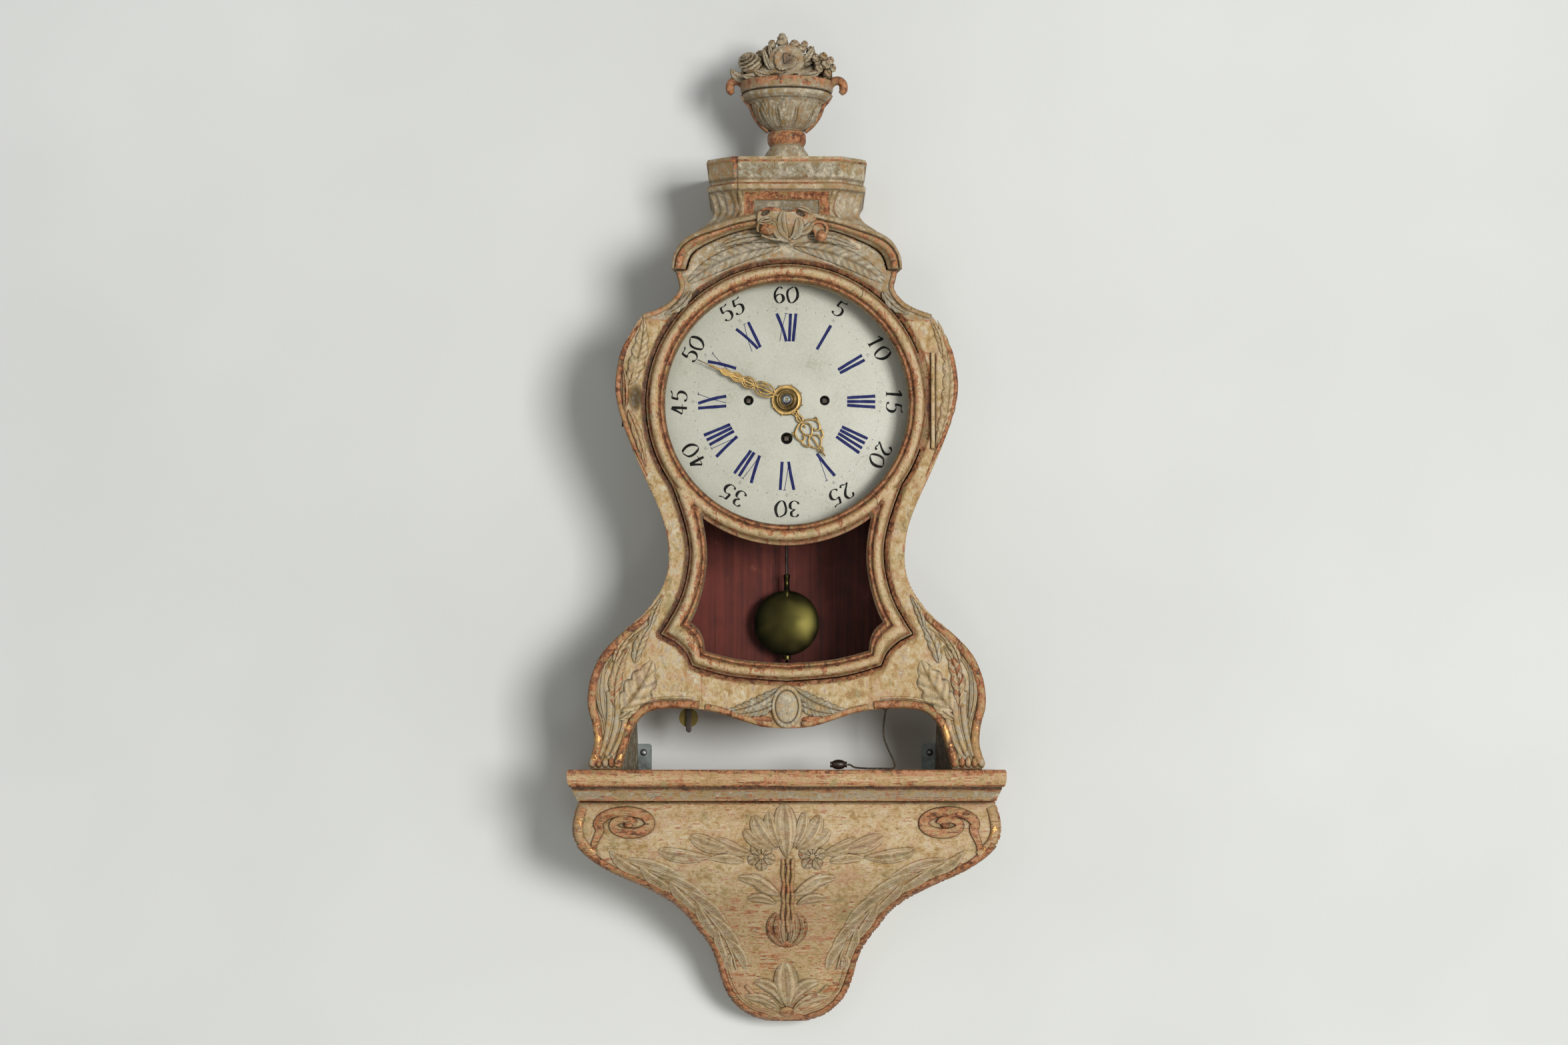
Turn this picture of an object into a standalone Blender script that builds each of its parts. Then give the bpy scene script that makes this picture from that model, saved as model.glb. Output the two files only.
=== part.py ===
"""Spring-driven cartel clock with its carved wall bracket.

Metres, +Z up, the wall is the plane y = 0 and the clock faces -Y. Heights are measured from the top of
the bracket's shelf; one empty lifts the whole clock so that the origin lies on the back board's rear face.
"""
import math

import bmesh
import bpy
import numpy as np
from mathutils import Matrix, Vector

# General
ORIGIN_BELOW_SHELF = 0.080
GAP = 0.0003
PIVOT_PLAY = 0.0003

# Bracket
SHELF_WIDTH = 0.437
SHELF_DEPTH = 0.185
SHELF_HEIGHT = 0.031
WALL_PLATE_X = 0.149
WALL_PLATE_WIDTH = 0.017
WALL_PLATE_THICKNESS = 0.0028
WALL_PLATE_RISE = 0.027
PLATE_HOLE_RADIUS = 0.0024
BACK_BOARD_THICKNESS = 0.012
SHIELD_THICKNESS = 0.016
SHIELD_EDGE_RECESS = 0.12
RIM_THICKNESS = 0.009
SHIELD_EDGE = [(0.2090, -0.0313), (0.2125, -0.041), (0.2150, -0.055), (0.2140, -0.068), (0.2085, -0.078),
               (0.1965, -0.0905), (0.1750, -0.104), (0.1440, -0.118), (0.1195, -0.1315), (0.1030, -0.1455),
               (0.0930, -0.159), (0.0830, -0.172), (0.0755, -0.185), (0.0710, -0.198), (0.0680, -0.210),
               (0.0640, -0.222), (0.0590, -0.232), (0.0510, -0.242), (0.0380, -0.2515), (0.0210, -0.2575)]
SHIELD_PROFILE = [(-0.0313, 0.158), (-0.050, 0.164), (-0.075, 0.165), (-0.100, 0.157), (-0.125, 0.141),
                  (-0.150, 0.118), (-0.175, 0.095), (-0.200, 0.077), (-0.225, 0.064), (-0.245, 0.052),
                  (-0.2575, 0.040)]

# Case
CASE_DEPTH = 0.160
CASE_BACK_SPACE = 0.008
BACK_THICKNESS = 0.012
FRONT_THICKNESS = 0.018
SIDE_THICKNESS = 0.009
SIDE_INSET = 0.005
BACK_TAPER = 0.88
FLOOR_UNDERSIDE = 0.066
FLOOR_THICKNESS = 0.010
APRON_HALF = 0.085
CREST_JOINT_DROP = 0.0065
CASE_EDGE = [(0.1955, 0.000), (0.1985, 0.006), (0.1952, 0.016), (0.1928, 0.028), (0.1945, 0.045),
             (0.1990, 0.062), (0.1988, 0.080), (0.1945, 0.098), (0.1850, 0.117), (0.1660, 0.137),
             (0.1440, 0.156), (0.1280, 0.177), (0.1200, 0.197), (0.1184, 0.219), (0.1222, 0.244),
             (0.1315, 0.269), (0.1425, 0.293), (0.1560, 0.324), (0.1660, 0.351), (0.1718, 0.375),
             (0.1720, 0.395), (0.1670, 0.421), (0.1570, 0.440), (0.1455, 0.4585)]
NECK_EDGE = [(0.1455, 0.4585), (0.1300, 0.4640), (0.1170, 0.4720), (0.1085, 0.4840), (0.1105, 0.4960),
             (0.1120, 0.5030)]
SIDE_NECK = [(0.142, 0.4555), (0.124, 0.467), (0.1120, 0.481), (0.1115, 0.493), (0.1130, 0.503)]
ARCH_EDGE = [(0.0, 0.0415), (0.024, 0.043), (0.045, 0.049), (0.066, 0.056), (0.085, 0.060),
             (0.105, 0.0615), (0.125, 0.061), (0.138, 0.058), (0.148, 0.050), (0.155, 0.038),
             (0.160, 0.021), (0.166, 0.0)]
ROOF_INNER = [(0.0, 0.5495), (0.043, 0.5435), (0.075, 0.532), (0.094, 0.520), (0.1005, 0.5035)]
ROOF_OUTER = [(0.0, 0.563), (0.045, 0.557), (0.079, 0.5455), (0.101, 0.534), (0.1115, 0.518),
              (0.1135, 0.5035)]
ROOF_OVERHANG = 0.012
CAP_SECTIONS = [(0.1040, 0.5300), (0.0930, 0.5440), (0.0800, 0.5540), (0.0735, 0.5640), (0.0740, 0.5730),
                (0.0770, 0.5820), (0.0800, 0.5870), (0.0800, 0.5910), (0.0770, 0.5935), (0.0770, 0.5970),
                (0.0790, 0.6000), (0.0790, 0.6120), (0.0815, 0.6150), (0.0800, 0.6190)]
CAP_CHAMFER = 0.025
CAP_FRONT = 0.158

# Urn and carvings
URN_DEPTH = 0.090
URN_FOOT = 0.6193
URN_PROFILE = [(0.0, 0.0), (0.0235, 0.0), (0.0225, 0.010), (0.0175, 0.020), (0.0192, 0.0235),
               (0.0192, 0.0320), (0.0175, 0.0352), (0.0240, 0.0410), (0.0320, 0.0510), (0.0372, 0.0665),
               (0.0428, 0.0715), (0.0428, 0.0785), (0.0405, 0.0815), (0.0455, 0.0835), (0.0465, 0.0940),
               (0.0, 0.0940)]
URN_HANDLE = (0.0545, 0.0800)
FLOWER_LUMPS = [(0.000, -0.010, 0.016, 0.021), (-0.031, -0.004, 0.013, 0.016), (0.029, -0.004, 0.012, 0.014),
                (0.000, 0.012, 0.018, 0.020), (-0.006, -0.002, 0.034, 0.011), (0.012, 0.002, 0.028, 0.012),
                (-0.018, 0.002, 0.026, 0.012)]
CRESTING_EDGE = [(0.0, 0.5265), (0.016, 0.527), (0.034, 0.534), (0.041, 0.545), (0.033, 0.556),
                 (0.018, 0.563), (0.0, 0.566)]
CRESTING_THICKNESS = 0.008
SHELL_HALF = (0.015, 0.0215)
SHELL_CENTRE = 0.0630
SHELL_THICKNESS = 0.008

# Door
BEZEL_DROP = 0.027
BEZEL_MARGIN = 0.031
BEZEL_WIDTH = 0.0185
DOOR_PROUD = 0.008
DOOR_INSET = 0.012
DOOR_CLEARANCE = 0.0012
GLASS_THICKNESS = 0.002
GLASS_LAP = 0.005
WAIST_EDGE = [(0.1155, 0.2871), (0.1070, 0.2640), (0.1000, 0.2400), (0.0970, 0.2180), (0.0993, 0.1950),
              (0.1060, 0.1710), (0.1175, 0.1490), (0.1260, 0.1360)]
EAR_EDGE = [(0.1260, 0.1360), (0.1110, 0.1280), (0.1000, 0.1170), (0.0945, 0.1045)]
DOOR_BOTTOM = [(0.0945, 0.1045), (0.0560, 0.0940), (0.0, 0.0890)]
WINDOW_HEAD = 0.0020
WINDOW_SIDE = [(0.0845, 0.2526), (0.0800, 0.2200), (0.0825, 0.1900), (0.0900, 0.1620), (0.0965, 0.1480)]
WINDOW_EAR = [(0.0965, 0.1480), (0.0880, 0.1400), (0.0835, 0.1300), (0.0825, 0.1190)]
WINDOW_BOTTOM = [(0.0825, 0.1190), (0.0450, 0.1100), (0.0, 0.1065)]
HINGE_REACH = 0.006
HINGE_RAISE = 0.0025
HINGE_HALF = 0.0485
HINGE_PROUD = 0.0025
KNUCKLE_RADIUS = 0.0020
HINGE_PIN_RADIUS = 0.0010
LEAF_THICKNESS = 0.0012
LATCH_DROP = 0.017
LATCH_BACKSET = 0.016
LATCH_RADIUS = 0.0022
LATCH_KNOB_RADIUS = 0.0036
LATCH_ARM = 0.015

# Dial and hands
DIAL_RAISE = 0.0055
DIAL_LAP = 0.0075
DIAL_CROWN = 0.005
DIAL_THICKNESS = 0.002
DIAL_FOOT_LENGTH = 0.020
DIAL_FEET = [(-0.052, 0.066), (0.052, 0.066), (-0.052, -0.062), (0.052, -0.062)]
HAND_THICKNESS = 0.0014
HAND_SPACING = 0.0040
NUT_THICKNESS = 0.0030
NUT_RADIUS = 0.0055
HAND_NUT_CLEARANCE = 0.0012
MINUTE_HAND_LENGTH = 0.099
HOUR_HAND_LENGTH = 0.069
MINUTE_ANGLE = 294.3
HOUR_ANGLE = 145.6

# Movement
PLATE_THICKNESS = 0.003
PLATE_SPACING = 0.046
PLATE_HALF = 0.068
PLATE_FOOTROOM = 0.0040
PLATE_HEADROOM = 0.0152
PILLAR_RADIUS = 0.004
SEAT_THICKNESS = 0.012
WINDING_DISTANCE = 0.0385
WINDING_ARBOR_RADIUS = 0.0030
WINDING_SQUARE = 0.0044
BARREL_RADIUS = 0.024
BARREL_WALL = 0.0015
GREAT_TEETH = 48
CENTRE_TEETH = 60
THIRD_TEETH = 60
PINION_LEAVES = 6
CENTRE_MODULE = 0.00085
THIRD_MODULE = 0.00065
ARBOR_RADIUS = 0.0011
ESCAPE_TEETH = 33
ESCAPE_RADIUS = 0.015
PALLET_DISTANCE = 0.0198
PALLET_CLEARANCE = 0.0011
CANNON_TEETH = 12
MINUTE_TEETH = 36
MINUTE_LEAVES = 10
HOUR_TEETH = 40
MOTION_MODULE = 0.001
CANNON_PIPE_RADIUS = 0.0032
HOUR_PIPE_RADIUS = 0.0050
BELL_X = 0.030
BELL_Y = 0.080
BELL_RADIUS = 0.027
BELL_HEIGHT = 0.022
BELL_WALL = 0.0020
BELL_RAISE = 0.010
HAMMER_INSET = 0.020
HAMMER_DROP = 0.026

# Pendulum
PENDULUM_DEPTH = 0.040
PENDULUM_LENGTH = 0.2915
ROD_RADIUS = 0.0015
SLEEVE_HALF = 0.0036
SLEEVE_LENGTH = 0.017
BOB_RADIUS = 0.0335
BOB_THICKNESS = 0.014
SCREW_RADIUS = 0.0015
SCREW_LENGTH = 0.009
RATING_NUT_RADIUS = 0.0045
RATING_NUT_HEIGHT = 0.004

# Pulley and cord
PULLEY_X = 0.100
PULLEY_Y = 0.085
PULLEY_DROP = 0.0130
PULLEY_RADIUS = 0.0098
PULLEY_THICKNESS = 0.005
PULLEY_AXLE = 0.0015
FORK_WIDTH = 0.0088
FORK_STRAP = 0.002
CORD_RADIUS = 0.001
CORD_X = 0.101
CORD_Y = 0.085
CORD_BOSS = 0.005
TOGGLE_X = 0.0525
TOGGLE_Y = 0.110
TOGGLE_RADIUS = 0.0050
TOGGLE_LENGTH = 0.017

# Derived places in the case's front
WIDEST = max(CASE_EDGE[len(CASE_EDGE) // 2:])
CREST_JOINT = CASE_EDGE[-1][1] - CREST_JOINT_DROP
BEZEL_CENTRE = WIDEST[1] - BEZEL_DROP
BEZEL_RADIUS = WIDEST[0] - BEZEL_MARGIN
DIAL_OPENING = BEZEL_RADIUS - BEZEL_WIDTH
WINDOW_TOP_RADIUS = BEZEL_RADIUS + WINDOW_HEAD
HINGE_X = BEZEL_RADIUS + HINGE_REACH
HINGE_LOW = BEZEL_CENTRE + HINGE_RAISE - HINGE_HALF
HINGE_HIGH = BEZEL_CENTRE + HINGE_RAISE + HINGE_HALF
LATCH_HEIGHT = BEZEL_CENTRE - LATCH_DROP
DIAL_CENTRE = BEZEL_CENTRE + DIAL_RAISE
DIAL_RADIUS = DIAL_OPENING + DIAL_LAP

# Derived planes, front to back along y
FRONT = -CASE_DEPTH
FRONT_REAR = FRONT + FRONT_THICKNESS
BACK_REAR = -CASE_BACK_SPACE
BACK_FRONT = BACK_REAR - BACK_THICKNESS
SIDE_FRONT = FRONT_REAR + GAP
SIDE_BACK = BACK_FRONT - GAP
DOOR_FRONT = FRONT - DOOR_PROUD
DOOR_REAR = FRONT + DOOR_INSET
GLASS_FRONT = DOOR_REAR + GAP
GLASS_REAR = GLASS_FRONT + GLASS_THICKNESS
NUT_FRONT = GLASS_REAR + HAND_NUT_CLEARANCE
NUT_REAR = NUT_FRONT + NUT_THICKNESS
MINUTE_FRONT = NUT_REAR + 2 * GAP
HOUR_FRONT = MINUTE_FRONT + HAND_SPACING
DIAL_FRONT = HOUR_FRONT + HAND_SPACING
DIAL_EDGE = DIAL_FRONT + DIAL_CROWN
PLATE_FRONT = DIAL_EDGE + DIAL_THICKNESS + DIAL_FOOT_LENGTH
PLATE_REAR = PLATE_FRONT + PLATE_THICKNESS
REAR_PLATE_FRONT = PLATE_REAR + PLATE_SPACING
REAR_PLATE_REAR = REAR_PLATE_FRONT + PLATE_THICKNESS
HINGE_Y = FRONT - HINGE_PROUD
LATCH_Y = FRONT_REAR + LATCH_BACKSET
GREAT_MODULE = 2 * WINDING_DISTANCE / (GREAT_TEETH + PINION_LEAVES)
THIRD_HEIGHT = DIAL_CENTRE + CENTRE_MODULE * (CENTRE_TEETH + PINION_LEAVES) / 2
ESCAPE_HEIGHT = THIRD_HEIGHT + THIRD_MODULE * (THIRD_TEETH + PINION_LEAVES) / 2
PALLET_HEIGHT = ESCAPE_HEIGHT + PALLET_DISTANCE
BOB_HEIGHT = PALLET_HEIGHT - PENDULUM_LENGTH
PLATE_FOOT = DIAL_CENTRE - WINDING_DISTANCE - GREAT_MODULE * (GREAT_TEETH / 2 + 0.9) - PLATE_FOOTROOM
PLATE_TOP = PALLET_HEIGHT + PLATE_HEADROOM
BELL_RIM = PLATE_TOP + BELL_RAISE
HAMMER_X = PLATE_HALF - HAMMER_INSET
HAMMER_HEIGHT = PLATE_TOP - HAMMER_DROP
MINUTE_DISTANCE = MOTION_MODULE * (CANNON_TEETH + MINUTE_TEETH) / 2
HOUR_MODULE = 2 * MINUTE_DISTANCE / (MINUTE_LEAVES + HOUR_TEETH)
MINUTE_X = MINUTE_DISTANCE * math.sqrt(0.5)
MINUTE_HEIGHT = DIAL_CENTRE + MINUTE_DISTANCE * math.sqrt(0.5)
FLOOR_TOP = FLOOR_UNDERSIDE + FLOOR_THICKNESS
PENDULUM_Y = -PENDULUM_DEPTH

for old in list(bpy.data.objects):
    bpy.data.objects.remove(old, do_unlink=True)

root = bpy.data.objects.new("clock_frame", None)
root.location = (0.0, 0.0, ORIGIN_BELOW_SHELF)
bpy.context.scene.collection.objects.link(root)


# Materials
def paint(name, colour, roughness, metallic=0.0, transmission=0.0):
    made = bpy.data.materials.new(name)
    made.use_nodes = True
    shader = made.node_tree.nodes["Principled BSDF"]
    shader.inputs["Base Color"].default_value = (*colour, 1.0)
    shader.inputs["Roughness"].default_value = roughness
    shader.inputs["Metallic"].default_value = metallic
    shader.inputs["Transmission Weight"].default_value = transmission
    made.diffuse_color = (*colour, 1.0)
    return made


CREAM = ((0.60, 0.50, 0.34), 0.70)
OCHRE = ((0.52, 0.40, 0.24), 0.70)
RED = ((0.11, 0.025, 0.018), 0.75)
GREY = ((0.37, 0.33, 0.24), 0.75)
WOOD = ((0.30, 0.20, 0.11), 0.75)
BRASS = ((0.62, 0.46, 0.18), 0.35, 1.0)
GILT = ((0.75, 0.52, 0.18), 0.32, 1.0)
STEEL = ((0.42, 0.42, 0.43), 0.40, 1.0)
IRON = ((0.07, 0.06, 0.055), 0.60, 0.6)
ENAMEL = ((0.68, 0.66, 0.58), 0.30)
CLEAR = ((0.92, 0.95, 0.95), 0.05, 0.0, 1.0)
CORD = ((0.22, 0.15, 0.09), 0.90)
DARK_WOOD = ((0.05, 0.03, 0.02), 0.45)


# Curves and loops in the x, z plane
def smooth(points, steps=2):
    ends = [points[0], *points, points[-1]]
    found = []
    for a, b, c, d in zip(ends, ends[1:], ends[2:], ends[3:]):
        for k in range(steps):
            t = k / steps
            found.append(tuple(
                0.5 * (2 * q + (r - p) * t + (2 * p - 5 * q + 4 * r - s) * t ** 2
                       + (3 * q - p - 3 * r + s) * t ** 3)
                for p, q, r, s in zip(a, b, c, d)))
    return [*found, tuple(points[-1])]


def arc(centre, radius, start, end, steps):
    return [(centre[0] + radius * math.cos(math.radians(start + (end - start) * k / steps)),
             centre[1] + radius * math.sin(math.radians(start + (end - start) * k / steps)))
            for k in range(steps + 1)]


def circle(centre, radius, steps=24):
    return arc(centre, radius, 0, 360, steps)[:-1]


def joined(*runs):
    loop = []
    for run in runs:
        for point in run:
            if not loop or math.dist(loop[-1], point) > 1e-5:
                loop.append(tuple(point))
    if math.dist(loop[0], loop[-1]) < 1e-5:
        loop.pop()
    return loop


def mirrored(run):
    return [(-x, z) for x, z in reversed(run)]


def offset(loop, distance, closed=True):
    found = []
    count = len(loop)
    for k, here in enumerate(loop):
        before = Vector(loop[k - 1] if closed or k else here)
        after = Vector(loop[(k + 1) % count] if closed or k < count - 1 else here)
        here = Vector(here)
        first = (here - before).normalized()
        second = (after - here).normalized()
        first = first if first.length else second
        second = second if second.length else first
        a = Vector((first.y, -first.x))
        b = Vector((second.y, -second.x))
        found.append(tuple(here + (a + b) * (distance / max(0.5, 1 + a.dot(b)))))
    return found


def width_at(run, height):
    heights = [z for _, z in run]
    widths = [x for x, _ in run]
    if heights[0] > heights[-1]:
        heights.reverse()
        widths.reverse()
    return float(np.interp(height, heights, widths))


def taper(y):
    return 1 + (BACK_TAPER - 1) * (y - SIDE_FRONT) / (SIDE_BACK - SIDE_FRONT)


# Solids
def close_up(bm):
    bmesh.ops.remove_doubles(bm, verts=bm.verts[:], dist=1e-7)
    bmesh.ops.recalc_face_normals(bm, faces=bm.faces[:])
    return bm


def stack(rings):
    bm = bmesh.new()
    rows = [[bm.verts.new(p) for p in ring] for ring in rings]
    for low, high in zip(rows, rows[1:]):
        for k in range(len(low)):
            n = (k + 1) % len(low)
            bm.faces.new((low[k], low[n], high[n], high[k]))
    bm.faces.new(rows[0])
    bm.faces.new(rows[-1])
    return close_up(bm)


def prism(loop, y_front, y_back):
    return stack([[(x, y_front, z) for x, z in loop], [(x, y_back, z) for x, z in loop]])


def box(x0, x1, y0, y1, z0, z1):
    return prism([(x0, z0), (x1, z0), (x1, z1), (x0, z1)], y0, y1)


def plate(loops, y_front, y_back):
    bm = bmesh.new()
    edges = []
    for loop in loops:
        ring = [bm.verts.new((x, y_front, z)) for x, z in loop]
        edges += [bm.edges.new(pair) for pair in zip(ring, ring[1:] + ring[:1])]
    bmesh.ops.triangle_fill(bm, use_beauty=True, edges=edges)
    faces = bm.faces[:]
    copy = bmesh.ops.duplicate(bm, geom=bm.verts[:] + bm.edges[:] + faces)
    pairs = copy["vert_map"]
    moved = [v for v in copy["geom"] if isinstance(v, bmesh.types.BMVert)]
    bmesh.ops.translate(bm, verts=moved, vec=(0.0, y_back - y_front, 0.0))
    for edge in edges:
        a, b = edge.verts
        bm.faces.new((a, b, pairs[b], pairs[a]))
    return close_up(bm)


def turned(profile, steps, axis, centre):
    bm = bmesh.new()
    line = Vector((0, 1, 0)) if axis == "Y" else Vector((0, 0, 1))
    chain = [bm.verts.new(Vector((r, 0, 0)) + line * h) for r, h in profile]
    pairs = list(zip(chain, chain[1:]))
    if min(r for r, _ in profile) > 0:
        pairs.append((chain[-1], chain[0]))
    edges = [bm.edges.new(pair) for pair in pairs]
    bmesh.ops.spin(bm, geom=chain + edges, cent=(0, 0, 0), axis=line, angle=2 * math.pi, steps=steps,
                   use_merge=True)
    bmesh.ops.translate(bm, verts=bm.verts[:], vec=centre)
    bmesh.ops.remove_doubles(bm, verts=bm.verts[:], dist=1e-6)
    return close_up(bm)


def rod(x, z, radius, y_front, y_back, sides=12):
    return prism(circle((x, z), radius, sides), y_front, y_back)


def post(x, y, radius, z_low, z_high, sides=12):
    ring = circle((x, y), radius, sides)
    return stack([[(a, b, z_low) for a, b in ring], [(a, b, z_high) for a, b in ring]])


def grid_solid(front, back):
    bm = bmesh.new()
    first = [[bm.verts.new(p) for p in row] for row in front]
    second = [[bm.verts.new(p) for p in row] for row in back]
    rows, columns = len(first), len(first[0])
    for j in range(rows - 1):
        for i in range(columns - 1):
            for side in (first, second):
                bm.faces.new((side[j][i], side[j][i + 1], side[j + 1][i + 1], side[j + 1][i]))
    for j in range(rows - 1):
        for i in (0, columns - 1):
            bm.faces.new((first[j][i], first[j + 1][i], second[j + 1][i], second[j][i]))
    for i in range(columns - 1):
        for j in (0, rows - 1):
            bm.faces.new((first[j][i], first[j][i + 1], second[j][i + 1], second[j][i]))
    return close_up(bm)


def tube(route, radius, sides=6):
    points = [Vector(p) for p in route]
    rings = []
    side = Vector((0, 1, 0))
    for k, here in enumerate(points):
        along = (points[min(k + 1, len(points) - 1)] - points[max(k - 1, 0)]).normalized()
        across = along.cross(side).normalized()
        if k and across.dot(last) < 0:
            across = -across
        last = across
        other = along.cross(across)
        rings.append([here + (across * math.cos(a) + other * math.sin(a)) * radius
                      for a in (2 * math.pi * n / sides for n in range(sides))])
    return stack(rings)


def as_object(name, bm):
    mesh = bpy.data.meshes.new(name)
    bm.to_mesh(mesh)
    bm.free()
    made = bpy.data.objects.new(name, mesh)
    bpy.context.scene.collection.objects.link(made)
    return made


def combine(base, bm, operation):
    tool = as_object("tool", bm)
    step = base.modifiers.new("step", "BOOLEAN")
    step.operation = operation
    step.solver = "EXACT"
    step.object = tool
    graph = bpy.context.evaluated_depsgraph_get()
    result = bpy.data.meshes.new_from_object(base.evaluated_get(graph))
    base.modifiers.clear()
    base.data = result
    bpy.data.objects.remove(tool, do_unlink=True)
    return base


def piece(name, look, *solids, cut=(), keep=(), axis=(0.0, 0.0, 0.0)):
    """One named piece: the first solid, joined with the rest, less every cutter, with its origin at axis."""
    made = as_object(name, solids[0])
    for solid in solids[1:]:
        combine(made, solid, "UNION")
    for solid in keep:
        combine(made, solid, "INTERSECT")
    for solid in cut:
        combine(made, solid, "DIFFERENCE")
    made.data.materials.clear()
    made.data.materials.append(paint(name, *look))
    made.data.transform(Matrix.Translation(-Vector(axis)))
    made.location = axis
    made.parent = root
    return made


def toothed_loop(teeth, centre, phase, tooth):
    pitch = 2 * math.pi / teeth
    loop = []
    for k in range(teeth):
        for radius, share in tooth:
            angle = phase + (k + share) * pitch
            loop.append((centre[0] + radius * math.cos(angle), centre[1] + radius * math.sin(angle)))
    return loop


def gear(teeth, module, centre, phase):
    low = module * (teeth / 2 - 1.0)
    high = module * (teeth / 2 + 0.9)
    return toothed_loop(teeth, centre, phase, ((low, -0.24), (high, 0.0), (low, 0.24)))


def pinion(leaves, module, centre, toward):
    low = module * (leaves / 2 - 1.2)
    high = module * (leaves / 2 + 0.6)
    return toothed_loop(leaves, centre, toward + math.pi / leaves,
                        ((low, -0.18), (high, -0.10), (high, 0.10), (low, 0.18)))


def crossings(centre, inner, outer, arms=4, arm_half=0.0018):
    found = []
    for k in range(arms):
        start = 360 * k / arms
        out_angle = math.degrees(math.asin(arm_half / outer))
        in_angle = math.degrees(math.asin(arm_half / inner))
        step = 360 / arms
        found.append(arc(centre, outer, start + out_angle, start + step - out_angle, 3)
                     + arc(centre, inner, start + step - in_angle, start + in_angle, 1))
    return found


# Bracket
shield_run = smooth(SHIELD_EDGE)
profile_heights = [z for z, _ in reversed(SHIELD_PROFILE)]
profile_depths = [d for _, d in reversed(SHIELD_PROFILE)]


def shield_front(height, share):
    depth = float(np.interp(height, profile_heights, profile_depths))
    return -depth * (1 - SHIELD_EDGE_RECESS * share ** 2)


def make_bracket():
    half = SHELF_WIDTH / 2
    shelf_rear = -WALL_PLATE_THICKNESS - GAP
    rings = []
    for inset, share in ((0.002, 0.0), (0.0, 0.10), (0.0, 0.50), (0.003, 0.62), (0.0065, 0.68),
                         (0.0095, 0.90), (0.0095, 1.0)):
        x = half - inset
        y = -SHELF_DEPTH + inset
        z = -SHELF_HEIGHT * share
        rings.append([(-x, y, z), (x, y, z), (x, shelf_rear, z), (-x, shelf_rear, z)])
    piece("bracket_shelf", CREAM, stack(rings))

    columns = [k / 4 for k in range(-4, 5)]
    rows = shield_run[::2] + ([] if len(shield_run) % 2 else [shield_run[-1]])
    front = [[(u * x, shield_front(z, u), z) for u in columns] for x, z in rows]
    back = [[(u * x, shield_front(z, u) + SHIELD_THICKNESS, z) for u in columns] for x, z in rows]
    piece("bracket_shield", CREAM, grid_solid(front, back))

    side = [(x - 0.003, z) for x, z in rows]
    outer = side + [(-x, z) for x, z in reversed(side)]
    inner = offset(outer, RIM_THICKNESS, closed=False)
    inner[0] = (inner[0][0], outer[0][1])
    inner[-1] = (inner[-1][0], outer[-1][1])
    rear = -BACK_BOARD_THICKNESS - GAP
    fronts = [min(shield_front(z, 1.0) + SHIELD_THICKNESS + GAP, rear - 0.001) for _, z in outer]
    quads = [[(a[0], y, a[1]), (a[0], rear, a[1]), (b[0], rear, b[1]), (b[0], y, b[1])]
             for a, b, y in zip(outer, inner, fronts)]
    piece("bracket_rim", WOOD, stack(quads))

    edge = [(x - 0.002, z) for x, z in rows]
    piece("bracket_back", WOOD, prism(joined(edge, mirrored(edge)), -BACK_BOARD_THICKNESS, 0.0))

    for name, sign in (("wall_plate_left", -1), ("wall_plate_right", 1)):
        x = sign * WALL_PLATE_X
        wide = WALL_PLATE_WIDTH / 2
        low = -SHELF_HEIGHT + 0.003
        loops = [[(x - wide, low), (x + wide, low), (x + wide, WALL_PLATE_RISE - 0.002),
                  (x + wide - 0.002, WALL_PLATE_RISE), (x - wide + 0.002, WALL_PLATE_RISE),
                  (x - wide, WALL_PLATE_RISE - 0.002)],
                 circle((x, WALL_PLATE_RISE - 0.009), PLATE_HOLE_RADIUS, 12),
                 circle((x, low + 0.008), PLATE_HOLE_RADIUS, 12)]
        piece(name, STEEL, plate(loops, -WALL_PLATE_THICKNESS, 0.0))


# Case
case_run = smooth(CASE_EDGE)
side_points = [(CASE_EDGE[3][0], 0.0), *CASE_EDGE[4:-2], *SIDE_NECK]
side_outer = offset(smooth(side_points, 1), -SIDE_INSET, closed=False)
side_outer[0] = (side_outer[0][0], 0.0)
side_outer[-1] = (side_outer[-1][0], SIDE_NECK[-1][1])
side_inner = offset(side_outer, -SIDE_THICKNESS, closed=False)
side_inner[0] = (side_inner[0][0], 0.0)
side_inner[-1] = (side_inner[-1][0], SIDE_NECK[-1][1])
roof_inner = smooth(ROOF_INNER)
roof_outer = smooth(ROOF_OUTER)


def bezel_half(height):
    return math.sqrt(BEZEL_RADIUS ** 2 - (height - BEZEL_CENTRE) ** 2)


def door_half(with_hinge):
    low = math.degrees(math.asin((HINGE_LOW - BEZEL_CENTRE) / BEZEL_RADIUS))
    high = math.degrees(math.asin((HINGE_HIGH - BEZEL_CENTRE) / BEZEL_RADIUS))
    start = math.degrees(math.atan2(WAIST_EDGE[0][1] - BEZEL_CENTRE, WAIST_EDGE[0][0]))
    centre = (0.0, BEZEL_CENTRE)
    lower = joined(smooth(DOOR_BOTTOM, 4)[::-1], smooth(EAR_EDGE)[::-1], smooth(WAIST_EDGE)[::-1])
    if with_hinge:
        edge = HINGE_X - KNUCKLE_RADIUS - GAP
        upper = joined(arc(centre, BEZEL_RADIUS, start, low, 4), [(edge, HINGE_LOW), (edge, HINGE_HIGH)],
                       arc(centre, BEZEL_RADIUS, high, 90, 12))
    else:
        upper = arc(centre, BEZEL_RADIUS, start, 90, 22)
    return joined(lower, upper)


def door_outline():
    return joined(door_half(True), mirrored(door_half(False)))


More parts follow.
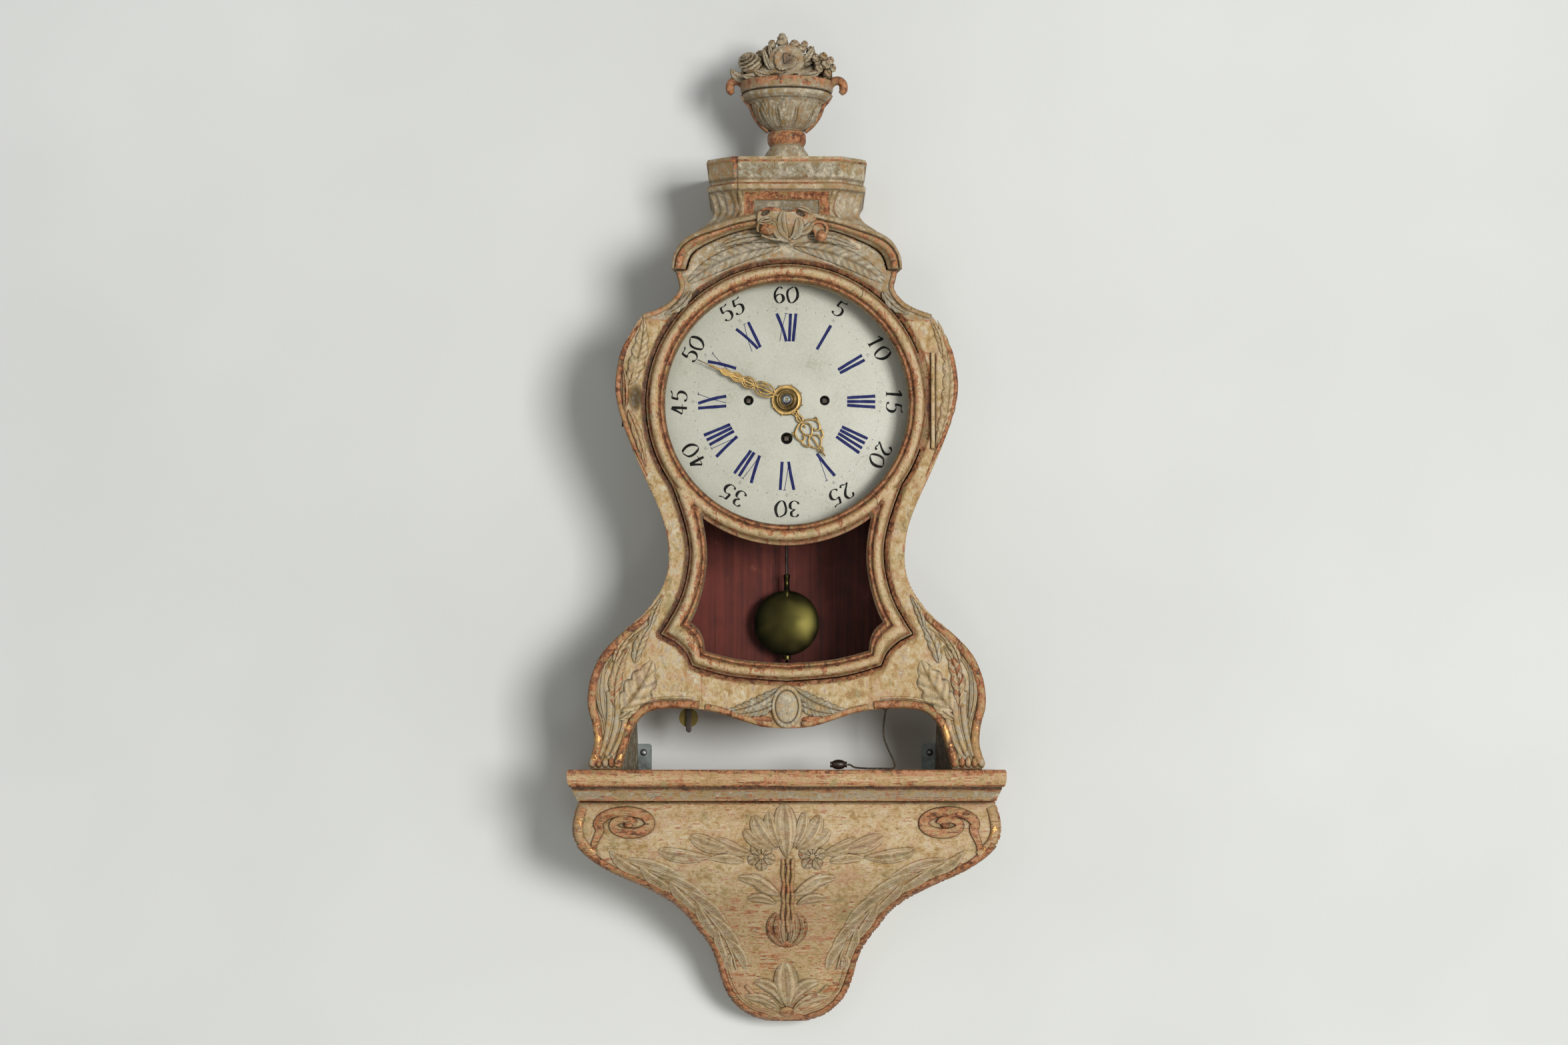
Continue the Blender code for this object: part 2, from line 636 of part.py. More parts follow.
def opening_outline():
    loop = offset(door_outline(), DOOR_CLEARANCE)
    jamb = HINGE_X + KNUCKLE_RADIUS + GAP
    edge = HINGE_X - KNUCKLE_RADIUS - GAP + DOOR_CLEARANCE
    return [(jamb if abs(x - edge) < 1e-4 else x, z) for x, z in loop]


def front_board():
    top = [(x, z - GAP) for x, z in roof_inner]
    right = joined(smooth(ARCH_EDGE), case_run, smooth(NECK_EDGE), [(top[-1][0], NECK_EDGE[-1][1])],
                   top[::-1])
    return plate([joined(right, mirrored(right)), opening_outline()], FRONT, FRONT_REAR)


def make_case():
    far = 2 * WIDEST[0]
    low, middle, high = -FRONT_THICKNESS, BEZEL_CENTRE - BEZEL_RADIUS, 2 * CREST_JOINT
    parting = GAP / 2
    y0, y1 = FRONT - FRONT_THICKNESS, FRONT_REAR + FRONT_THICKNESS
    half = APRON_HALF
    piece("front_stile_left", CREAM, front_board(),
          keep=[box(-far, -half - parting, y0, y1, low, CREST_JOINT - parting)])
    piece("front_stile_right", CREAM, front_board(),
          keep=[box(half + parting, far, y0, y1, low, CREST_JOINT - parting)])
    piece("front_apron", CREAM, front_board(),
          keep=[box(-half + parting, half - parting, y0, y1, low, middle)])
    piece("front_crest", CREAM, front_board(), keep=[box(-far, far, y0, y1, CREST_JOINT + parting, high)])

    spindle_cut = rod_x(LATCH_RADIUS + PIVOT_PLAY, -far, -APRON_HALF)
    for name, sign, cutters in (("case_side_left", -1, [spindle_cut]), ("case_side_right", 1, [])):
        rings = []
        for (ox, oz), (ix, iz) in zip(side_outer, side_inner):
            a, b = taper(SIDE_FRONT), taper(SIDE_BACK)
            rings.append([(sign * ox * a, SIDE_FRONT, oz), (sign * ox * b, SIDE_BACK, oz),
                          (sign * ix * b, SIDE_BACK, iz), (sign * ix * a, SIDE_FRONT, iz)])
        piece(name, GREY, stack(rings), cut=cutters)

    scale = taper(BACK_REAR)
    run = [(x * scale, z) for x, z in side_outer if z > FLOOR_UNDERSIDE + 0.004]
    run = [(width_at(side_outer, FLOOR_UNDERSIDE) * scale, FLOOR_UNDERSIDE), *run]
    arch = [(x * scale, z - GAP) for x, z in roof_inner]
    right = joined([(0.0, FLOOR_UNDERSIDE)], run, [(arch[-1][0], run[-1][1])], arch[::-1])
    piece("case_back", RED, prism(joined(right, mirrored(right)), BACK_FRONT, BACK_REAR))

    rings = []
    for z in (FLOOR_UNDERSIDE, FLOOR_TOP):
        ring = []
        for y in (SIDE_FRONT, SIDE_BACK):
            ring.append((width_at(side_inner, z) * taper(y) - GAP, y, z))
        rings.append([(-ring[0][0], ring[0][1], z), ring[0], ring[1], (-ring[1][0], ring[1][1], z)])
    boss = post(CORD_X, -CORD_Y, 3 * CORD_RADIUS, FLOOR_UNDERSIDE - CORD_BOSS, FLOOR_UNDERSIDE + 0.001)
    piece("case_floor", WOOD, stack(rings), boss)

    roof_front, roof_back = FRONT - ROOF_OVERHANG, BACK_REAR
    loop = joined(roof_inner, roof_outer[::-1], mirrored(roof_outer)[::-1], mirrored(roof_inner))
    rings = [[(x * taper(y), y, z) for x, z in loop] for y in (roof_front, roof_back)]
    piece("crown_roof", CREAM, stack(rings))

    rings = []
    for half_width, z in CAP_SECTIONS:
        spread = half_width - CAP_SECTIONS[6][0]
        y = -CAP_FRONT - spread * (0.45 if spread > 0 else 1.0)
        c = CAP_CHAMFER
        back = BACK_REAR
        w = half_width
        rings.append([(-w + c, y, z), (w - c, y, z), (w, y + c, z), (w, back, z), (-w, back, z),
                      (-w, y + c, z)])
    wide, foot = 1.5 * roof_outer[-1][0], roof_outer[-1][1]
    under = joined([(wide, foot - CAP_CHAMFER), (wide, foot)],
                   [(x * 1.004, z + 3 * GAP) for x, z in roof_outer[::-1]])
    full = joined(under, mirrored(under))
    lower = [[(x * taper(y), y, z) for x, z in full] for y in (2 * FRONT, -FRONT)]
    piece("cap", CREAM, stack(rings), cut=[stack(lower)])

    seat_top = PLATE_FOOT - GAP
    rings = []
    for z in (seat_top - SEAT_THICKNESS, seat_top):
        front_y, rear_y = PLATE_FRONT - 0.004, REAR_PLATE_REAR + 0.002
        front_x = width_at(side_inner, z) * taper(front_y) - GAP
        rear_x = width_at(side_inner, z) * taper(rear_y) - GAP
        rings.append([(-front_x, front_y, z), (front_x, front_y, z), (rear_x, rear_y, z),
                      (-rear_x, rear_y, z)])
    piece("seat_board", WOOD, stack(rings))


def rod_x(radius, x0, x1, sides=12):
    ring = circle((LATCH_Y, LATCH_HEIGHT), radius, sides)
    return stack([[(x0, y, z) for y, z in ring], [(x1, y, z) for y, z in ring]])


# Urn and carvings
def scroll_handle(sign):
    centre = (URN_HANDLE[0], URN_FOOT + URN_HANDLE[1])
    turn = [(centre[0] + (0.0078 - 0.0038 * k / 8) * math.cos(math.radians(190 - 45 * k)),
             centre[1] + (0.0078 - 0.0038 * k / 8) * math.sin(math.radians(190 - 45 * k)))
            for k in range(9)]
    run = smooth([(0.0195, URN_FOOT + 0.036), (0.0300, URN_FOOT + 0.046), (0.0385, URN_FOOT + 0.060),
                  (0.0435, URN_FOOT + 0.071), *turn], 1)
    return tube([(sign * x, -URN_DEPTH, z) for x, z in run], 0.0030, 5)


def make_top():
    centre = (0.0, -URN_DEPTH, URN_FOOT)
    piece("urn", OCHRE, turned(URN_PROFILE, 18, "Z", centre), scroll_handle(1), scroll_handle(-1))
    base = URN_FOOT + URN_PROFILE[-1][1] + GAP
    lumps = []
    for x, y, z, radius in FLOWER_LUMPS:
        bm = bmesh.new()
        bmesh.ops.create_uvsphere(bm, u_segments=8, v_segments=5, radius=radius,
                                  matrix=Matrix.Translation((x, -URN_DEPTH + y, base + z)))
        lumps.append(bm)
    far = URN_DEPTH
    trim = box(-far, far, -URN_DEPTH - far, -URN_DEPTH + far, base - far, base)
    piece("urn_flowers", OCHRE, *lumps, cut=[trim])

    right = smooth(CRESTING_EDGE)
    rear = FRONT - ROOF_OVERHANG - GAP
    piece("cresting", OCHRE, prism(joined(right, mirrored(right)), rear - CRESTING_THICKNESS, rear))
    oval = [(SHELL_HALF[0] * math.cos(2 * math.pi * k / 24),
             SHELL_CENTRE + SHELL_HALF[1] * math.sin(2 * math.pi * k / 24)) for k in range(24)]
    piece("apron_shell", OCHRE, prism(oval, FRONT - GAP - SHELL_THICKNESS, FRONT - GAP))


# Door with its hinge and latch
def window_outline():
    end = math.degrees(math.acos(WINDOW_SIDE[0][0] / WINDOW_TOP_RADIUS))
    right = joined(smooth(WINDOW_BOTTOM, 4)[::-1], smooth(WINDOW_EAR)[::-1], smooth(WINDOW_SIDE)[::-1],
                   arc((0.0, BEZEL_CENTRE), WINDOW_TOP_RADIUS, -end, -90, 6))
    return joined(right, mirrored(right))


def make_door():
    hinge = (HINGE_X, HINGE_Y, (HINGE_LOW + HINGE_HIGH) / 2)
    dial_hole = circle((0.0, BEZEL_CENTRE), DIAL_OPENING, 48)
    piece("door_frame", CREAM, plate([door_outline(), dial_hole, window_outline()], DOOR_FRONT, DOOR_REAR),
          axis=hinge)
    piece("dial_glass", CLEAR,
          prism(circle((0.0, BEZEL_CENTRE), DIAL_OPENING + GLASS_LAP, 48), GLASS_FRONT, GLASS_REAR),
          axis=hinge)
    pane = [(x, min(z, BEZEL_CENTRE - math.sqrt(max(0.0, (DIAL_OPENING + GLASS_LAP + 0.001) ** 2 - x * x))))
            for x, z in offset(window_outline(), GLASS_LAP)]
    piece("pendulum_glass", CLEAR, prism(pane, GLASS_FRONT, GLASS_REAR), axis=hinge)

    length = HINGE_HIGH - HINGE_LOW
    third = length / 3
    leaf_front = HINGE_Y + KNUCKLE_RADIUS + GAP
    leaf_rear = DOOR_REAR - 0.001
    inner = 0.0008
    knuckles = {"hinge_door_leaf": [(HINGE_LOW + third + GAP, HINGE_HIGH - third - GAP)],
                "hinge_case_leaf": [(HINGE_LOW, HINGE_LOW + third), (HINGE_HIGH - third, HINGE_HIGH)]}
    for name, sign in (("hinge_door_leaf", -1), ("hinge_case_leaf", 1)):
        sides = sorted((HINGE_X + sign * inner, HINGE_X + sign * (inner + LEAF_THICKNESS)))
        solids = [box(*sides, leaf_front, leaf_rear, HINGE_LOW, HINGE_HIGH)]
        for z0, z1 in knuckles[name]:
            solids.append(post(HINGE_X, HINGE_Y, KNUCKLE_RADIUS, z0, z1))
            solids.append(box(*sides, HINGE_Y, leaf_front + 0.001, z0 + 0.0001, z1 - 0.0001))
        bore = post(HINGE_X, HINGE_Y, HINGE_PIN_RADIUS + PIVOT_PLAY, HINGE_LOW - 0.01, HINGE_HIGH + 0.01)
        piece(name, BRASS, *solids, cut=[bore], axis=hinge)
    pin = post(HINGE_X, HINGE_Y, HINGE_PIN_RADIUS, HINGE_LOW + 0.0005, HINGE_HIGH - 0.0005)
    piece("hinge_pin", STEEL, pin)

    y = LATCH_Y
    outer_x = width_at(side_outer, LATCH_HEIGHT) * taper(y)
    inner_x = width_at(side_inner, LATCH_HEIGHT) * taper(y)
    knob = rod_x(LATCH_KNOB_RADIUS, -outer_x - 0.0090, -outer_x - 0.0015)
    arm_x0, arm_x1 = -inner_x + 0.0030, -inner_x + 0.0055
    spindle = rod_x(LATCH_RADIUS, -outer_x - 0.0020, arm_x1)
    arm = box(arm_x0, arm_x1 - 0.0001, y - 0.0018, y + 0.0018, LATCH_HEIGHT, LATCH_HEIGHT + LATCH_ARM)
    reach = -bezel_half(LATCH_HEIGHT) + 0.0085
    finger = box(arm_x0 + 0.0001, reach, y - 0.0017, y + 0.0017, LATCH_HEIGHT + LATCH_ARM - 0.0035,
                 LATCH_HEIGHT + LATCH_ARM - 0.0001)
    nib = box(reach - 0.003, reach - 0.0001, y - 0.0050, y, LATCH_HEIGHT + LATCH_ARM - 0.0034,
              LATCH_HEIGHT + LATCH_ARM - 0.0002)
    piece("door_latch", IRON, spindle, knob, arm, finger, nib, axis=(-outer_x, y, LATCH_HEIGHT))

    keep_x0 = -bezel_half(LATCH_HEIGHT) + 0.0045
    keep_x1 = keep_x0 + 0.0060
    foot = box(keep_x0, keep_x1, GLASS_FRONT, GLASS_FRONT + 0.0015, LATCH_HEIGHT - 0.012,
               LATCH_HEIGHT - 0.002)
    stem = box(keep_x0 + 0.0005, keep_x1 - 0.0005, GLASS_FRONT + 0.0005, y - LATCH_ARM + 0.0085,
               LATCH_HEIGHT - 0.0095, LATCH_HEIGHT - 0.0075)
    lip = box(keep_x0 + 0.0006, keep_x1 - 0.0006, y - LATCH_ARM + 0.0065, y - LATCH_ARM + 0.0084,
              LATCH_HEIGHT - 0.0094, LATCH_HEIGHT - 0.0032)
    piece("latch_keeper", BRASS, foot, stem, lip, axis=hinge)


# Dial and hands
def clock_point(angle, radius, side=0.0):
    a = math.radians(angle)
    return (radius * math.sin(a) + side * math.cos(a),
            DIAL_CENTRE + radius * math.cos(a) - side * math.sin(a))


WINDING = {"going": (0.0, DIAL_CENTRE - WINDING_DISTANCE), "strike": (-WINDING_DISTANCE, DIAL_CENTRE),
           "chime": (WINDING_DISTANCE, DIAL_CENTRE)}
KEY_HOLE = {"going": 0.0052, "strike": 0.0043, "chime": 0.0043}


def hand(length, angle, boss, bore, shape, y_front):
    outline = [clock_point(angle, r * length, w) for r, w in shape]
    outline += [clock_point(angle, r * length, -w) for r, w in reversed(shape) if w > 0]
    centre = (0.0, DIAL_CENTRE)
    ring = prism(circle(centre, boss, 24), y_front, y_front + HAND_THICKNESS)
    blade = prism(outline, y_front + 0.0001, y_front + HAND_THICKNESS - 0.0001)
    hole = prism(circle(centre, bore, 24), y_front - 0.01, y_front + 0.01)
    return ring, blade, hole


def make_dial():
    centre = (0.0, 0.0, DIAL_CENTRE)
    hole = HOUR_PIPE_RADIUS + 0.0020
    radii = [hole + (DIAL_RADIUS - hole) * k / 2 for k in range(3)]
    front = [(r, DIAL_EDGE - DIAL_CROWN * (1 - (r / DIAL_RADIUS) ** 2)) for r in radii]
    profile = front + [(r, y + DIAL_THICKNESS) for r, y in reversed(front)]
    feet = []
    for x, z in DIAL_FEET:
        hidden = DIAL_EDGE - DIAL_CROWN * (1 - (x * x + z * z) / DIAL_RADIUS ** 2) + DIAL_THICKNESS / 2
        feet.append(rod(x, DIAL_CENTRE + z, 0.003, hidden, PLATE_FRONT - GAP, 8))
    keys = [prism(circle(WINDING[k], KEY_HOLE[k], 12), DIAL_FRONT - 0.02, PLATE_FRONT) for k in WINDING]
    piece("dial", ENAMEL, turned(profile, 32, "Y", centre), *feet, cut=keys)

    axis = (0.0, MINUTE_FRONT, DIAL_CENTRE)
    leaf = [(0.06, 0.0030), (0.30, 0.0022), (0.42, 0.0048), (0.52, 0.0030), (0.62, 0.0016), (0.72, 0.0034),
            (0.80, 0.0016), (0.96, 0.0008), (1.0, 0.0)]
    ring, blade, hole = hand(MINUTE_HAND_LENGTH, MINUTE_ANGLE, 0.0105, CANNON_PIPE_RADIUS + PIVOT_PLAY, leaf,
                             MINUTE_FRONT)
    piece("minute_hand", GILT, ring, blade, cut=[hole], axis=axis)
    leaf = [(0.08, 0.0050), (0.30, 0.0040), (0.45, 0.0090), (0.60, 0.0085), (0.72, 0.0040), (0.80, 0.0055),
            (0.88, 0.0025), (1.0, 0.0)]
    ring, blade, hole = hand(HOUR_HAND_LENGTH, HOUR_ANGLE, 0.0155, HOUR_PIPE_RADIUS + PIVOT_PLAY, leaf,
                             HOUR_FRONT)
    piece("hour_hand", GILT, ring, blade, cut=[hole], axis=(0.0, HOUR_FRONT, DIAL_CENTRE))
    nut = [(ARBOR_RADIUS + PIVOT_PLAY, NUT_REAR), (NUT_RADIUS, NUT_REAR), (NUT_RADIUS, NUT_REAR - 0.0012),
           (NUT_RADIUS * 0.6, NUT_FRONT), (ARBOR_RADIUS + PIVOT_PLAY, NUT_FRONT)]
    piece("hand_nut", STEEL, turned(nut, 16, "Y", (0.0, 0.0, DIAL_CENTRE)), axis=axis)


# Movement
PILLARS = [(sign * (PLATE_HALF - inset), height) for inset, height in ((0.008, PLATE_FOOT + 0.0105),
                                                                       (0.007, PLATE_TOP - 0.038))
           for sign in (-1, 1)]
ARBORS = {"centre": (0.0, DIAL_CENTRE), "third": (0.0, THIRD_HEIGHT), "escape": (0.0, ESCAPE_HEIGHT),
          "hammer": (HAMMER_X, HAMMER_HEIGHT)}


def inside(depth):
    return PLATE_REAR + PLATE_SPACING * depth


def make_plates():
    half = PLATE_HALF
    shape = [(-half, PLATE_FOOT), (half, PLATE_FOOT), (half, PLATE_TOP - 0.012),
             (half - 0.012, PLATE_TOP), (-half + 0.012, PLATE_TOP), (-half, PLATE_TOP - 0.012)]
    pivots = [circle(ARBORS[k], ARBOR_RADIUS + PIVOT_PLAY, 8) for k in ARBORS]
    winders = [circle(WINDING[k], WINDING_ARBOR_RADIUS + PIVOT_PLAY, 10) for k in WINDING]
    pallet = (0.0, PALLET_HEIGHT)
    front_holes = pivots + winders + [circle(pallet, ARBOR_RADIUS + PIVOT_PLAY, 8)]
    ends = [circle(p, 0.0020 + 2 * GAP, 8) for p in PILLARS]
    stud = rod(MINUTE_X, MINUTE_HEIGHT, 0.0015, PLATE_FRONT - 0.0105, PLATE_REAR - 0.001)
    piece("front_plate", BRASS, plate([shape, *front_holes, *ends], PLATE_FRONT, PLATE_REAR), stud)
    pillars = []
    for x, z in PILLARS:
        waist = [(0.0, REAR_PLATE_FRONT + 0.001), (PILLAR_RADIUS, REAR_PLATE_FRONT + 0.001),
                 (PILLAR_RADIUS * 0.7, inside(0.75)), (PILLAR_RADIUS * 1.2, inside(0.5)),
                 (PILLAR_RADIUS * 0.7, inside(0.25)), (PILLAR_RADIUS, PLATE_REAR + GAP),
                 (0.0020, PLATE_REAR + GAP),
                 (0.0020, PLATE_FRONT - 0.002), (0.0, PLATE_FRONT - 0.002)]
        pillars.append(turned(waist, 8, "Y", (x, 0.0, z)))
    rear_holes = pivots + winders + [circle(pallet, 0.006, 8)]
    piece("back_plate", BRASS, plate([shape, *rear_holes], REAR_PLATE_FRONT, REAR_PLATE_REAR), *pillars)


def make_barrels():
    toward = {"going": math.pi / 2, "strike": 0.0, "chime": math.pi}
    runs = {"going": (0.065, 0.135, 0.74), "strike": (0.845, 0.785, 0.175), "chime": (0.845, 0.785, 0.175)}
    for name in ("going", "strike", "chime"):
        x, z = WINDING[name]
        outer, inner, rim = (inside(d) for d in runs[name])
        bore = WINDING_ARBOR_RADIUS + PIVOT_PLAY
        wall = BARREL_RADIUS - BARREL_WALL
        drum = [(bore, outer), (BARREL_RADIUS, outer), (BARREL_RADIUS, rim), (wall, rim), (wall, inner),
                (bore, inner)]
        step = (inner - outer) * 0.1
        loops = [gear(GREAT_TEETH, GREAT_MODULE, (x, z), toward[name]), circle((x, z), 0.012, 10)]
        wheel = plate(loops, *sorted((outer + step, inner - step)))
        axis = (x, (outer + rim) / 2, z)
        piece(name + "_barrel", BRASS, turned(drum, 20, "Y", (x, 0.0, z)), wheel, axis=axis)
        winder = rod(x, z, WINDING_ARBOR_RADIUS, PLATE_FRONT - 0.001, REAR_PLATE_REAR, 10)
        half = WINDING_SQUARE / 2
        square = box(x - half, x + half, DIAL_EDGE - 0.0005, PLATE_FRONT + 0.001, z - half, z + half)
        piece(name + "_arbor", STEEL, winder, square, axis=(x, PLATE_FRONT, z))
    x, z = WINDING["going"]
    outer, inner, rim = (inside(d) for d in runs["going"])
    turns, steps = 4, 14
    start, end = 0.0065, BARREL_RADIUS - BARREL_WALL - 0.0016
    spiral = []
    for k in range(turns * steps + 1):
        radius = start + (end - start) * k / (turns * steps)
        angle = 2 * math.pi * k / steps
        spiral.append((radius, angle))
    inside_run = [(x + r * math.cos(a), z + r * math.sin(a)) for r, a in spiral]
    outside_run = [(x + (r + 0.0006) * math.cos(a), z + (r + 0.0006) * math.sin(a)) for r, a in spiral]
    piece("going_spring", STEEL, plate([inside_run + outside_run[::-1]], inner + GAP, rim - 0.002),
          axis=(x, (outer + rim) / 2, z))


def toothed(name, look, centre, teeth, module, phase, depth, arbor, leaves=None):
    wheel_front, wheel_rear = inside(depth[0]), inside(depth[1])
    rim = module * (teeth / 2 - 1.0)
    loops = [gear(teeth, module, centre, phase), *crossings(centre, 0.0045, rim - 0.0022)]
    solids = [rod(*centre, ARBOR_RADIUS, *arbor, 10), plate(loops, wheel_front, wheel_rear)]
    if leaves:
        leaf_module, toward, low, high = leaves
        solids.append(prism(pinion(PINION_LEAVES, leaf_module, centre, toward), inside(low), inside(high)))
    piece(name, look, *solids, axis=(centre[0], wheel_front, centre[1]))


def make_train():
    up, down = math.pi / 2, -math.pi / 2
    nose = NUT_FRONT + 0.0002
    toothed("centre_wheel", BRASS, ARBORS["centre"], CENTRE_TEETH, CENTRE_MODULE, up, (0.89, 0.93),
            (nose, REAR_PLATE_REAR), (GREAT_MODULE, down, 0.05, 0.15))
    toothed("third_wheel", BRASS, ARBORS["third"], THIRD_TEETH, THIRD_MODULE, up, (0.44, 0.48),
            (PLATE_FRONT, REAR_PLATE_REAR), (CENTRE_MODULE, down, 0.86, 0.96))
    x, z = ARBORS["escape"]
    root_radius = 0.80 * ESCAPE_RADIUS
    loop = toothed_loop(ESCAPE_TEETH, (x, z), up,
                        ((root_radius, 0.0), (ESCAPE_RADIUS, 0.46), (root_radius, 0.62)))
    wheel = prism(loop, inside(0.66), inside(0.69))
    leaves = prism(pinion(PINION_LEAVES, THIRD_MODULE, (x, z), down), inside(0.41), inside(0.51))
    piece("escape_wheel", BRASS, rod(x, z, ARBOR_RADIUS, PLATE_FRONT, REAR_PLATE_REAR, 10), wheel, leaves,
          axis=(x, inside(0.66), z))

    cock_front = REAR_PLATE_REAR + 0.0050
    cock_rear = cock_front + 0.0022
    reach = ESCAPE_RADIUS + PALLET_CLEARANCE
    span = math.radians(41)
    tip_x = reach * math.sin(span)
    tip_z = ESCAPE_HEIGHT + reach * math.cos(span)
    anchor = [(-0.0035, PALLET_HEIGHT + 0.0030), (0.0035, PALLET_HEIGHT + 0.0030),
              (tip_x + 0.0025, tip_z + 0.0050), (tip_x + 0.0012, tip_z + 0.0005), (tip_x, tip_z),
              (tip_x - 0.0012, tip_z + 0.0030), (0.0, PALLET_HEIGHT - 0.0025),
              (-tip_x + 0.0012, tip_z + 0.0030), (-tip_x, tip_z), (-tip_x - 0.0012, tip_z + 0.0005),
              (-tip_x - 0.0025, tip_z + 0.0050)]
    crutch_front = cock_rear + 0.0010
    crutch_rear = crutch_front + 0.0015
    fork = PALLET_HEIGHT - 0.070
    prong = ROD_RADIUS + 0.0005
    solids = [rod(0.0, PALLET_HEIGHT, ARBOR_RADIUS, PLATE_FRONT, crutch_rear, 10),
              prism(anchor, inside(0.65), inside(0.70)),
              box(-0.0012, 0.0012, crutch_front, crutch_rear - 0.0001, fork, PALLET_HEIGHT),
              box(-prong - 0.0012, prong + 0.0012, crutch_front + 0.0001, crutch_rear - 0.0002, fork - 0.002,
                  fork + 0.001)]
    for sign in (-1, 1):
        sides = sorted((sign * prong, sign * (prong + 0.0011)))
        solids.append(box(*sides, crutch_front + 0.0003, PENDULUM_Y + ROD_RADIUS + 0.001, fork - 0.0018,
                          fork + 0.0008))
    piece("pallets", STEEL, *solids, axis=(0.0, PENDULUM_Y, PALLET_HEIGHT))

    half = 0.026
    bridge = plate([[(-half, PALLET_HEIGHT - 0.006), (half, PALLET_HEIGHT - 0.006),
                     (half, PALLET_HEIGHT + 0.013), (-half, PALLET_HEIGHT + 0.013)],
                    circle((0.0, PALLET_HEIGHT), ARBOR_RADIUS + PIVOT_PLAY, 12)], cock_front, cock_rear)
    left = box(-half + 0.0001, -half + 0.008, REAR_PLATE_REAR + GAP, cock_front + 0.001,
               PALLET_HEIGHT - 0.0059, PALLET_HEIGHT + 0.0129)
    right = box(half - 0.008, half - 0.0001, REAR_PLATE_REAR + GAP, cock_front + 0.001,
                PALLET_HEIGHT - 0.0059, PALLET_HEIGHT + 0.0129)
    stud = box(-0.005, 0.005, cock_rear - 0.001, PENDULUM_Y + 0.003, PALLET_HEIGHT + 0.0065,
               PALLET_HEIGHT + 0.0120)
    piece("back_cock", BRASS, bridge, left, right, stud)


def make_motion_work():
    centre = (0.0, DIAL_CENTRE)
    upper = (MINUTE_X, MINUTE_HEIGHT)
    toward = math.pi / 4
    bore = ARBOR_RADIUS + PIVOT_PLAY
    pipe = [(bore, PLATE_FRONT - 0.0010), (CANNON_PIPE_RADIUS, PLATE_FRONT - 0.0010),
            (CANNON_PIPE_RADIUS, MINUTE_FRONT - 0.0003), (bore, MINUTE_FRONT - 0.0003)]
    leaves = plate([pinion(CANNON_TEETH, MOTION_MODULE, centre, toward),
                    circle(centre, (bore + CANNON_PIPE_RADIUS) / 2, 10)],
                   PLATE_FRONT - 0.0045, PLATE_FRONT - 0.0012)
    piece("cannon_pinion", STEEL, turned(pipe, 12, "Y", (0.0, 0.0, DIAL_CENTRE)), leaves,
          axis=(0.0, MINUTE_FRONT, DIAL_CENTRE))
    hole = circle(upper, 0.0015 + PIVOT_PLAY, 12)
    wheel = plate([gear(MINUTE_TEETH, MOTION_MODULE, upper, toward + math.pi), hole], PLATE_FRONT - 0.0038,
                  PLATE_FRONT - 0.0020)
    small = pinion(MINUTE_LEAVES, HOUR_MODULE, upper, toward + math.pi)
    leaves = plate([small, circle(upper, 0.0015 + PIVOT_PLAY + 0.0004, 12)], PLATE_FRONT - 0.0090,
                   PLATE_FRONT - 0.0030)
    piece("minute_wheel", BRASS, wheel, leaves, axis=(MINUTE_X, PLATE_FRONT, MINUTE_HEIGHT))
    bore = CANNON_PIPE_RADIUS + PIVOT_PLAY
    pipe = [(bore, PLATE_FRONT - 0.0062), (HOUR_PIPE_RADIUS, PLATE_FRONT - 0.0062),
            (HOUR_PIPE_RADIUS, HOUR_FRONT - 0.0003), (bore, HOUR_FRONT - 0.0003)]
    wheel = plate([gear(HOUR_TEETH, HOUR_MODULE, centre, toward),
                   circle(centre, (bore + HOUR_PIPE_RADIUS) / 2, 10)],
                  PLATE_FRONT - 0.0085, PLATE_FRONT - 0.0065)
    piece("hour_wheel", BRASS, turned(pipe, 12, "Y", (0.0, 0.0, DIAL_CENTRE)), wheel,
          axis=(0.0, HOUR_FRONT, DIAL_CENTRE))


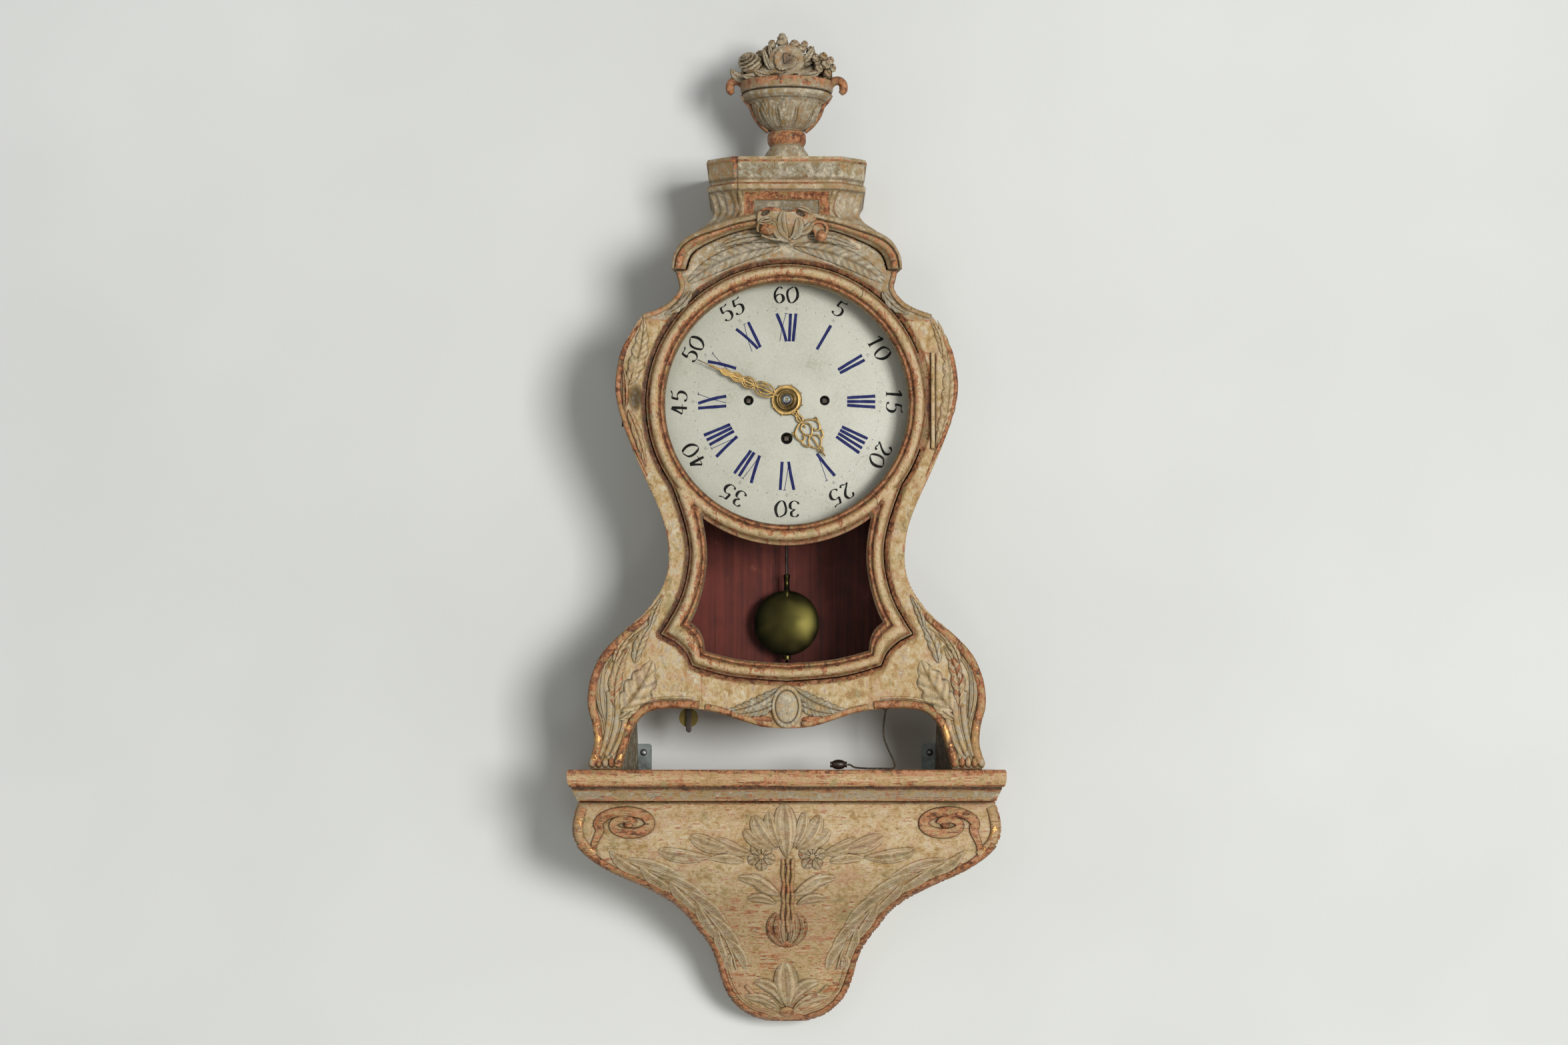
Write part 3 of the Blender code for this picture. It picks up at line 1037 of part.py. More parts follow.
def make_bell():
    steps = [math.radians(90 * k / 5) for k in range(6)]
    hole = 0.0018
    outside_run = [(max(BELL_RADIUS * math.cos(a), hole), BELL_HEIGHT * math.sin(a)) for a in steps]
    inside_run = [(max((BELL_RADIUS - BELL_WALL) * math.cos(a), hole),
                   (BELL_HEIGHT - BELL_WALL) * math.sin(a)) for a in steps]
    centre = (BELL_X, -BELL_Y, BELL_RIM)
    piece("bell", BRASS, turned(outside_run + inside_run[::-1], 16, "Z", centre))
    top = BELL_RIM + BELL_HEIGHT
    arm_top = PLATE_TOP + 0.004
    solids = [box(BELL_X - 0.005, BELL_X + 0.005, REAR_PLATE_FRONT - GAP - 0.003, REAR_PLATE_FRONT - GAP,
                  PLATE_TOP - 0.020, arm_top),
              box(BELL_X - 0.0049, BELL_X + 0.0049, -BELL_Y - 0.004, REAR_PLATE_FRONT - GAP - 0.001,
                  arm_top - 0.003, arm_top - 0.0001),
              post(BELL_X, -BELL_Y, 0.0015, arm_top - 0.002, top + 0.003, 10),
              post(BELL_X, -BELL_Y, 0.0035, top + GAP, top + 0.0028, 6),
              post(BELL_X, -BELL_Y, 0.0035, arm_top - 0.001, top - BELL_WALL - GAP, 6)]
    piece("bell_stand", STEEL, *solids)
    x, z = ARBORS["hammer"]
    head_x = BELL_X + BELL_RADIUS + 0.0012
    head_z = BELL_RIM + 0.0035
    arm = [(x - 0.0018, z), (x + 0.0018, z), (head_x + 0.006, head_z - 0.004),
           (head_x + 0.006, head_z + 0.002), (head_x + 0.003, head_z + 0.002)]
    solids = [rod(x, z, ARBOR_RADIUS, PLATE_FRONT, REAR_PLATE_REAR, 10),
              prism(arm, -BELL_Y - 0.0012, -BELL_Y + 0.0012),
              box(head_x, head_x + 0.009, -BELL_Y - 0.004, -BELL_Y + 0.004, head_z - 0.003, head_z + 0.004)]
    piece("strike_hammer", STEEL, *solids, axis=(x, -BELL_Y, z))


# Pendulum
def make_pendulum():
    axis = (0.0, PENDULUM_Y, PALLET_HEIGHT)
    bob_top = BOB_HEIGHT + BOB_RADIUS
    sleeve_top = bob_top + SLEEVE_LENGTH
    spring_top = PALLET_HEIGHT + 0.0065 - GAP
    spring = box(-0.0030, 0.0030, PENDULUM_Y - 0.0004, PENDULUM_Y + 0.0004, PALLET_HEIGHT - 0.012, spring_top)
    bar = post(0.0, PENDULUM_Y, ROD_RADIUS, sleeve_top + GAP, PALLET_HEIGHT - 0.010, 10)
    piece("pendulum_rod", STEEL, spring, bar, axis=axis)
    half = BOB_THICKNESS / 2
    lens = [(0.0, -half), (BOB_RADIUS * 0.45, -half * 0.88), (BOB_RADIUS * 0.80, -half * 0.52),
            (BOB_RADIUS, -half * 0.14), (BOB_RADIUS, half * 0.14), (BOB_RADIUS * 0.80, half * 0.52),
            (BOB_RADIUS * 0.45, half * 0.88), (0.0, half)]
    sleeve = box(-SLEEVE_HALF, SLEEVE_HALF, PENDULUM_Y - 0.0022, PENDULUM_Y + 0.0022, bob_top - 0.006,
                 sleeve_top)
    foot = BOB_HEIGHT - BOB_RADIUS
    screw = post(0.0, PENDULUM_Y, SCREW_RADIUS, foot - SCREW_LENGTH, foot + 0.004, 10)
    disc = turned(lens, 28, "Y", (0.0, PENDULUM_Y, BOB_HEIGHT))
    piece("pendulum_bob", BRASS, disc, sleeve, screw, axis=axis)
    bore = SCREW_RADIUS + GAP
    nut = [(bore, foot - GAP - RATING_NUT_HEIGHT), (RATING_NUT_RADIUS, foot - GAP - RATING_NUT_HEIGHT),
           (RATING_NUT_RADIUS, foot - GAP), (bore, foot - GAP)]
    piece("rating_nut", BRASS, turned(nut, 12, "Z", (0.0, PENDULUM_Y, 0.0)), axis=axis)


# Pulley, cord and toggle
def make_pulley_and_cord():
    x, y = -PULLEY_X, -PULLEY_Y
    z = FLOOR_UNDERSIDE - PULLEY_DROP
    thick = PULLEY_THICKNESS / 2
    cheek = thick + 0.0008
    top = FLOOR_UNDERSIDE - GAP
    half = FORK_WIDTH / 2
    reach = cheek + FORK_STRAP + 0.002
    solids = [box(x - half * 1.2, x + half * 1.2, y - reach, y + reach, top - 0.0016, top),
              box(x - half, x + half, y - cheek - FORK_STRAP, y - cheek, z - 0.015, top - 0.0008),
              box(x - half, x + half, y + cheek, y + cheek + FORK_STRAP, z - 0.006, top - 0.0008),
              rod(x, z, PULLEY_AXLE, y - cheek - 0.001, y + cheek + 0.001, 12)]
    piece("pulley_fork", IRON, *solids)
    bore = PULLEY_AXLE + PIVOT_PLAY
    groove = [(bore, -thick), (PULLEY_RADIUS, -thick), (PULLEY_RADIUS, -thick * 0.7),
              (PULLEY_RADIUS * 0.82, 0.0), (PULLEY_RADIUS, thick * 0.7), (PULLEY_RADIUS, thick),
              (bore, thick)]
    piece("pulley_wheel", BRASS, turned(groove, 20, "Y", (x, y, z)), axis=(x, y, z))

    start = FLOOR_UNDERSIDE - CORD_BOSS - GAP
    lie = CORD_RADIUS + GAP
    end_x = TOGGLE_X + TOGGLE_LENGTH / 2 + GAP
    route = smooth([(CORD_X, -CORD_Y, start), (CORD_X - 0.002, -CORD_Y, start * 0.75),
                    (CORD_X - 0.002, -CORD_Y - 0.001, start * 0.57), (CORD_X, -CORD_Y - 0.002, start * 0.44),
                    (CORD_X + 0.004, -CORD_Y - 0.003, start * 0.29),
                    (CORD_X + 0.008, -CORD_Y - 0.005, start * 0.14),
                    (CORD_X + 0.008, -CORD_Y - 0.010, lie * 1.3), (CORD_X - 0.004, -CORD_Y - 0.020, lie),
                    (CORD_X - 0.018, -TOGGLE_Y, lie), (end_x + 0.008, -TOGGLE_Y, lie + 0.001),
                    (end_x + 0.003, -TOGGLE_Y, TOGGLE_RADIUS), (end_x, -TOGGLE_Y, TOGGLE_RADIUS)], 2)
    piece("repeat_cord", CORD, tube(route, CORD_RADIUS))
    long = TOGGLE_LENGTH / 2
    shape = [(0.0, -long), (0.0030, -long), (0.0034, -long * 0.72), (TOGGLE_RADIUS * 0.9, -long * 0.42),
             (TOGGLE_RADIUS, 0.0), (TOGGLE_RADIUS * 0.9, long * 0.42), (0.0034, long * 0.72), (0.0030, long),
             (0.0, long)]
    bead = turned(shape, 16, "Z", (0.0, 0.0, 0.0))
    bmesh.ops.rotate(bead, verts=bead.verts[:], cent=(0, 0, 0), matrix=Matrix.Rotation(math.pi / 2, 3, "Y"))
    bmesh.ops.translate(bead, verts=bead.verts[:], vec=(TOGGLE_X, -TOGGLE_Y, TOGGLE_RADIUS + GAP))
    piece("cord_toggle", DARK_WOOD, bead)


make_bracket()
make_case()
make_top()
make_door()
make_dial()
make_plates()
make_barrels()
make_train()
make_motion_work()
make_bell()
make_pendulum()
make_pulley_and_cord()
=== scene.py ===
"""Looks of the cartel clock: carved and worn painted wood, enamel dial, gilt hands, brass and glass.

Metres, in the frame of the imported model. Heights in this script are measured from the top of the bracket's
shelf, as in the part's source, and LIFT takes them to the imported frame.
"""
import math

import bpy
import numpy as np
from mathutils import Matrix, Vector


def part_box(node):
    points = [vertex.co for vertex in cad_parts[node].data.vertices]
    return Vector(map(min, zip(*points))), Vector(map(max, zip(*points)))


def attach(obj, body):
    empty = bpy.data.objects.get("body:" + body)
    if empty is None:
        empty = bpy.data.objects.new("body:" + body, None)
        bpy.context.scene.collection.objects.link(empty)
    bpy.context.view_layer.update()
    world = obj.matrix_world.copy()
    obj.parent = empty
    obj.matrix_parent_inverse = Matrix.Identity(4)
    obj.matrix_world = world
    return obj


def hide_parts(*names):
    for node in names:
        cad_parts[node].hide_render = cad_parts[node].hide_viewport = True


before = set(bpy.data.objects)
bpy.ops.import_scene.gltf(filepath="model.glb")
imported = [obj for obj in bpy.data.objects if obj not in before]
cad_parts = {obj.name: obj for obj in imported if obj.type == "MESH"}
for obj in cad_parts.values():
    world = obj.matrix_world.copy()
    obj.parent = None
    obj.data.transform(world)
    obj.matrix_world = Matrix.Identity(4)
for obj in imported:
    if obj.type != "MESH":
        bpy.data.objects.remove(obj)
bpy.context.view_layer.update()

# Frame
LIFT = 0.080
FRONT = -0.160
FRONT_REAR = -0.142
SIDE_FRONT = -0.1417
SIDE_BACK = -0.0203
BACK_TAPER = 0.88
FLOOR_UNDERSIDE = 0.066

# Bracket
SHELF_HALF = 0.2185
SHELF_DEPTH = 0.185
SHELF_REAR = -0.0031
SHIELD_THICKNESS = 0.016
SHIELD_EDGE_RECESS = 0.12
SHIELD_EDGE = [(0.2090, -0.0313), (0.2125, -0.041), (0.2150, -0.055), (0.2140, -0.068), (0.2085, -0.078),
               (0.1965, -0.0905), (0.1750, -0.104), (0.1440, -0.118), (0.1195, -0.1315), (0.1030, -0.1455),
               (0.0930, -0.159), (0.0830, -0.172), (0.0755, -0.185), (0.0710, -0.198), (0.0680, -0.210),
               (0.0640, -0.222), (0.0590, -0.232), (0.0510, -0.242), (0.0380, -0.2515), (0.0210, -0.2575)]
SHIELD_PROFILE = [(-0.0313, 0.158), (-0.050, 0.164), (-0.075, 0.165), (-0.100, 0.157), (-0.125, 0.141),
                  (-0.150, 0.118), (-0.175, 0.095), (-0.200, 0.077), (-0.225, 0.064), (-0.245, 0.052),
                  (-0.2575, 0.040)]

# Case
APRON_HALF = 0.085
CREST_JOINT = 0.452
CASE_EDGE = [(0.1955, 0.000), (0.1985, 0.006), (0.1952, 0.016), (0.1928, 0.028), (0.1945, 0.045),
             (0.1990, 0.062), (0.1988, 0.080), (0.1945, 0.098), (0.1850, 0.117), (0.1660, 0.137),
             (0.1440, 0.156), (0.1280, 0.177), (0.1200, 0.197), (0.1184, 0.219), (0.1222, 0.244),
             (0.1315, 0.269), (0.1425, 0.293), (0.1560, 0.324), (0.1660, 0.351), (0.1718, 0.375),
             (0.1720, 0.395), (0.1670, 0.421), (0.1570, 0.440), (0.1455, 0.4585)]
NECK_EDGE = [(0.1455, 0.4585), (0.1300, 0.4640), (0.1170, 0.4720), (0.1085, 0.4840), (0.1105, 0.4960),
             (0.1120, 0.5030)]
SIDE_NECK = [(0.142, 0.4555), (0.124, 0.467), (0.1120, 0.481), (0.1115, 0.493), (0.1130, 0.503)]
SIDE_INSET = 0.005
SIDE_THICKNESS = 0.009
ARCH_EDGE = [(0.0, 0.0415), (0.024, 0.043), (0.045, 0.049), (0.066, 0.056), (0.085, 0.060),
             (0.105, 0.0615), (0.125, 0.061), (0.138, 0.058), (0.148, 0.050), (0.155, 0.038),
             (0.160, 0.021), (0.166, 0.0)]
ROOF_INNER = [(0.0, 0.5495), (0.043, 0.5435), (0.075, 0.532), (0.094, 0.520), (0.1005, 0.5035)]
ROOF_OUTER = [(0.0, 0.563), (0.045, 0.557), (0.079, 0.5455), (0.101, 0.534), (0.1115, 0.518),
              (0.1135, 0.5035)]
BACK_REAR = -0.008

# Door
BEZEL_CENTRE = 0.368
BEZEL_RADIUS = 0.141
DIAL_OPENING = 0.1225
DOOR_REAR = -0.148
DOOR_CLEARANCE = 0.0012
WAIST_EDGE = [(0.1155, 0.2871), (0.1070, 0.2640), (0.1000, 0.2400), (0.0970, 0.2180), (0.0993, 0.1950),
              (0.1060, 0.1710), (0.1175, 0.1490), (0.1260, 0.1360)]
EAR_EDGE = [(0.1260, 0.1360), (0.1110, 0.1280), (0.1000, 0.1170), (0.0945, 0.1045)]
DOOR_BOTTOM = [(0.0945, 0.1045), (0.0560, 0.0940), (0.0, 0.0890)]
WINDOW_SIDE = [(0.0845, 0.2526), (0.0800, 0.2200), (0.0825, 0.1900), (0.0900, 0.1620), (0.0965, 0.1480)]
WINDOW_EAR = [(0.0965, 0.1480), (0.0880, 0.1400), (0.0835, 0.1300), (0.0825, 0.1190)]
WINDOW_BOTTOM = [(0.0825, 0.1190), (0.0450, 0.1100), (0.0, 0.1065)]
HINGE_EDGE = 0.1447
HINGE_JAMB = 0.1493
HINGE_LOW = 0.3220
HINGE_HIGH = 0.4190

# Dial, hands and pendulum
DIAL_CENTRE = 0.3735
DIAL_RADIUS = 0.130
DIAL_EDGE = -0.1279
DIAL_CROWN = 0.005
NUMERAL_DROP = 0.0010
NUMERAL_RADIUS = 0.0755
ROMAN_LOW = 0.0612
ROMAN_HIGH = 0.0898
MINUTE_RADIUS = 0.1090
DOT_RADIUS = 0.0950
DOT_SPREAD = 0.0012
MINUTE_FRONT = -0.1409
HOUR_FRONT = -0.1369
HAND_THICKNESS = 0.0014
MINUTE_ANGLE = 294.3
HOUR_ANGLE = 145.6
PENDULUM_Y = -0.040
BOB_HEIGHT = 0.1513
BOB_RADIUS = 0.0335
BOB_THICKNESS = 0.014
SCREW_RADIUS = 0.0015
SCREW_REACH = 0.012
DIAL_FEET = [(-0.052, 0.066), (0.052, 0.066), (-0.052, -0.062), (0.052, -0.062)]
DIAL_FOOT_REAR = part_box("front_plate")[0][1] - 0.0003

# Top
CAP_SECTIONS = [(0.1040, 0.5300), (0.0930, 0.5440), (0.0800, 0.5540), (0.0735, 0.5640), (0.0740, 0.5730),
                (0.0770, 0.5820), (0.0800, 0.5870), (0.0800, 0.5910), (0.0770, 0.5935), (0.0770, 0.5970),
                (0.0790, 0.6000), (0.0790, 0.6120), (0.0815, 0.6150), (0.0800, 0.6190)]
CAP_CHAMFER = 0.025
CAP_FRONT = 0.158
CAP_NECK_TOP = 0.5845
CAP_TABLET_TOP = 0.5765
CAP_FLUTE_PITCH = 0.0072
URN_Y = -0.090
URN_FOOT = 0.6193
BOWL_LOW = 0.0372
BOWL_HIGH = 0.0640
URN_PROFILE = [(0.0, 0.0), (0.0240, 0.0), (0.0238, 0.004), (0.0225, 0.011), (0.0175, 0.0190),
               (0.0178, 0.0205), (0.0196, 0.0245), (0.0197, 0.0310), (0.0186, 0.0345), (0.0174, 0.0362),
               (0.0235, 0.0400), (0.0310, 0.0480), (0.0368, 0.0620), (0.0415, 0.0670), (0.0452, 0.0700),
               (0.0455, 0.0735), (0.0435, 0.0750), (0.0470, 0.0765), (0.0482, 0.0862), (0.0, 0.0862)]

LEAF_SINK = 0.0007
# dark makes a piece darker: along cracks as dark joints, and as painted shade in grooves, quirks and hollows;
# pale makes it paler, on raised carving and the door's torus as painted highlight
MARKS = ("bole", "grey", "gilt", "dark", "pale", "inner")


# Curves in the x, z plane
def smooth(points, steps=6):
    ends = np.array([points[0], *points, points[-1]], float)
    found = []
    for p, q, r, s in zip(ends, ends[1:], ends[2:], ends[3:]):
        for t in np.arange(steps) / steps:
            found.append(0.5 * (2 * q + (r - p) * t + (2 * p - 5 * q + 4 * r - s) * t ** 2
                                + (3 * q - p - 3 * r + s) * t ** 3))
    return np.array([*found, ends[-1]])


def arc(centre, radius, start, end, steps):
    turn = np.radians(np.linspace(start, end, steps + 1))
    return np.column_stack((centre[0] + radius * np.cos(turn), centre[1] + radius * np.sin(turn)))


def mirrored(run):
    return np.asarray(run)[::-1] * (-1, 1)


def joined(*runs):
    loop = np.vstack(runs)
    keep = np.linalg.norm(loop - np.roll(loop, 1, axis=0), axis=1) > 1e-5
    return loop[keep]


def both_sides(right):
    return joined(right, mirrored(right))


def bezier(a, b, bend, steps):
    """A bowed line from a to b; bend is how far its middle stands out, to the left of the way from a to b."""
    a, b = np.array(a, float), np.array(b, float)
    way = (b - a) / np.linalg.norm(b - a)
    middle = (a + b) / 2 + 2 * bend * np.array((-way[1], way[0]))
    t = np.linspace(0, 1, steps)[:, None]
    return (1 - t) ** 2 * a + 2 * t * (1 - t) * middle + t ** 2 * b


def spiral(centre, start, end, first, last, steps=48, stretch=1.0):
    """A spiral from radius start at the angle first to radius end at the angle last, in degrees."""
    turn = np.radians(np.linspace(first, last, steps))
    radius = np.linspace(start, end, steps)
    return np.column_stack((centre[0] + stretch * radius * np.cos(turn), centre[1] + radius * np.sin(turn)))


def sideways(run):
    """Unit normals of a run of points, to the left of the way along it."""
    way = np.gradient(np.asarray(run, float), axis=0)
    way /= np.linalg.norm(way, axis=1)[:, None] + 1e-12
    return np.column_stack((-way[:, 1], way[:, 0]))


def inset(run, distance):
    return np.asarray(run, float) + sideways(run) * distance


def taper(y):
    return 1 + (BACK_TAPER - 1) * (y - SIDE_FRONT) / (SIDE_BACK - SIDE_FRONT)


def hump(value, low, high):
    """A half circle that stands on the stretch from low to high."""
    share = (value - (low + high) / 2) / ((high - low) / 2)
    return np.sqrt(np.clip(1 - share ** 2, 0, 1))


def spatial(spot, y):
    """Points of x and z, with y put between them."""
    return np.stack((spot[..., 0], y, spot[..., 1]), -1)


def row_middles(rows):
    """The middle of each row, once for each of its points."""
    return rows.mean(axis=1, keepdims=True) * np.ones((1, rows.shape[1], 1))


def flat(y):
    return lambda x, z: np.full(np.shape(x), y)


shield_run = smooth(SHIELD_EDGE)


def shield_front(x, z):
    depth = np.interp(-z, [-h for h, _ in SHIELD_PROFILE], [d for _, d in SHIELD_PROFILE])
    half = np.interp(-z, -shield_run[:, 1], shield_run[:, 0])
    return -depth * (1 - SHIELD_EDGE_RECESS * np.clip(np.abs(x) / half, 0, 1) ** 2)


# Meshes
class Shape:
    """The points, faces and wear marks of one piece, gathered from patches."""

    def __init__(self):
        self.points, self.faces, self.marks, self.count = [], [], {mark: [] for mark in MARKS}, 0

    def add(self, points, faces, facing=None, core=None, **marks):
        """Faces turned towards facing, or away from core, or outwards where neither is given."""
        points = np.asarray(points, float).reshape(-1, 3)
        faces = np.asarray(faces, int)
        corner = points[faces]
        area = np.cross(corner[:, 1] - corner[:, 0], corner[:, 2] - corner[:, 0])
        if facing is not None:
            side = area.sum(axis=0) @ np.array(facing)
        else:
            middle = 0.0 if core is None else np.asarray(core, float).reshape(-1, 3)[faces[:, 0]]
            side = (area * (corner[:, 0] - middle)).sum()
        self.faces.append((faces if side > 0 else faces[:, ::-1]) + self.count)
        self.points.append(points)
        for mark in MARKS:
            self.marks[mark].append(np.broadcast_to(np.ravel(marks.get(mark, 0.0)), (len(points),)))
        self.count += len(points)

    def grid(self, rows, round_rows=False, round_columns=False, facing=None, core=None, **marks):
        rows = np.asarray(rows, float)
        high, wide = rows.shape[:2]
        index = np.arange(high * wide).reshape(high, wide)
        index = np.vstack((index, index[:1])) if round_rows else index
        index = np.hstack((index, index[:, :1])) if round_columns else index
        quads = np.stack((index[:-1, :-1], index[:-1, 1:], index[1:, 1:], index[1:, :-1]), -1).reshape(-1,
                                                                                                       4)
        self.add(rows, quads, facing, core, **marks)

    def fan(self, ring, facing, **marks):
        ring = np.asarray(ring, float)
        count = len(ring)
        around = np.arange(count)
        quads = np.column_stack((around, np.roll(around, -1), np.full(count, count), np.full(count, count)))
        self.add(np.vstack((ring, ring.mean(axis=0))), quads[:, :3], facing, **marks)

    def build(self, name, look, body, slot, nodes=(), crease=38):
        mesh = bpy.data.meshes.new(name)
        points = np.vstack(self.points) + (0, 0, LIFT)
        mesh.from_pydata(points.tolist(), [], [face for block in self.faces for face in block.tolist()])
        for mark in MARKS:
            layer = mesh.attributes.new(mark, "FLOAT", "POINT")
            layer.data.foreach_set("value", np.clip(np.concatenate(self.marks[mark]), 0,
                                                    1).astype(np.float32))
        mesh.shade_smooth()
        mesh.set_sharp_from_angle(angle=math.radians(crease))
        mesh.materials.append(look)
        made = bpy.data.objects.new(name, mesh)
        bpy.context.scene.collection.objects.link(made)
        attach(made, body)
        if nodes:
            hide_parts(*nodes)
        return made


def board_points(loops, pitch, reach=0.012):
    """A grid inside the loops with its rim drawn onto them: points, quads and the distance to the edge."""
    every = np.vstack(loops)
    low, high = every.min(axis=0) - 2 * pitch, every.max(axis=0) + 2 * pitch
    xs = np.arange(low[0], high[0], pitch)
    zs = np.arange(low[1], high[1], pitch)
    gap = np.full((len(zs), len(xs)), reach)
    foot = np.zeros((len(zs), len(xs), 2))
    crossings = [[] for _ in zs]
    for loop in loops:
        for a, b in zip(loop, np.roll(loop, -1, axis=0)):
            i0, i1 = np.searchsorted(xs, (min(a[0], b[0]) - reach, max(a[0], b[0]) + reach))
            j0, j1 = np.searchsorted(zs, (min(a[1], b[1]) - reach, max(a[1], b[1]) + reach))
            spot = np.stack(np.meshgrid(xs[i0:i1], zs[j0:j1]), -1)
            way = b - a
            share = np.clip(((spot - a) @ way) / max(way @ way, 1e-16), 0, 1)
            nearest = a + share[..., None] * way
            distance = np.linalg.norm(spot - nearest, axis=-1)
            closer = distance < gap[j0:j1, i0:i1]
            gap[j0:j1, i0:i1][closer] = distance[closer]
            foot[j0:j1, i0:i1][closer] = nearest[closer]
            for j in np.nonzero((zs > min(a[1], b[1])) & (zs <= max(a[1], b[1])))[0]:
                crossings[j].append(a[0] + (b[0] - a[0]) * (zs[j] - a[1]) / (b[1] - a[1]))
    inside = np.array([np.searchsorted(np.sort(row), xs) % 2 == 1 for row in crossings])
    signed = np.where(inside, gap, -gap)
    place = np.stack(np.meshgrid(xs, zs), -1)
    rim = (signed < 0.3 * pitch) & (signed > -0.72 * pitch)
    place[rim] = foot[rim]
    used = signed > -0.72 * pitch
    whole = used[:-1, :-1] & used[:-1, 1:] & used[1:, 1:] & used[1:, :-1]
    whole &= ~(rim[:-1, :-1] & rim[:-1, 1:] & rim[1:, 1:] & rim[1:, :-1])
    index = np.arange(used.size).reshape(used.shape)
    quads = np.stack((index[:-1, :-1], index[:-1, 1:], index[1:, 1:], index[1:, :-1]), -1)[whole]
    kept, quads = np.unique(quads, return_inverse=True)
    return place.reshape(-1, 2)[kept], quads.reshape(-1, 4), np.clip(signed, 0, reach).ravel()[kept]


def add_board(shape, loops, surface, thickness, pitch=0.0018, arris=0.0012, ripple=0.0002, flush=None,
              rear=np.inf, **marks):
    """A board with a softly rounded front edge, except where it is flush, and a back no deeper than rear."""
    spot, quads, gap = board_points(loops, pitch)
    x, z = spot[:, 0], spot[:, 1]
    drop = arris * (1 - np.sqrt(np.clip(1 - (1 - np.clip(gap / arris, 0, 1)) ** 2, 0, 1)))
    drop = drop * ~flush(x, z) if flush else drop
    wave = ripple * np.sin(x * 310 + 2 * np.sin(z * 170)) * np.sin(z * 260 + np.sin(x * 140))
    y = surface(x, z)
    front = np.column_stack((x, y + 0.8 * drop + wave, z))
    back = np.column_stack((x, np.minimum(y + thickness, rear), z))
    found = {mark: value(x, z, gap) if callable(value) else value for mark, value in marks.items()}
    shape.add(front, quads, (0, -1, 0), **found)
    shape.add(back, quads, (0, 1, 0), grey=0.4, dark=0.3)
    edges = np.concatenate([quads[:, (k, (k + 1) % 4)] for k in range(4)])
    keys = np.sort(edges, axis=1)
    _, first, count = np.unique(keys, axis=0, return_index=True, return_counts=True)
    rim = edges[first[count == 1]]
    total = len(front)
    walls = np.column_stack((rim[:, 0], rim[:, 1], rim[:, 1] + total, rim[:, 0] + total))
    rim_marks = {mark: np.tile(np.broadcast_to(value, (total,)), 2) for mark, value in found.items()}
    shape.add(np.vstack((front, back)), walls, **rim_marks)


# Carving on a surface that gives y for x and z
def add_leaf(shape, surface, base, tip, width, bend=0.0, rise=0.004, lobes=0, veins=6, ribs=0, belly=0.72,
             blunt=0.8, steps=30, across=13, back=None, **marks):
    """A carved leaf with a sunk midrib and side veins, or long ribs, and a lobed edge where lobes is set."""
    t = np.linspace(0.0, 1.0, steps)
    q = np.linspace(-1.0, 1.0, across)
    spine = bezier(base, tip, bend, steps)
    half = width / 2 * np.sin(np.pi * np.clip(t, 0.015, 0.985) ** belly) ** blunt
    if lobes:
        half = half * (0.66 + 0.34 * np.abs(np.sin(np.pi * lobes * t)) ** 0.6)
    way = np.gradient(spine, axis=0)
    way /= np.linalg.norm(way, axis=1)[:, None]
    aside = np.column_stack((-way[:, 1], way[:, 0]))
    spread = q[None, :, None] * half[:, None, None]
    lean = 0.30 * (q ** 2)[None, :, None] * half[:, None, None]
    spot = spine[:, None, :] + aside[:, None, :] * spread + way[:, None, :] * lean
    full = np.sin(np.pi * np.clip(t, 0.02, 0.98) ** 0.6) ** 0.45
    crown = np.sqrt(np.clip(1 - np.abs(q) ** 2.4, 0, 1))
    rib = np.exp(-(q / 0.13) ** 2)
    if ribs:
        vein = np.cos(2 * np.pi * ribs * np.abs(q))[None, :] * np.ones((steps, 1))
    else:
        vein = np.cos(2 * np.pi * (veins * t[:, None] - 0.9 * np.abs(q)[None, :]))
    rise_here = rise * full[:, None] * (crown - 0.42 * rib)[None, :]
    rise_here += 0.13 * rise * full[:, None] * vein * (1 - q ** 2)[None, :]
    rise_here[:, (0, -1)] = -LEAF_SINK
    rise_here[(0, -1), :] = -LEAF_SINK
    edge = np.clip((np.abs(q) - 0.74) / 0.26, 0, 1)[None, :] * np.ones((steps, 1))
    valley = np.clip(-vein, 0, 1) * (1 - rib)[None, :]
    found = dict(marks)
    # The leaf's rim, midrib and vein valleys are painted darker as shade, and its raised parts paler as
    # painted highlight
    found["dark"] = np.clip(0.95 * edge ** 2 + 0.55 * rib[None, :] + 0.45 * valley + found.get("dark", 0),
                            0, 1)
    found["pale"] = (1 - edge) * (1 - rib)[None, :] * (0.35 + 0.45 * np.clip(vein, 0, 1))
    found["bole"] = np.clip(found.get("bole", 0.0) * (0.7 + 0.5 * np.clip(vein, 0, 1)), 0, 1)
    y = surface(spot[..., 0], spot[..., 1]) - rise_here
    shape.grid(spatial(spot, y), facing=(0, -1, 0), **found)
    if back:
        bulge = surface(spot[..., 0], spot[..., 1]) + LEAF_SINK + back * full[:, None] * (1 - q ** 2)[None,
                                                                                                      :]
        shape.grid(spatial(spot, bulge), facing=(0, 1, 0), **found)


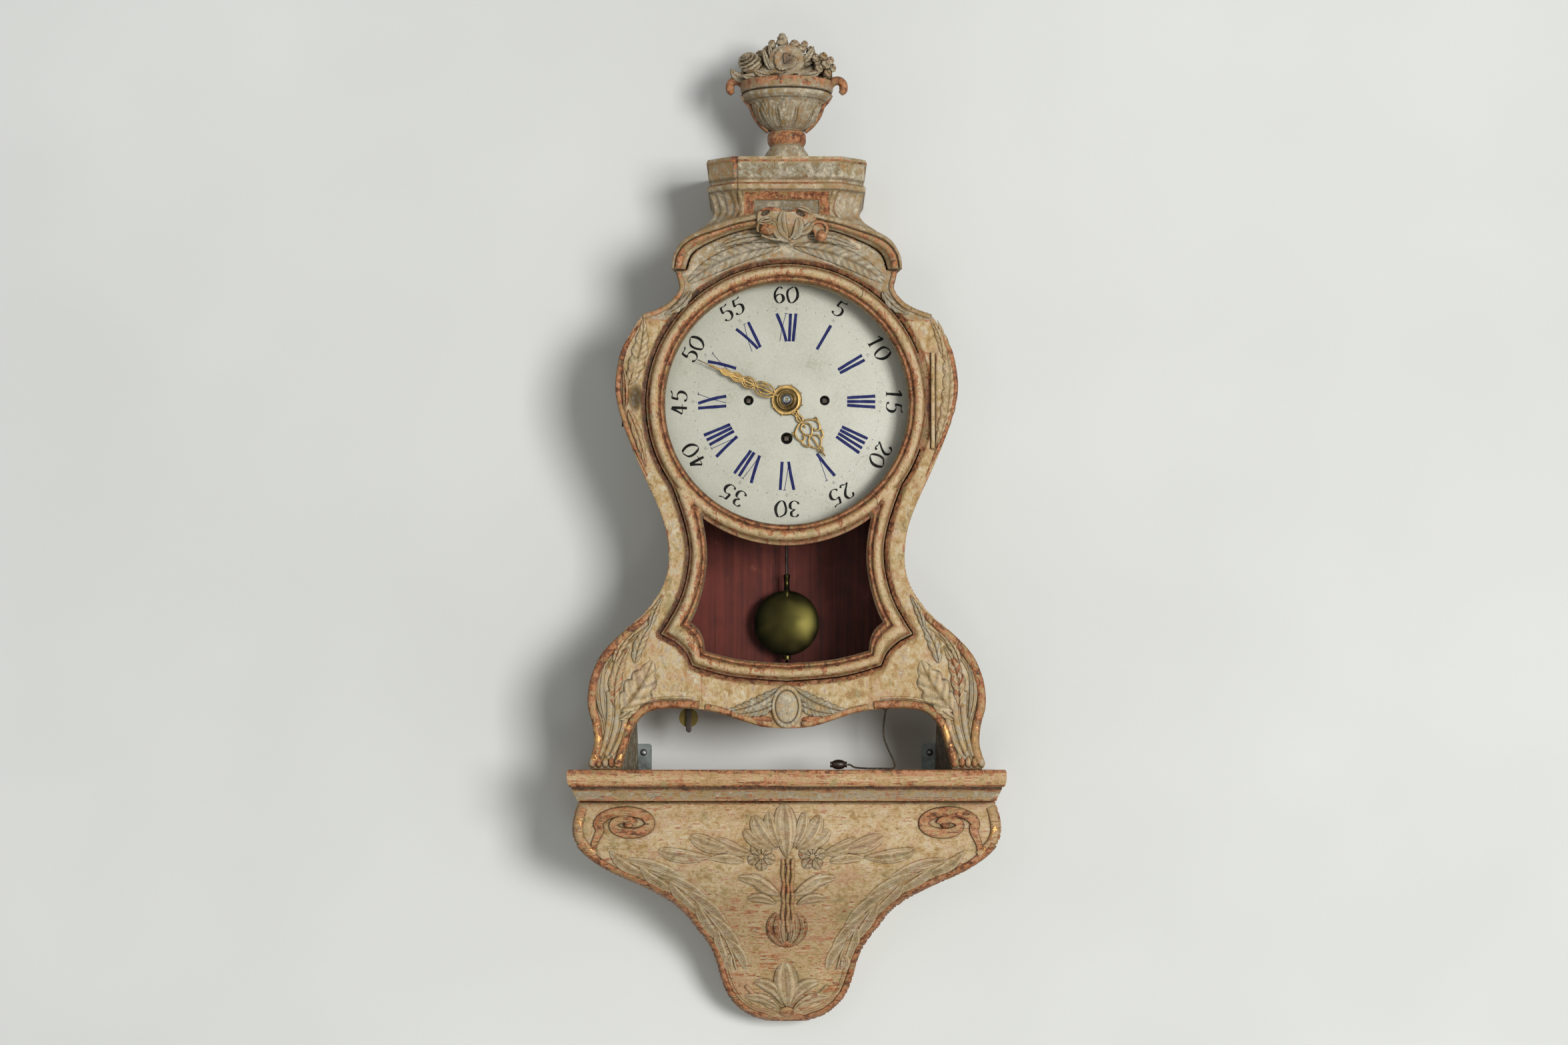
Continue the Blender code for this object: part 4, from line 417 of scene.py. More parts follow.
def add_roll(shape, surface, run, half, rise, section=9, quirk=0.0, square=1.0, sink=0.0006, **marks):
    """A half round moulding along a run, flat on top where square is over 1; quirk darkens its sides as
    painted shade.
    """
    run = np.asarray(run, float)
    count = len(run)
    half = np.broadcast_to(half, (count,))
    rise = np.broadcast_to(rise, (count,))
    turn = np.linspace(np.pi, 0.0, section)
    aside = sideways(run)
    spot = run[:, None, :] + aside[:, None, :] * (half[:, None] * np.cos(turn)[None, :])[..., None]
    lift = rise[:, None] * np.clip(square * np.sin(turn), 0, 1)[None, :]
    lift = lift - sink * (np.abs(np.cos(turn)) > 0.98)[None, :]
    y = surface(spot[..., 0], spot[..., 1]) - lift
    found = {mark: np.broadcast_to(np.asarray(value, float).reshape(-1, 1), (count, section))
             if np.ndim(value) else value for mark, value in marks.items()}
    found["dark"] = np.clip(found.get("dark", 0.0) + quirk * (np.abs(np.cos(turn)) ** 6)[None, :]
                            * np.ones((count, 1)), 0, 1)
    shape.grid(spatial(spot, y), facing=(0, -1, 0), **found)


def add_boss(shape, surface, centre, radius, rise, stretch=1.0, **marks):
    turn = np.linspace(0, 2 * np.pi, 25)[:-1]
    share = np.linspace(0, 1, 8)
    x = centre[0] + radius * share[:, None] * np.cos(turn)[None, :]
    z = centre[1] + stretch * radius * share[:, None] * np.sin(turn)[None, :]
    y = surface(x, z) - rise * np.sqrt(np.clip(1 - share ** 2, 0, 1))[:, None] + 0.0005 * (share > 0.99)[:,
                                                                                                         None]
    shape.grid(np.stack((x, y, z), -1), round_columns=True, facing=(0, -1, 0), **marks)


def add_rosette(shape, surface, centre, radius, petals, rise, phase=0.0, **marks):
    for ring, (reach, start) in enumerate(((1.0, 0.24), (0.66, 0.10))):
        for k in range(petals):
            turn = 2 * math.pi * (k + 0.5 * ring) / petals + phase
            way = np.array((math.cos(turn), math.sin(turn)))
            add_leaf(shape, surface, centre + way * radius * start, centre + way * radius * reach,
                     2.2 * radius * reach / petals * 2.0, rise=rise * (0.8 + 0.35 * ring), veins=2,
                     steps=12, across=9, **marks)
    add_boss(shape, surface, centre, 0.26 * radius, 1.15 * rise, **marks)


# Materials
class Paint:
    """A material's node tree, with short names for the nodes it is made of."""

    def __init__(self, name):
        self.material = bpy.data.materials.new(name)
        self.material.use_nodes = True
        self.tree = self.material.node_tree
        self.shader = self.tree.nodes["Principled BSDF"]
        self.place = self.node("ShaderNodeTexCoord").outputs["Object"]

    def node(self, kind, **settings):
        made = self.tree.nodes.new(kind)
        for key, value in settings.items():
            setattr(made, key, value)
        return made

    def put(self, socket, value):
        if isinstance(value, bpy.types.NodeSocket):
            self.tree.links.new(value, socket)
        else:
            socket.default_value = value

    def set(self, **values):
        for key, value in values.items():
            self.put(self.shader.inputs[key.replace("_", " ")], value)

    def noise(self, scale, detail=4.0, rough=0.6, stretch=(1, 1, 1), warp=0.0):
        spot = self.node("ShaderNodeMapping")
        self.put(spot.inputs["Vector"], self.place)
        spot.inputs["Scale"].default_value = stretch
        made = self.node("ShaderNodeTexNoise")
        self.put(made.inputs["Vector"], spot.outputs["Vector"])
        for key, value in (("Scale", scale), ("Detail", detail), ("Roughness", rough),
                           ("Distortion", warp)):
            made.inputs[key].default_value = value
        return made.outputs["Fac"]

    def cells(self, scale):
        made = self.node("ShaderNodeTexVoronoi", feature="DISTANCE_TO_EDGE")
        self.put(made.inputs["Vector"], self.place)
        made.inputs["Scale"].default_value = scale
        return made.outputs["Distance"]

    def sum(self, operation, a, b, clamp=False):
        made = self.node("ShaderNodeMath", operation=operation, use_clamp=clamp)
        self.put(made.inputs[0], a)
        self.put(made.inputs[1], b)
        return made.outputs["Value"]

    def add(self, *terms):
        """The sum of socket times weight over all terms."""
        total = None
        for socket, weight in terms:
            part = self.sum("MULTIPLY", socket, weight)
            total = part if total is None else self.sum("ADD", total, part)
        return total

    def band(self, value, low, high, top=1.0):
        made = self.node("ShaderNodeMapRange", interpolation_type="SMOOTHSTEP")
        self.put(made.inputs["Value"], value)
        made.inputs["From Min"].default_value = low
        made.inputs["From Max"].default_value = high
        made.inputs["To Max"].default_value = top
        return made.outputs["Result"]

    def mark(self, name):
        return self.node("ShaderNodeAttribute", attribute_name=name).outputs["Fac"]

    def ramp(self, value, *stops):
        made = self.node("ShaderNodeValToRGB")
        self.put(made.inputs["Fac"], value)
        row = made.color_ramp.elements
        while len(row) < len(stops):
            row.new(0.5)
        for element, (place, colour) in zip(row, stops):
            element.position = place
            element.color = (*colour, 1.0)
        return made.outputs["Color"]

    def mix(self, share, a, b):
        made = self.node("ShaderNodeMix", data_type="RGBA")
        self.put(made.inputs["Factor"], share)
        for socket, value in ((made.inputs["A"], a), (made.inputs["B"], b)):
            self.put(socket, (*value, 1.0) if isinstance(value, tuple) else value)
        return made.outputs["Result"]

    def bump(self, height, depth, strength=1.0):
        made = self.node("ShaderNodeBump")
        made.inputs["Distance"].default_value = depth
        made.inputs["Strength"].default_value = strength
        self.put(made.inputs["Height"], height)
        self.put(self.shader.inputs["Normal"], made.outputs["Normal"])

    def see_through(self, share):
        """Let a share of the rays straight through the surface."""
        clear = self.node("ShaderNodeBsdfTransparent")
        choose = self.node("ShaderNodeMixShader")
        self.put(choose.inputs["Fac"], share)
        self.put(choose.inputs[1], self.shader.outputs["BSDF"])
        self.put(choose.inputs[2], clear.outputs["BSDF"])
        self.put(self.tree.nodes["Material Output"].inputs["Surface"], choose.outputs["Shader"])


def colour(red, green, blue):
    """A linear colour from the sRGB values that the eye reads in a photograph."""
    return tuple(((v / 255 + 0.055) / 1.055) ** 2.4 if v > 10 else v / 255 / 12.92
                 for v in (red, green, blue))


CREAM = colour(206, 180, 138)
STRAW = colour(186, 156, 108)
OCHRE = colour(166, 130, 82)
CHALK = colour(214, 198, 166)
BOLE = colour(136, 82, 56)
ORANGE = colour(176, 116, 70)
PINK = colour(190, 146, 114)
OLIVE = colour(150, 138, 96)
BROWN = colour(88, 56, 36)
GREY_GREEN = colour(142, 134, 106)
GREY = colour(160, 153, 136)
# UMBER is the dark brown of dark joints and of painted shade in the hollows
UMBER = colour(46, 33, 22)
GOLD = colour(198, 156, 96)


def carved_paint(name, stretch, flecks, pale=CREAM, body=STRAW, scrape=0.30, hollow_shade=0.9):
    """Old scraped paint on carved wood: patchy ground, red bole on worn ridges, painted shade in the hollows.
    """
    paint = Paint(name)
    broad = paint.noise(11, 4, 0.6)
    patch = paint.noise(70, 6, 0.72, warp=0.7)
    fine = paint.noise(430, 5, 0.78)
    soft = paint.band(patch, 0.36, 0.64)
    blot = paint.band(paint.noise(170, 5, 0.70, warp=0.5), 0.38, 0.62)
    streak = paint.band(paint.noise(1.0, 5, 0.72, stretch, 0.4), 0.38, 0.62)
    other = paint.noise(38, 5, 0.7, (1, 1, 1.3), 0.5)
    shade = paint.add((broad, 0.30), (soft, 0.22), (blot, 0.22), (streak, 0.18), (fine, 0.14))
    ground = paint.ramp(shade, (0.30, OCHRE), (0.44, body), (0.57, pale), (0.72, CHALK))
    ground = paint.mix(paint.band(paint.add((other, 0.7), (fine, 0.3)), 0.52, 0.60, 0.50), ground, PINK)
    ground = paint.mix(paint.band(paint.add((other, 0.7), (patch, 0.3)), 0.46, 0.38, 0.60), ground, OLIVE)
    ground = paint.mix(paint.sum("MULTIPLY", paint.mark("pale"), 0.42), ground, CHALK)
    scuffs = paint.add((streak, 0.55), (blot, 0.25), (soft, 0.20))
    ground = paint.mix(paint.band(scuffs, 0.70, 0.84, flecks), ground, BOLE)
    ground = paint.mix(paint.band(paint.add((fine, 0.6), (patch, 0.4)), 0.44, 0.36, 0.75), ground, BROWN)
    greyed = paint.band(paint.add((paint.mark("grey"), 1.0), (soft, 0.32), (blot, 0.32)), 0.55, 0.80, 0.85)
    ash = paint.ramp(paint.add((fine, 0.5), (blot, 0.25), (soft, 0.25)), (0.30, BROWN), (0.42, GREY_GREEN),
                     (0.56, GREY), (0.74, CHALK))
    ground = paint.mix(greyed, ground, ash)
    worn = paint.add((paint.mark("bole"), 1.0), (soft, 0.30), (blot, 0.35), (streak, scrape), (fine, 0.25))
    worn = paint.band(worn, 1.20, 1.38)
    earth = paint.ramp(paint.add((blot, 0.30), (other, 0.40), (fine, 0.30)), (0.34, BROWN), (0.46, BOLE),
                       (0.58, ORANGE), (0.70, PINK))
    ground = paint.mix(worn, ground, earth)
    leafed = paint.band(paint.add((paint.mark("gilt"), 1.0), (soft, 0.35), (blot, 0.35)), 0.72, 0.82)
    ground = paint.mix(leafed, ground, GOLD)
    # Ambient occlusion paints shade into hollows and crevices; with the dark mark it mixes the ground towards
    # umber
    hollow = paint.node("ShaderNodeAmbientOcclusion", samples=6)
    hollow.inputs["Distance"].default_value = 0.006
    sunk = paint.band(hollow.outputs["AO"], 0.82, 0.35)
    joints_and_shade = paint.sum("MAXIMUM", paint.mark("dark"), paint.sum("MULTIPLY", sunk, hollow_shade))
    joints_and_shade = paint.sum("MULTIPLY", joints_and_shade, paint.band(fine, 0.15, 0.55), True)
    ground = paint.mix(paint.sum("MULTIPLY", joints_and_shade, 0.92), ground, UMBER)
    inside = paint.ramp(paint.add((patch, 0.6), (fine, 0.4)), (0.4, colour(54, 20, 16)),
                        (0.6, colour(98, 44, 36)))
    ground = paint.mix(paint.mark("inner"), ground, inside)
    paint.set(Base_Color=ground, Metallic=paint.sum("MULTIPLY", leafed, 0.6), Specular_IOR_Level=0.22,
              Roughness=paint.add((leafed, -0.34), (fine, 0.25), (worn, -0.14), (broad, 0.9)))
    paint.bump(paint.add((patch, 0.40), (blot, 0.08), (fine, 0.35), (streak, 0.08)), 0.0015, 0.80)
    return paint.material


def red_paint():
    """The thin red paint of the interior, brushed upright and scuffed pale in patches."""
    paint = Paint("red_interior")
    grain = paint.noise(1.0, 4, 0.60, (210, 210, 5), 0.2)
    patch = paint.noise(40, 5, 0.7, warp=0.6)
    fine = paint.noise(420, 3)
    ground = paint.ramp(paint.add((grain, 0.6), (patch, 0.4)), (0.36, colour(64, 22, 16)),
                        (0.50, colour(92, 36, 26)), (0.64, colour(112, 48, 36)))
    scuff = paint.band(paint.add((patch, 0.7), (fine, 0.3)), 0.60, 0.68, 0.5)
    paint.set(Base_Color=paint.mix(scuff, ground, colour(150, 90, 66)), Roughness=0.62,
              Specular_IOR_Level=0.20)
    paint.bump(paint.add((grain, 0.6), (patch, 0.4)), 0.0006, 0.5)
    return paint.material


def bare_wood():
    """Undecorated old softwood of the inside and the back, with growth rings drawn out upright."""
    paint = Paint("bare_wood")
    grain = paint.noise(1.0, 6, 0.62, (120, 120, 7), 0.6)
    patch = paint.noise(30, 4)
    fine = paint.noise(700, 3)
    ground = paint.ramp(paint.add((grain, 0.75), (patch, 0.25)), (0.34, colour(72, 50, 32)),
                        (0.50, colour(128, 96, 64)), (0.66, colour(168, 134, 94)))
    paint.set(Base_Color=ground, Roughness=0.78)
    paint.bump(paint.add((grain, 0.7), (fine, 0.3)), 0.0006, 0.6)
    return paint.material


def metal(name, deep, bright, rough, tarnish=0.5, brush=(60, 60, 60)):
    """Aged metal: brightness and gloss vary with tarnish, and fine scratches run with the brush."""
    paint = Paint(name)
    patch = paint.noise(70, 5, 0.65, warp=0.5)
    fine = paint.noise(20, 4, 0.7, brush)
    shade = paint.add((patch, 0.6), (fine, 0.4))
    paint.set(Base_Color=paint.ramp(shade, (0.5 - 0.3 * tarnish, deep), (0.62, bright)), Metallic=1.0,
              Roughness=paint.add((patch, 0.5 * tarnish), (fine, 0.2), (shade, rough)))
    paint.bump(fine, 0.00015, 0.35)
    return paint.material


def enamel():
    """The dial's painted ground: warm white with fine cracks, specks and a little yellowing."""
    paint = Paint("dial_ground")
    broad = paint.noise(22, 4)
    fine = paint.noise(520, 4, 0.7)
    speck = paint.noise(260, 2, 0.8)
    crack = paint.band(paint.add((paint.cells(330), 1.0), (fine, 0.06)), 0.055, 0.025, 0.30)
    ground = paint.ramp(paint.add((broad, 0.4), (fine, 0.6)), (0.36, colour(176, 172, 154)),
                        (0.46, colour(190, 187, 171)), (0.64, colour(200, 198, 184)))
    ground = paint.mix(crack, ground, colour(140, 132, 108))
    ground = paint.mix(paint.band(speck, 0.66, 0.73, 0.55), ground, colour(120, 108, 84))
    paint.set(Base_Color=ground, Roughness=paint.add((fine, 0.25), (broad, 0.5)), Coat_Weight=0.15)
    paint.bump(paint.add((fine, 0.5), (crack, -0.5)), 0.0002, 0.5)
    return paint.material


def ink(name, deep, worn):
    """Numeral paint, thin enough that the ground shows through its streaks."""
    paint = Paint(name)
    fine = paint.noise(420, 4, 0.7)
    patch = paint.noise(120, 3)
    paint.set(Base_Color=paint.ramp(paint.add((fine, 0.6), (patch, 0.4)), (0.46, deep), (0.70, worn)),
              Roughness=0.6, Specular_IOR_Level=0.10)
    return paint.material


def glass():
    """Old window glass; shadow and diffuse rays go straight through, so what lies behind is lit once."""
    paint = Paint("old_glass")
    paint.set(Base_Color=(0.97, 0.985, 0.975, 1.0), Roughness=0.0, IOR=1.08, Transmission_Weight=1.0)
    path = paint.node("ShaderNodeLightPath")
    paint.see_through(paint.sum("MAXIMUM", path.outputs["Is Shadow Ray"], path.outputs["Is Diffuse Ray"]))
    return paint.material


def twine():
    paint = Paint("cord_twine")
    ply = paint.noise(900, 3, 0.6, (1, 1, 0.35))
    paint.set(Base_Color=paint.ramp(ply, (0.4, colour(44, 38, 30)), (0.6, colour(92, 82, 64))),
              Roughness=0.9)
    paint.bump(ply, 0.0004, 0.8)
    return paint.material


def dark_wood():
    paint = Paint("ebonised_wood")
    grain = paint.noise(1.0, 4, 0.6, (90, 700, 700))
    paint.set(Base_Color=paint.ramp(grain, (0.4, colour(24, 17, 13)), (0.66, colour(62, 42, 30))),
              Roughness=0.4)
    paint.bump(grain, 0.0003, 0.5)
    return paint.material


FRONT_PAINT = carved_paint("front_paint", (110, 60, 34), 0.55, colour(200, 174, 130), colour(184, 154, 106))
DOOR_PAINT = carved_paint("door_paint", (150, 80, 60), 0.35)
BRACKET_PAINT = carved_paint("bracket_paint", (48, 60, 400), 0.66, colour(204, 179, 138),
                             colour(186, 157, 112), scrape=0.42, hollow_shade=0.6)
SHELF_PAINT = carved_paint("shelf_paint", (22, 60, 460), 0.70, body=colour(186, 154, 106), scrape=0.42)
CREST_PAINT = carved_paint("crest_paint", (60, 60, 90), 0.45, colour(180, 158, 122), colour(162, 137, 98))
URN_PAINT = carved_paint("urn_paint", (70, 70, 50), 0.25, pale=colour(178, 160, 130),
                         body=colour(158, 138, 108))
SIDE_PAINT = carved_paint("side_paint", (200, 90, 26), 0.18, pale=colour(150, 144, 118),
                          body=colour(126, 120, 94))
RED_PAINT = red_paint()
BARE_WOOD = bare_wood()
BRASS = metal("aged_brass", colour(84, 74, 40), colour(142, 126, 74), 0.36, 0.55)
BOB_BRASS = metal("bob_brass", colour(39, 35, 14), colour(55, 50, 22), 0.46, 0.10, (30, 30, 30))
DARK_BRASS = metal("dark_brass", colour(54, 46, 24), colour(104, 90, 48), 0.40, 0.55)
GILT = metal("gilt_brass", colour(66, 50, 28), colour(152, 124, 76), 0.40, 0.6)
STEEL = metal("old_steel", colour(70, 70, 72), colour(150, 152, 154), 0.36, 0.5)
ZINC = metal("plated_steel", colour(68, 72, 70), colour(122, 127, 124), 0.38, 0.45, (300, 300, 8))
IRON = metal("dark_iron", colour(30, 26, 24), colour(74, 66, 60), 0.50, 0.6)
ENAMEL = enamel()
BLUE_INK = ink("hour_blue", colour(27, 31, 82), colour(55, 61, 118))
BLACK_INK = ink("minute_black", colour(12, 11, 10), colour(36, 33, 30))
GLASS = glass()
TWINE = twine()
DARK_WOOD = dark_wood()


# Camera, light and stage
scene = bpy.context.scene
scene.view_settings.view_transform = "Standard"


def link(made):
    scene.collection.objects.link(made)
    return made


def point_at(made, place, aim):
    made.location = place
    made.rotation_euler = (Vector(aim) - made.location).to_track_quat("-Z", "Y").to_euler()


def add_camera():
    view = bpy.data.cameras.new("photo_view")
    view.lens = 88
    view.sensor_width = 36
    camera = link(bpy.data.objects.new("photo_view", view))
    point_at(camera, (0, -4.0, LIFT), (-0.0027, FRONT, 0.3278))
    scene.camera = camera


def add_light(name, place, aim, size, power):
    lamp = bpy.data.lights.new(name, "AREA")
    lamp.size = size
    lamp.energy = power
    point_at(link(bpy.data.objects.new(name, lamp)), place, aim)


def add_world(level):
    """Soft light all round, and a pale surrounding for what the camera, gloss and glass see."""
    world = bpy.data.worlds.new("studio")
    scene.world = world
    world.use_nodes = True
    nodes, links = world.node_tree.nodes, world.node_tree.links
    soft = nodes["Background"]
    soft.inputs["Color"].default_value = (0.97, 0.985, 1.0, 1.0)
    soft.inputs["Strength"].default_value = level
    shown = nodes.new("ShaderNodeBackground")
    shown.inputs["Color"].default_value = (0.80, 0.81, 0.80, 1.0)
    path = nodes.new("ShaderNodeLightPath")
    seen = path.outputs["Is Camera Ray"]
    for other in ("Is Glossy Ray", "Is Transmission Ray"):
        either = nodes.new("ShaderNodeMath")
        either.operation = "MAXIMUM"
        links.new(seen, either.inputs[0])
        links.new(path.outputs[other], either.inputs[1])
        seen = either.outputs["Value"]
    choose = nodes.new("ShaderNodeMixShader")
    links.new(seen, choose.inputs["Fac"])
    links.new(soft.outputs["Background"], choose.inputs[1])
    links.new(shown.outputs["Background"], choose.inputs[2])
    links.new(choose.outputs["Shader"], nodes["World Output"].inputs["Surface"])


def plaster(name, one_sided):
    """A pale plastered surface, seen from its front only where one_sided is set."""
    paint = Paint(name)
    broad = paint.noise(1.5, 3)
    fine = paint.noise(90, 4)
    paint.set(Base_Color=paint.ramp(broad, (0.35, colour(221, 222, 218)), (0.65, colour(229, 230, 226))),
              Roughness=0.9)
    paint.bump(fine, 0.0004, 0.2)
    if one_sided:
        paint.see_through(paint.node("ShaderNodeNewGeometry").outputs["Backfacing"])
    return paint.material


def add_plane(name, corners, look):
    mesh = bpy.data.meshes.new(name)
    mesh.from_pydata(corners, [], [(0, 1, 2, 3)])
    mesh.materials.append(look)
    made = link(bpy.data.objects.new(name, mesh))
    return made


def add_stage():
    wide, low, high, behind = 4.0, -0.95, 3.0, 0.0006
    wall = add_plane("wall", [(-wide, behind, low), (wide, behind, low), (wide, behind, high),
                              (-wide, behind, high)], plaster("wall_plaster", True))
    wall.visible_diffuse = False
    wall.visible_shadow = False
    add_plane("floor", [(-wide, -wide, low), (wide, -wide, low), (wide, wide, low), (-wide, wide, low)],
              plaster("floor_plaster", False))


add_camera()
add_world(0.27)
add_light("key", (3.5, -7.7, 0.62), (0.0, 0.0, 0.35), 2.4, 488)
add_light("fill", (-0.9, -3.6, 0.45), (0.05, 0.0, 0.15), 0.8, 3)
add_light("low", (0.15, -2.6, -0.55), (0.0, -0.1, 0.25), 0.25, 2)
add_stage()


# Turned and drawn shapes
def add_turned(shape, profile, centre, axis="Z", steps=64, ripple=None, closed=False, **marks):
    """A profile of radius and height turned about an axis; ripple gives a radius factor for row and angle."""
    profile = np.asarray(profile, float)
    turn = np.linspace(0, 2 * np.pi, steps + 1)[:-1]
    radius = profile[:, :1] * np.ones((1, steps))
    height = profile[:, 1:] * np.ones((1, steps))

    def place(r, h):
        a, b = r * np.cos(turn), r * np.sin(turn)
        return np.stack({"X": (h, a, b), "Y": (a, h, b), "Z": (a, b, h)}[axis], -1) + centre

    core = place(0 * radius + radius.mean(), 0 * height + height.mean()) if closed else place(0 * radius,
                                                                                              height)
    if ripple is not None:
        radius = radius * ripple(np.arange(len(profile))[:, None], turn[None, :])
    shape.grid(place(radius, height), round_rows=closed, round_columns=True, core=core, **marks)


def add_tube(shape, run, y, radius, depth, sides=8, **marks):
    """A rod drawn along a run in the x, z plane, oval in section where depth differs from radius."""
    run = np.asarray(run, float)
    count = len(run)
    radius = np.broadcast_to(radius, (count,))
    depth = np.broadcast_to(depth, (count,))
    turn = np.linspace(0, 2 * np.pi, sides + 1)[:-1]
    spot = run[:, None, :] + sideways(run)[:, None, :] * (radius[:, None] * np.cos(turn))[..., None]
    rows = spatial(spot, y + depth[:, None] * np.sin(turn))
    core = np.stack((run[:, 0], np.full(count, y), run[:, 1]), -1)[:, None, :] * np.ones((1, sides, 1))
    shape.grid(rows, round_columns=True, core=core, **marks)
    for end, beside in ((0, 1), (-1, -2)):
        way = run[end] - run[beside]
        shape.fan(rows[end], (way[0], 0, way[1]), **{k: v for k, v in marks.items() if not np.ndim(v)})


def add_swept(shape, first, second, section, ends=True, **marks):
    """A closed section of share and y, drawn between two runs; the share goes from first to second."""
    first, second = np.asarray(first, float), np.asarray(second, float)
    section = np.asarray(section, float)
    spot = first[:, None, :] + (second - first)[:, None, :] * section[None, :, :1]
    y = np.broadcast_to(section[:, 1], spot.shape[:2])
    rows = spatial(spot, y)
    core = row_middles(rows)
    found = {mark: np.tile(value, (len(first), 1)) if np.ndim(value) == 1 else value
             for mark, value in marks.items()}
    shape.grid(rows, round_columns=True, core=core, **found)
    if ends:
        for end, beside in ((0, 1), (-1, -2)):
            way = rows[end].mean(axis=0) - rows[beside].mean(axis=0)
            shape.fan(rows[end], tuple(way))


def resampled(run, count):
    run = np.asarray(run, float)
    length = np.concatenate(([0.0], np.cumsum(np.linalg.norm(np.diff(run, axis=0), axis=1))))
    wanted = np.linspace(0, length[-1], count)
    return np.column_stack([np.interp(wanted, length, run[:, k]) for k in range(run.shape[1])])


# Repeat cord and its toggle
CORD_X, CORD_Y = 0.101, 0.085
CORD_RADIUS = 0.001
TOGGLE = (0.0525, -0.110, 0.0053)
TOGGLE_LENGTH, TOGGLE_RADIUS = 0.017, 0.005


def add_cord():
    start, lie = FLOOR_UNDERSIDE - 0.0053, 0.0013
    end = TOGGLE[0] + TOGGLE_LENGTH / 2 + 0.0003
    run = smooth([(CORD_X, -CORD_Y, start), (CORD_X - 0.002, -CORD_Y, start * 0.75),
                  (CORD_X - 0.002, -CORD_Y - 0.001, start * 0.57), (CORD_X, -CORD_Y - 0.002, start * 0.44),
                  (CORD_X + 0.004, -CORD_Y - 0.003, start * 0.29),
                  (CORD_X + 0.008, -CORD_Y - 0.005, start * 0.14),
                  (CORD_X + 0.008, -CORD_Y - 0.010, lie * 1.3), (CORD_X - 0.004, -CORD_Y - 0.020, lie),
                  (CORD_X - 0.018, TOGGLE[1], lie), (end + 0.008, TOGGLE[1], lie + 0.001),
                  (end + 0.003, TOGGLE[1], TOGGLE_RADIUS), (end, TOGGLE[1], TOGGLE_RADIUS)], 3)
    run = run + (0, 0, LIFT)
    line = bpy.data.curves.new("repeat_cord_line", "CURVE")
    line.dimensions = "3D"
    line.bevel_depth = CORD_RADIUS
    line.bevel_resolution = 3
    line.use_fill_caps = True
    spline = line.splines.new("POLY")
    spline.points.add(len(run) - 1)
    spline.points.foreach_set("co", np.column_stack((run, np.ones(len(run)))).ravel())
    line.materials.append(TWINE)
    made = link(bpy.data.objects.new("repeat_cord_line", line))
    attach(made, "case")
    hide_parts("repeat_cord")
    long = TOGGLE_LENGTH / 2
    rounded = [(0.0, -long), (0.0026, -long), (0.0031, -0.94 * long), (0.0028, -0.78 * long),
               (0.0033, -0.70 * long), (0.0044, -0.45 * long), (TOGGLE_RADIUS, 0.0)]
    profile = smooth(rounded + [(r, -h) for r, h in rounded[-2::-1]], 4)
    shape = Shape()
    add_turned(shape, np.clip(profile, (0.0, -long), (TOGGLE_RADIUS, long)), TOGGLE, "X", 32)
    toggle = shape.build("turned_toggle", DARK_WOOD, "case", "dark_wood", ["cord_toggle"])
    length = np.linalg.norm(np.diff(run, axis=0), axis=1).sum()


add_cord()


# Bracket
def edge_wear(gap):
    return 0.62 * np.exp(-gap / 0.0022)


def add_shelf():
    shape = Shape()
    profile = np.array([(0.0022, 0.0), (0.0007, -0.0008), (0.0, -0.0030), (0.0, -0.0085), (0.0004, -0.0125),
                        (0.0014, -0.0155), (0.0026, -0.0170), (0.0045, -0.0174), (0.0045, -0.0192),
                        (0.0050, -0.0198), (0.0062, -0.0228), (0.0079, -0.0262), (0.0093, -0.0290),
                        (0.0095, -0.0300), (0.0095, -0.0310)])
    x, y = SHELF_HALF - profile[:, 0], -SHELF_DEPTH + profile[:, 0]
    side, wide = np.linspace(0, 1, 12), np.linspace(-1, 1, 41)
    left = np.stack((-x[:, None] + 0 * side, SHELF_REAR + (y[:, None] - SHELF_REAR) * side), -1)
    front = np.stack((x[:, None] * wide, y[:, None] + 0 * wide), -1)
    plan = np.concatenate((left, front[:, 1:-1], left[:, ::-1] * (-1, 1)), axis=1)
    height = np.repeat(profile[:, 1:], plan.shape[1], 1)
    rows = np.dstack((plan, height))
    bole = np.interp(profile[:, 1], (-0.031, -0.0285, -0.024, -0.0195, -0.017, -0.014, -0.008, -0.002, 0),
                     (0.8, 0.5, 0.25, 0.8, 0.8, 0.6, 0.45, 0.75, 0.95))
    # The fillet under the top moulding and the cove below it are painted darker as shade
    dark = np.interp(profile[:, 1], (-0.031, -0.0200, -0.0192, -0.0172, -0.016),
                     (0.15, 0.25, 1.0, 0.9, 0.0))
    grey = np.interp(profile[:, 1], (-0.0310, -0.0290, -0.0210, -0.0192), (0.15, 0.40, 0.40, 0.0))
    wide = rows.shape[1]
    middle = np.array((0.0, -SHELF_DEPTH / 2, -0.0155))
    shape.grid(rows, core=np.broadcast_to(middle, rows.shape), bole=np.repeat(bole[:, None], wide, 1),
               dark=np.repeat(dark[:, None], wide, 1), grey=np.repeat(grey[:, None], wide, 1))
    for row, facing in ((rows[0], (0, 0, 1)), (rows[-1], (0, 0, -1))):
        half, near = row[:, 0].max(), row[:, 1].min()
        over, along = np.linspace(-half, half, 30), np.linspace(near, SHELF_REAR, 14)
        plane = np.stack((*np.meshgrid(over, along), np.full((14, 30), row[0, 2])), -1)
        shape.grid(plane, facing=facing, grey=0.25, bole=0.15)
    back = np.stack((rows[:, 0], rows[:, -1]), 1)
    shape.grid(back, facing=(0, 1, 0), grey=0.4)
    shape.build("shelf_moulding", SHELF_PAINT, "case", "painted_wood", ["bracket_shelf"])


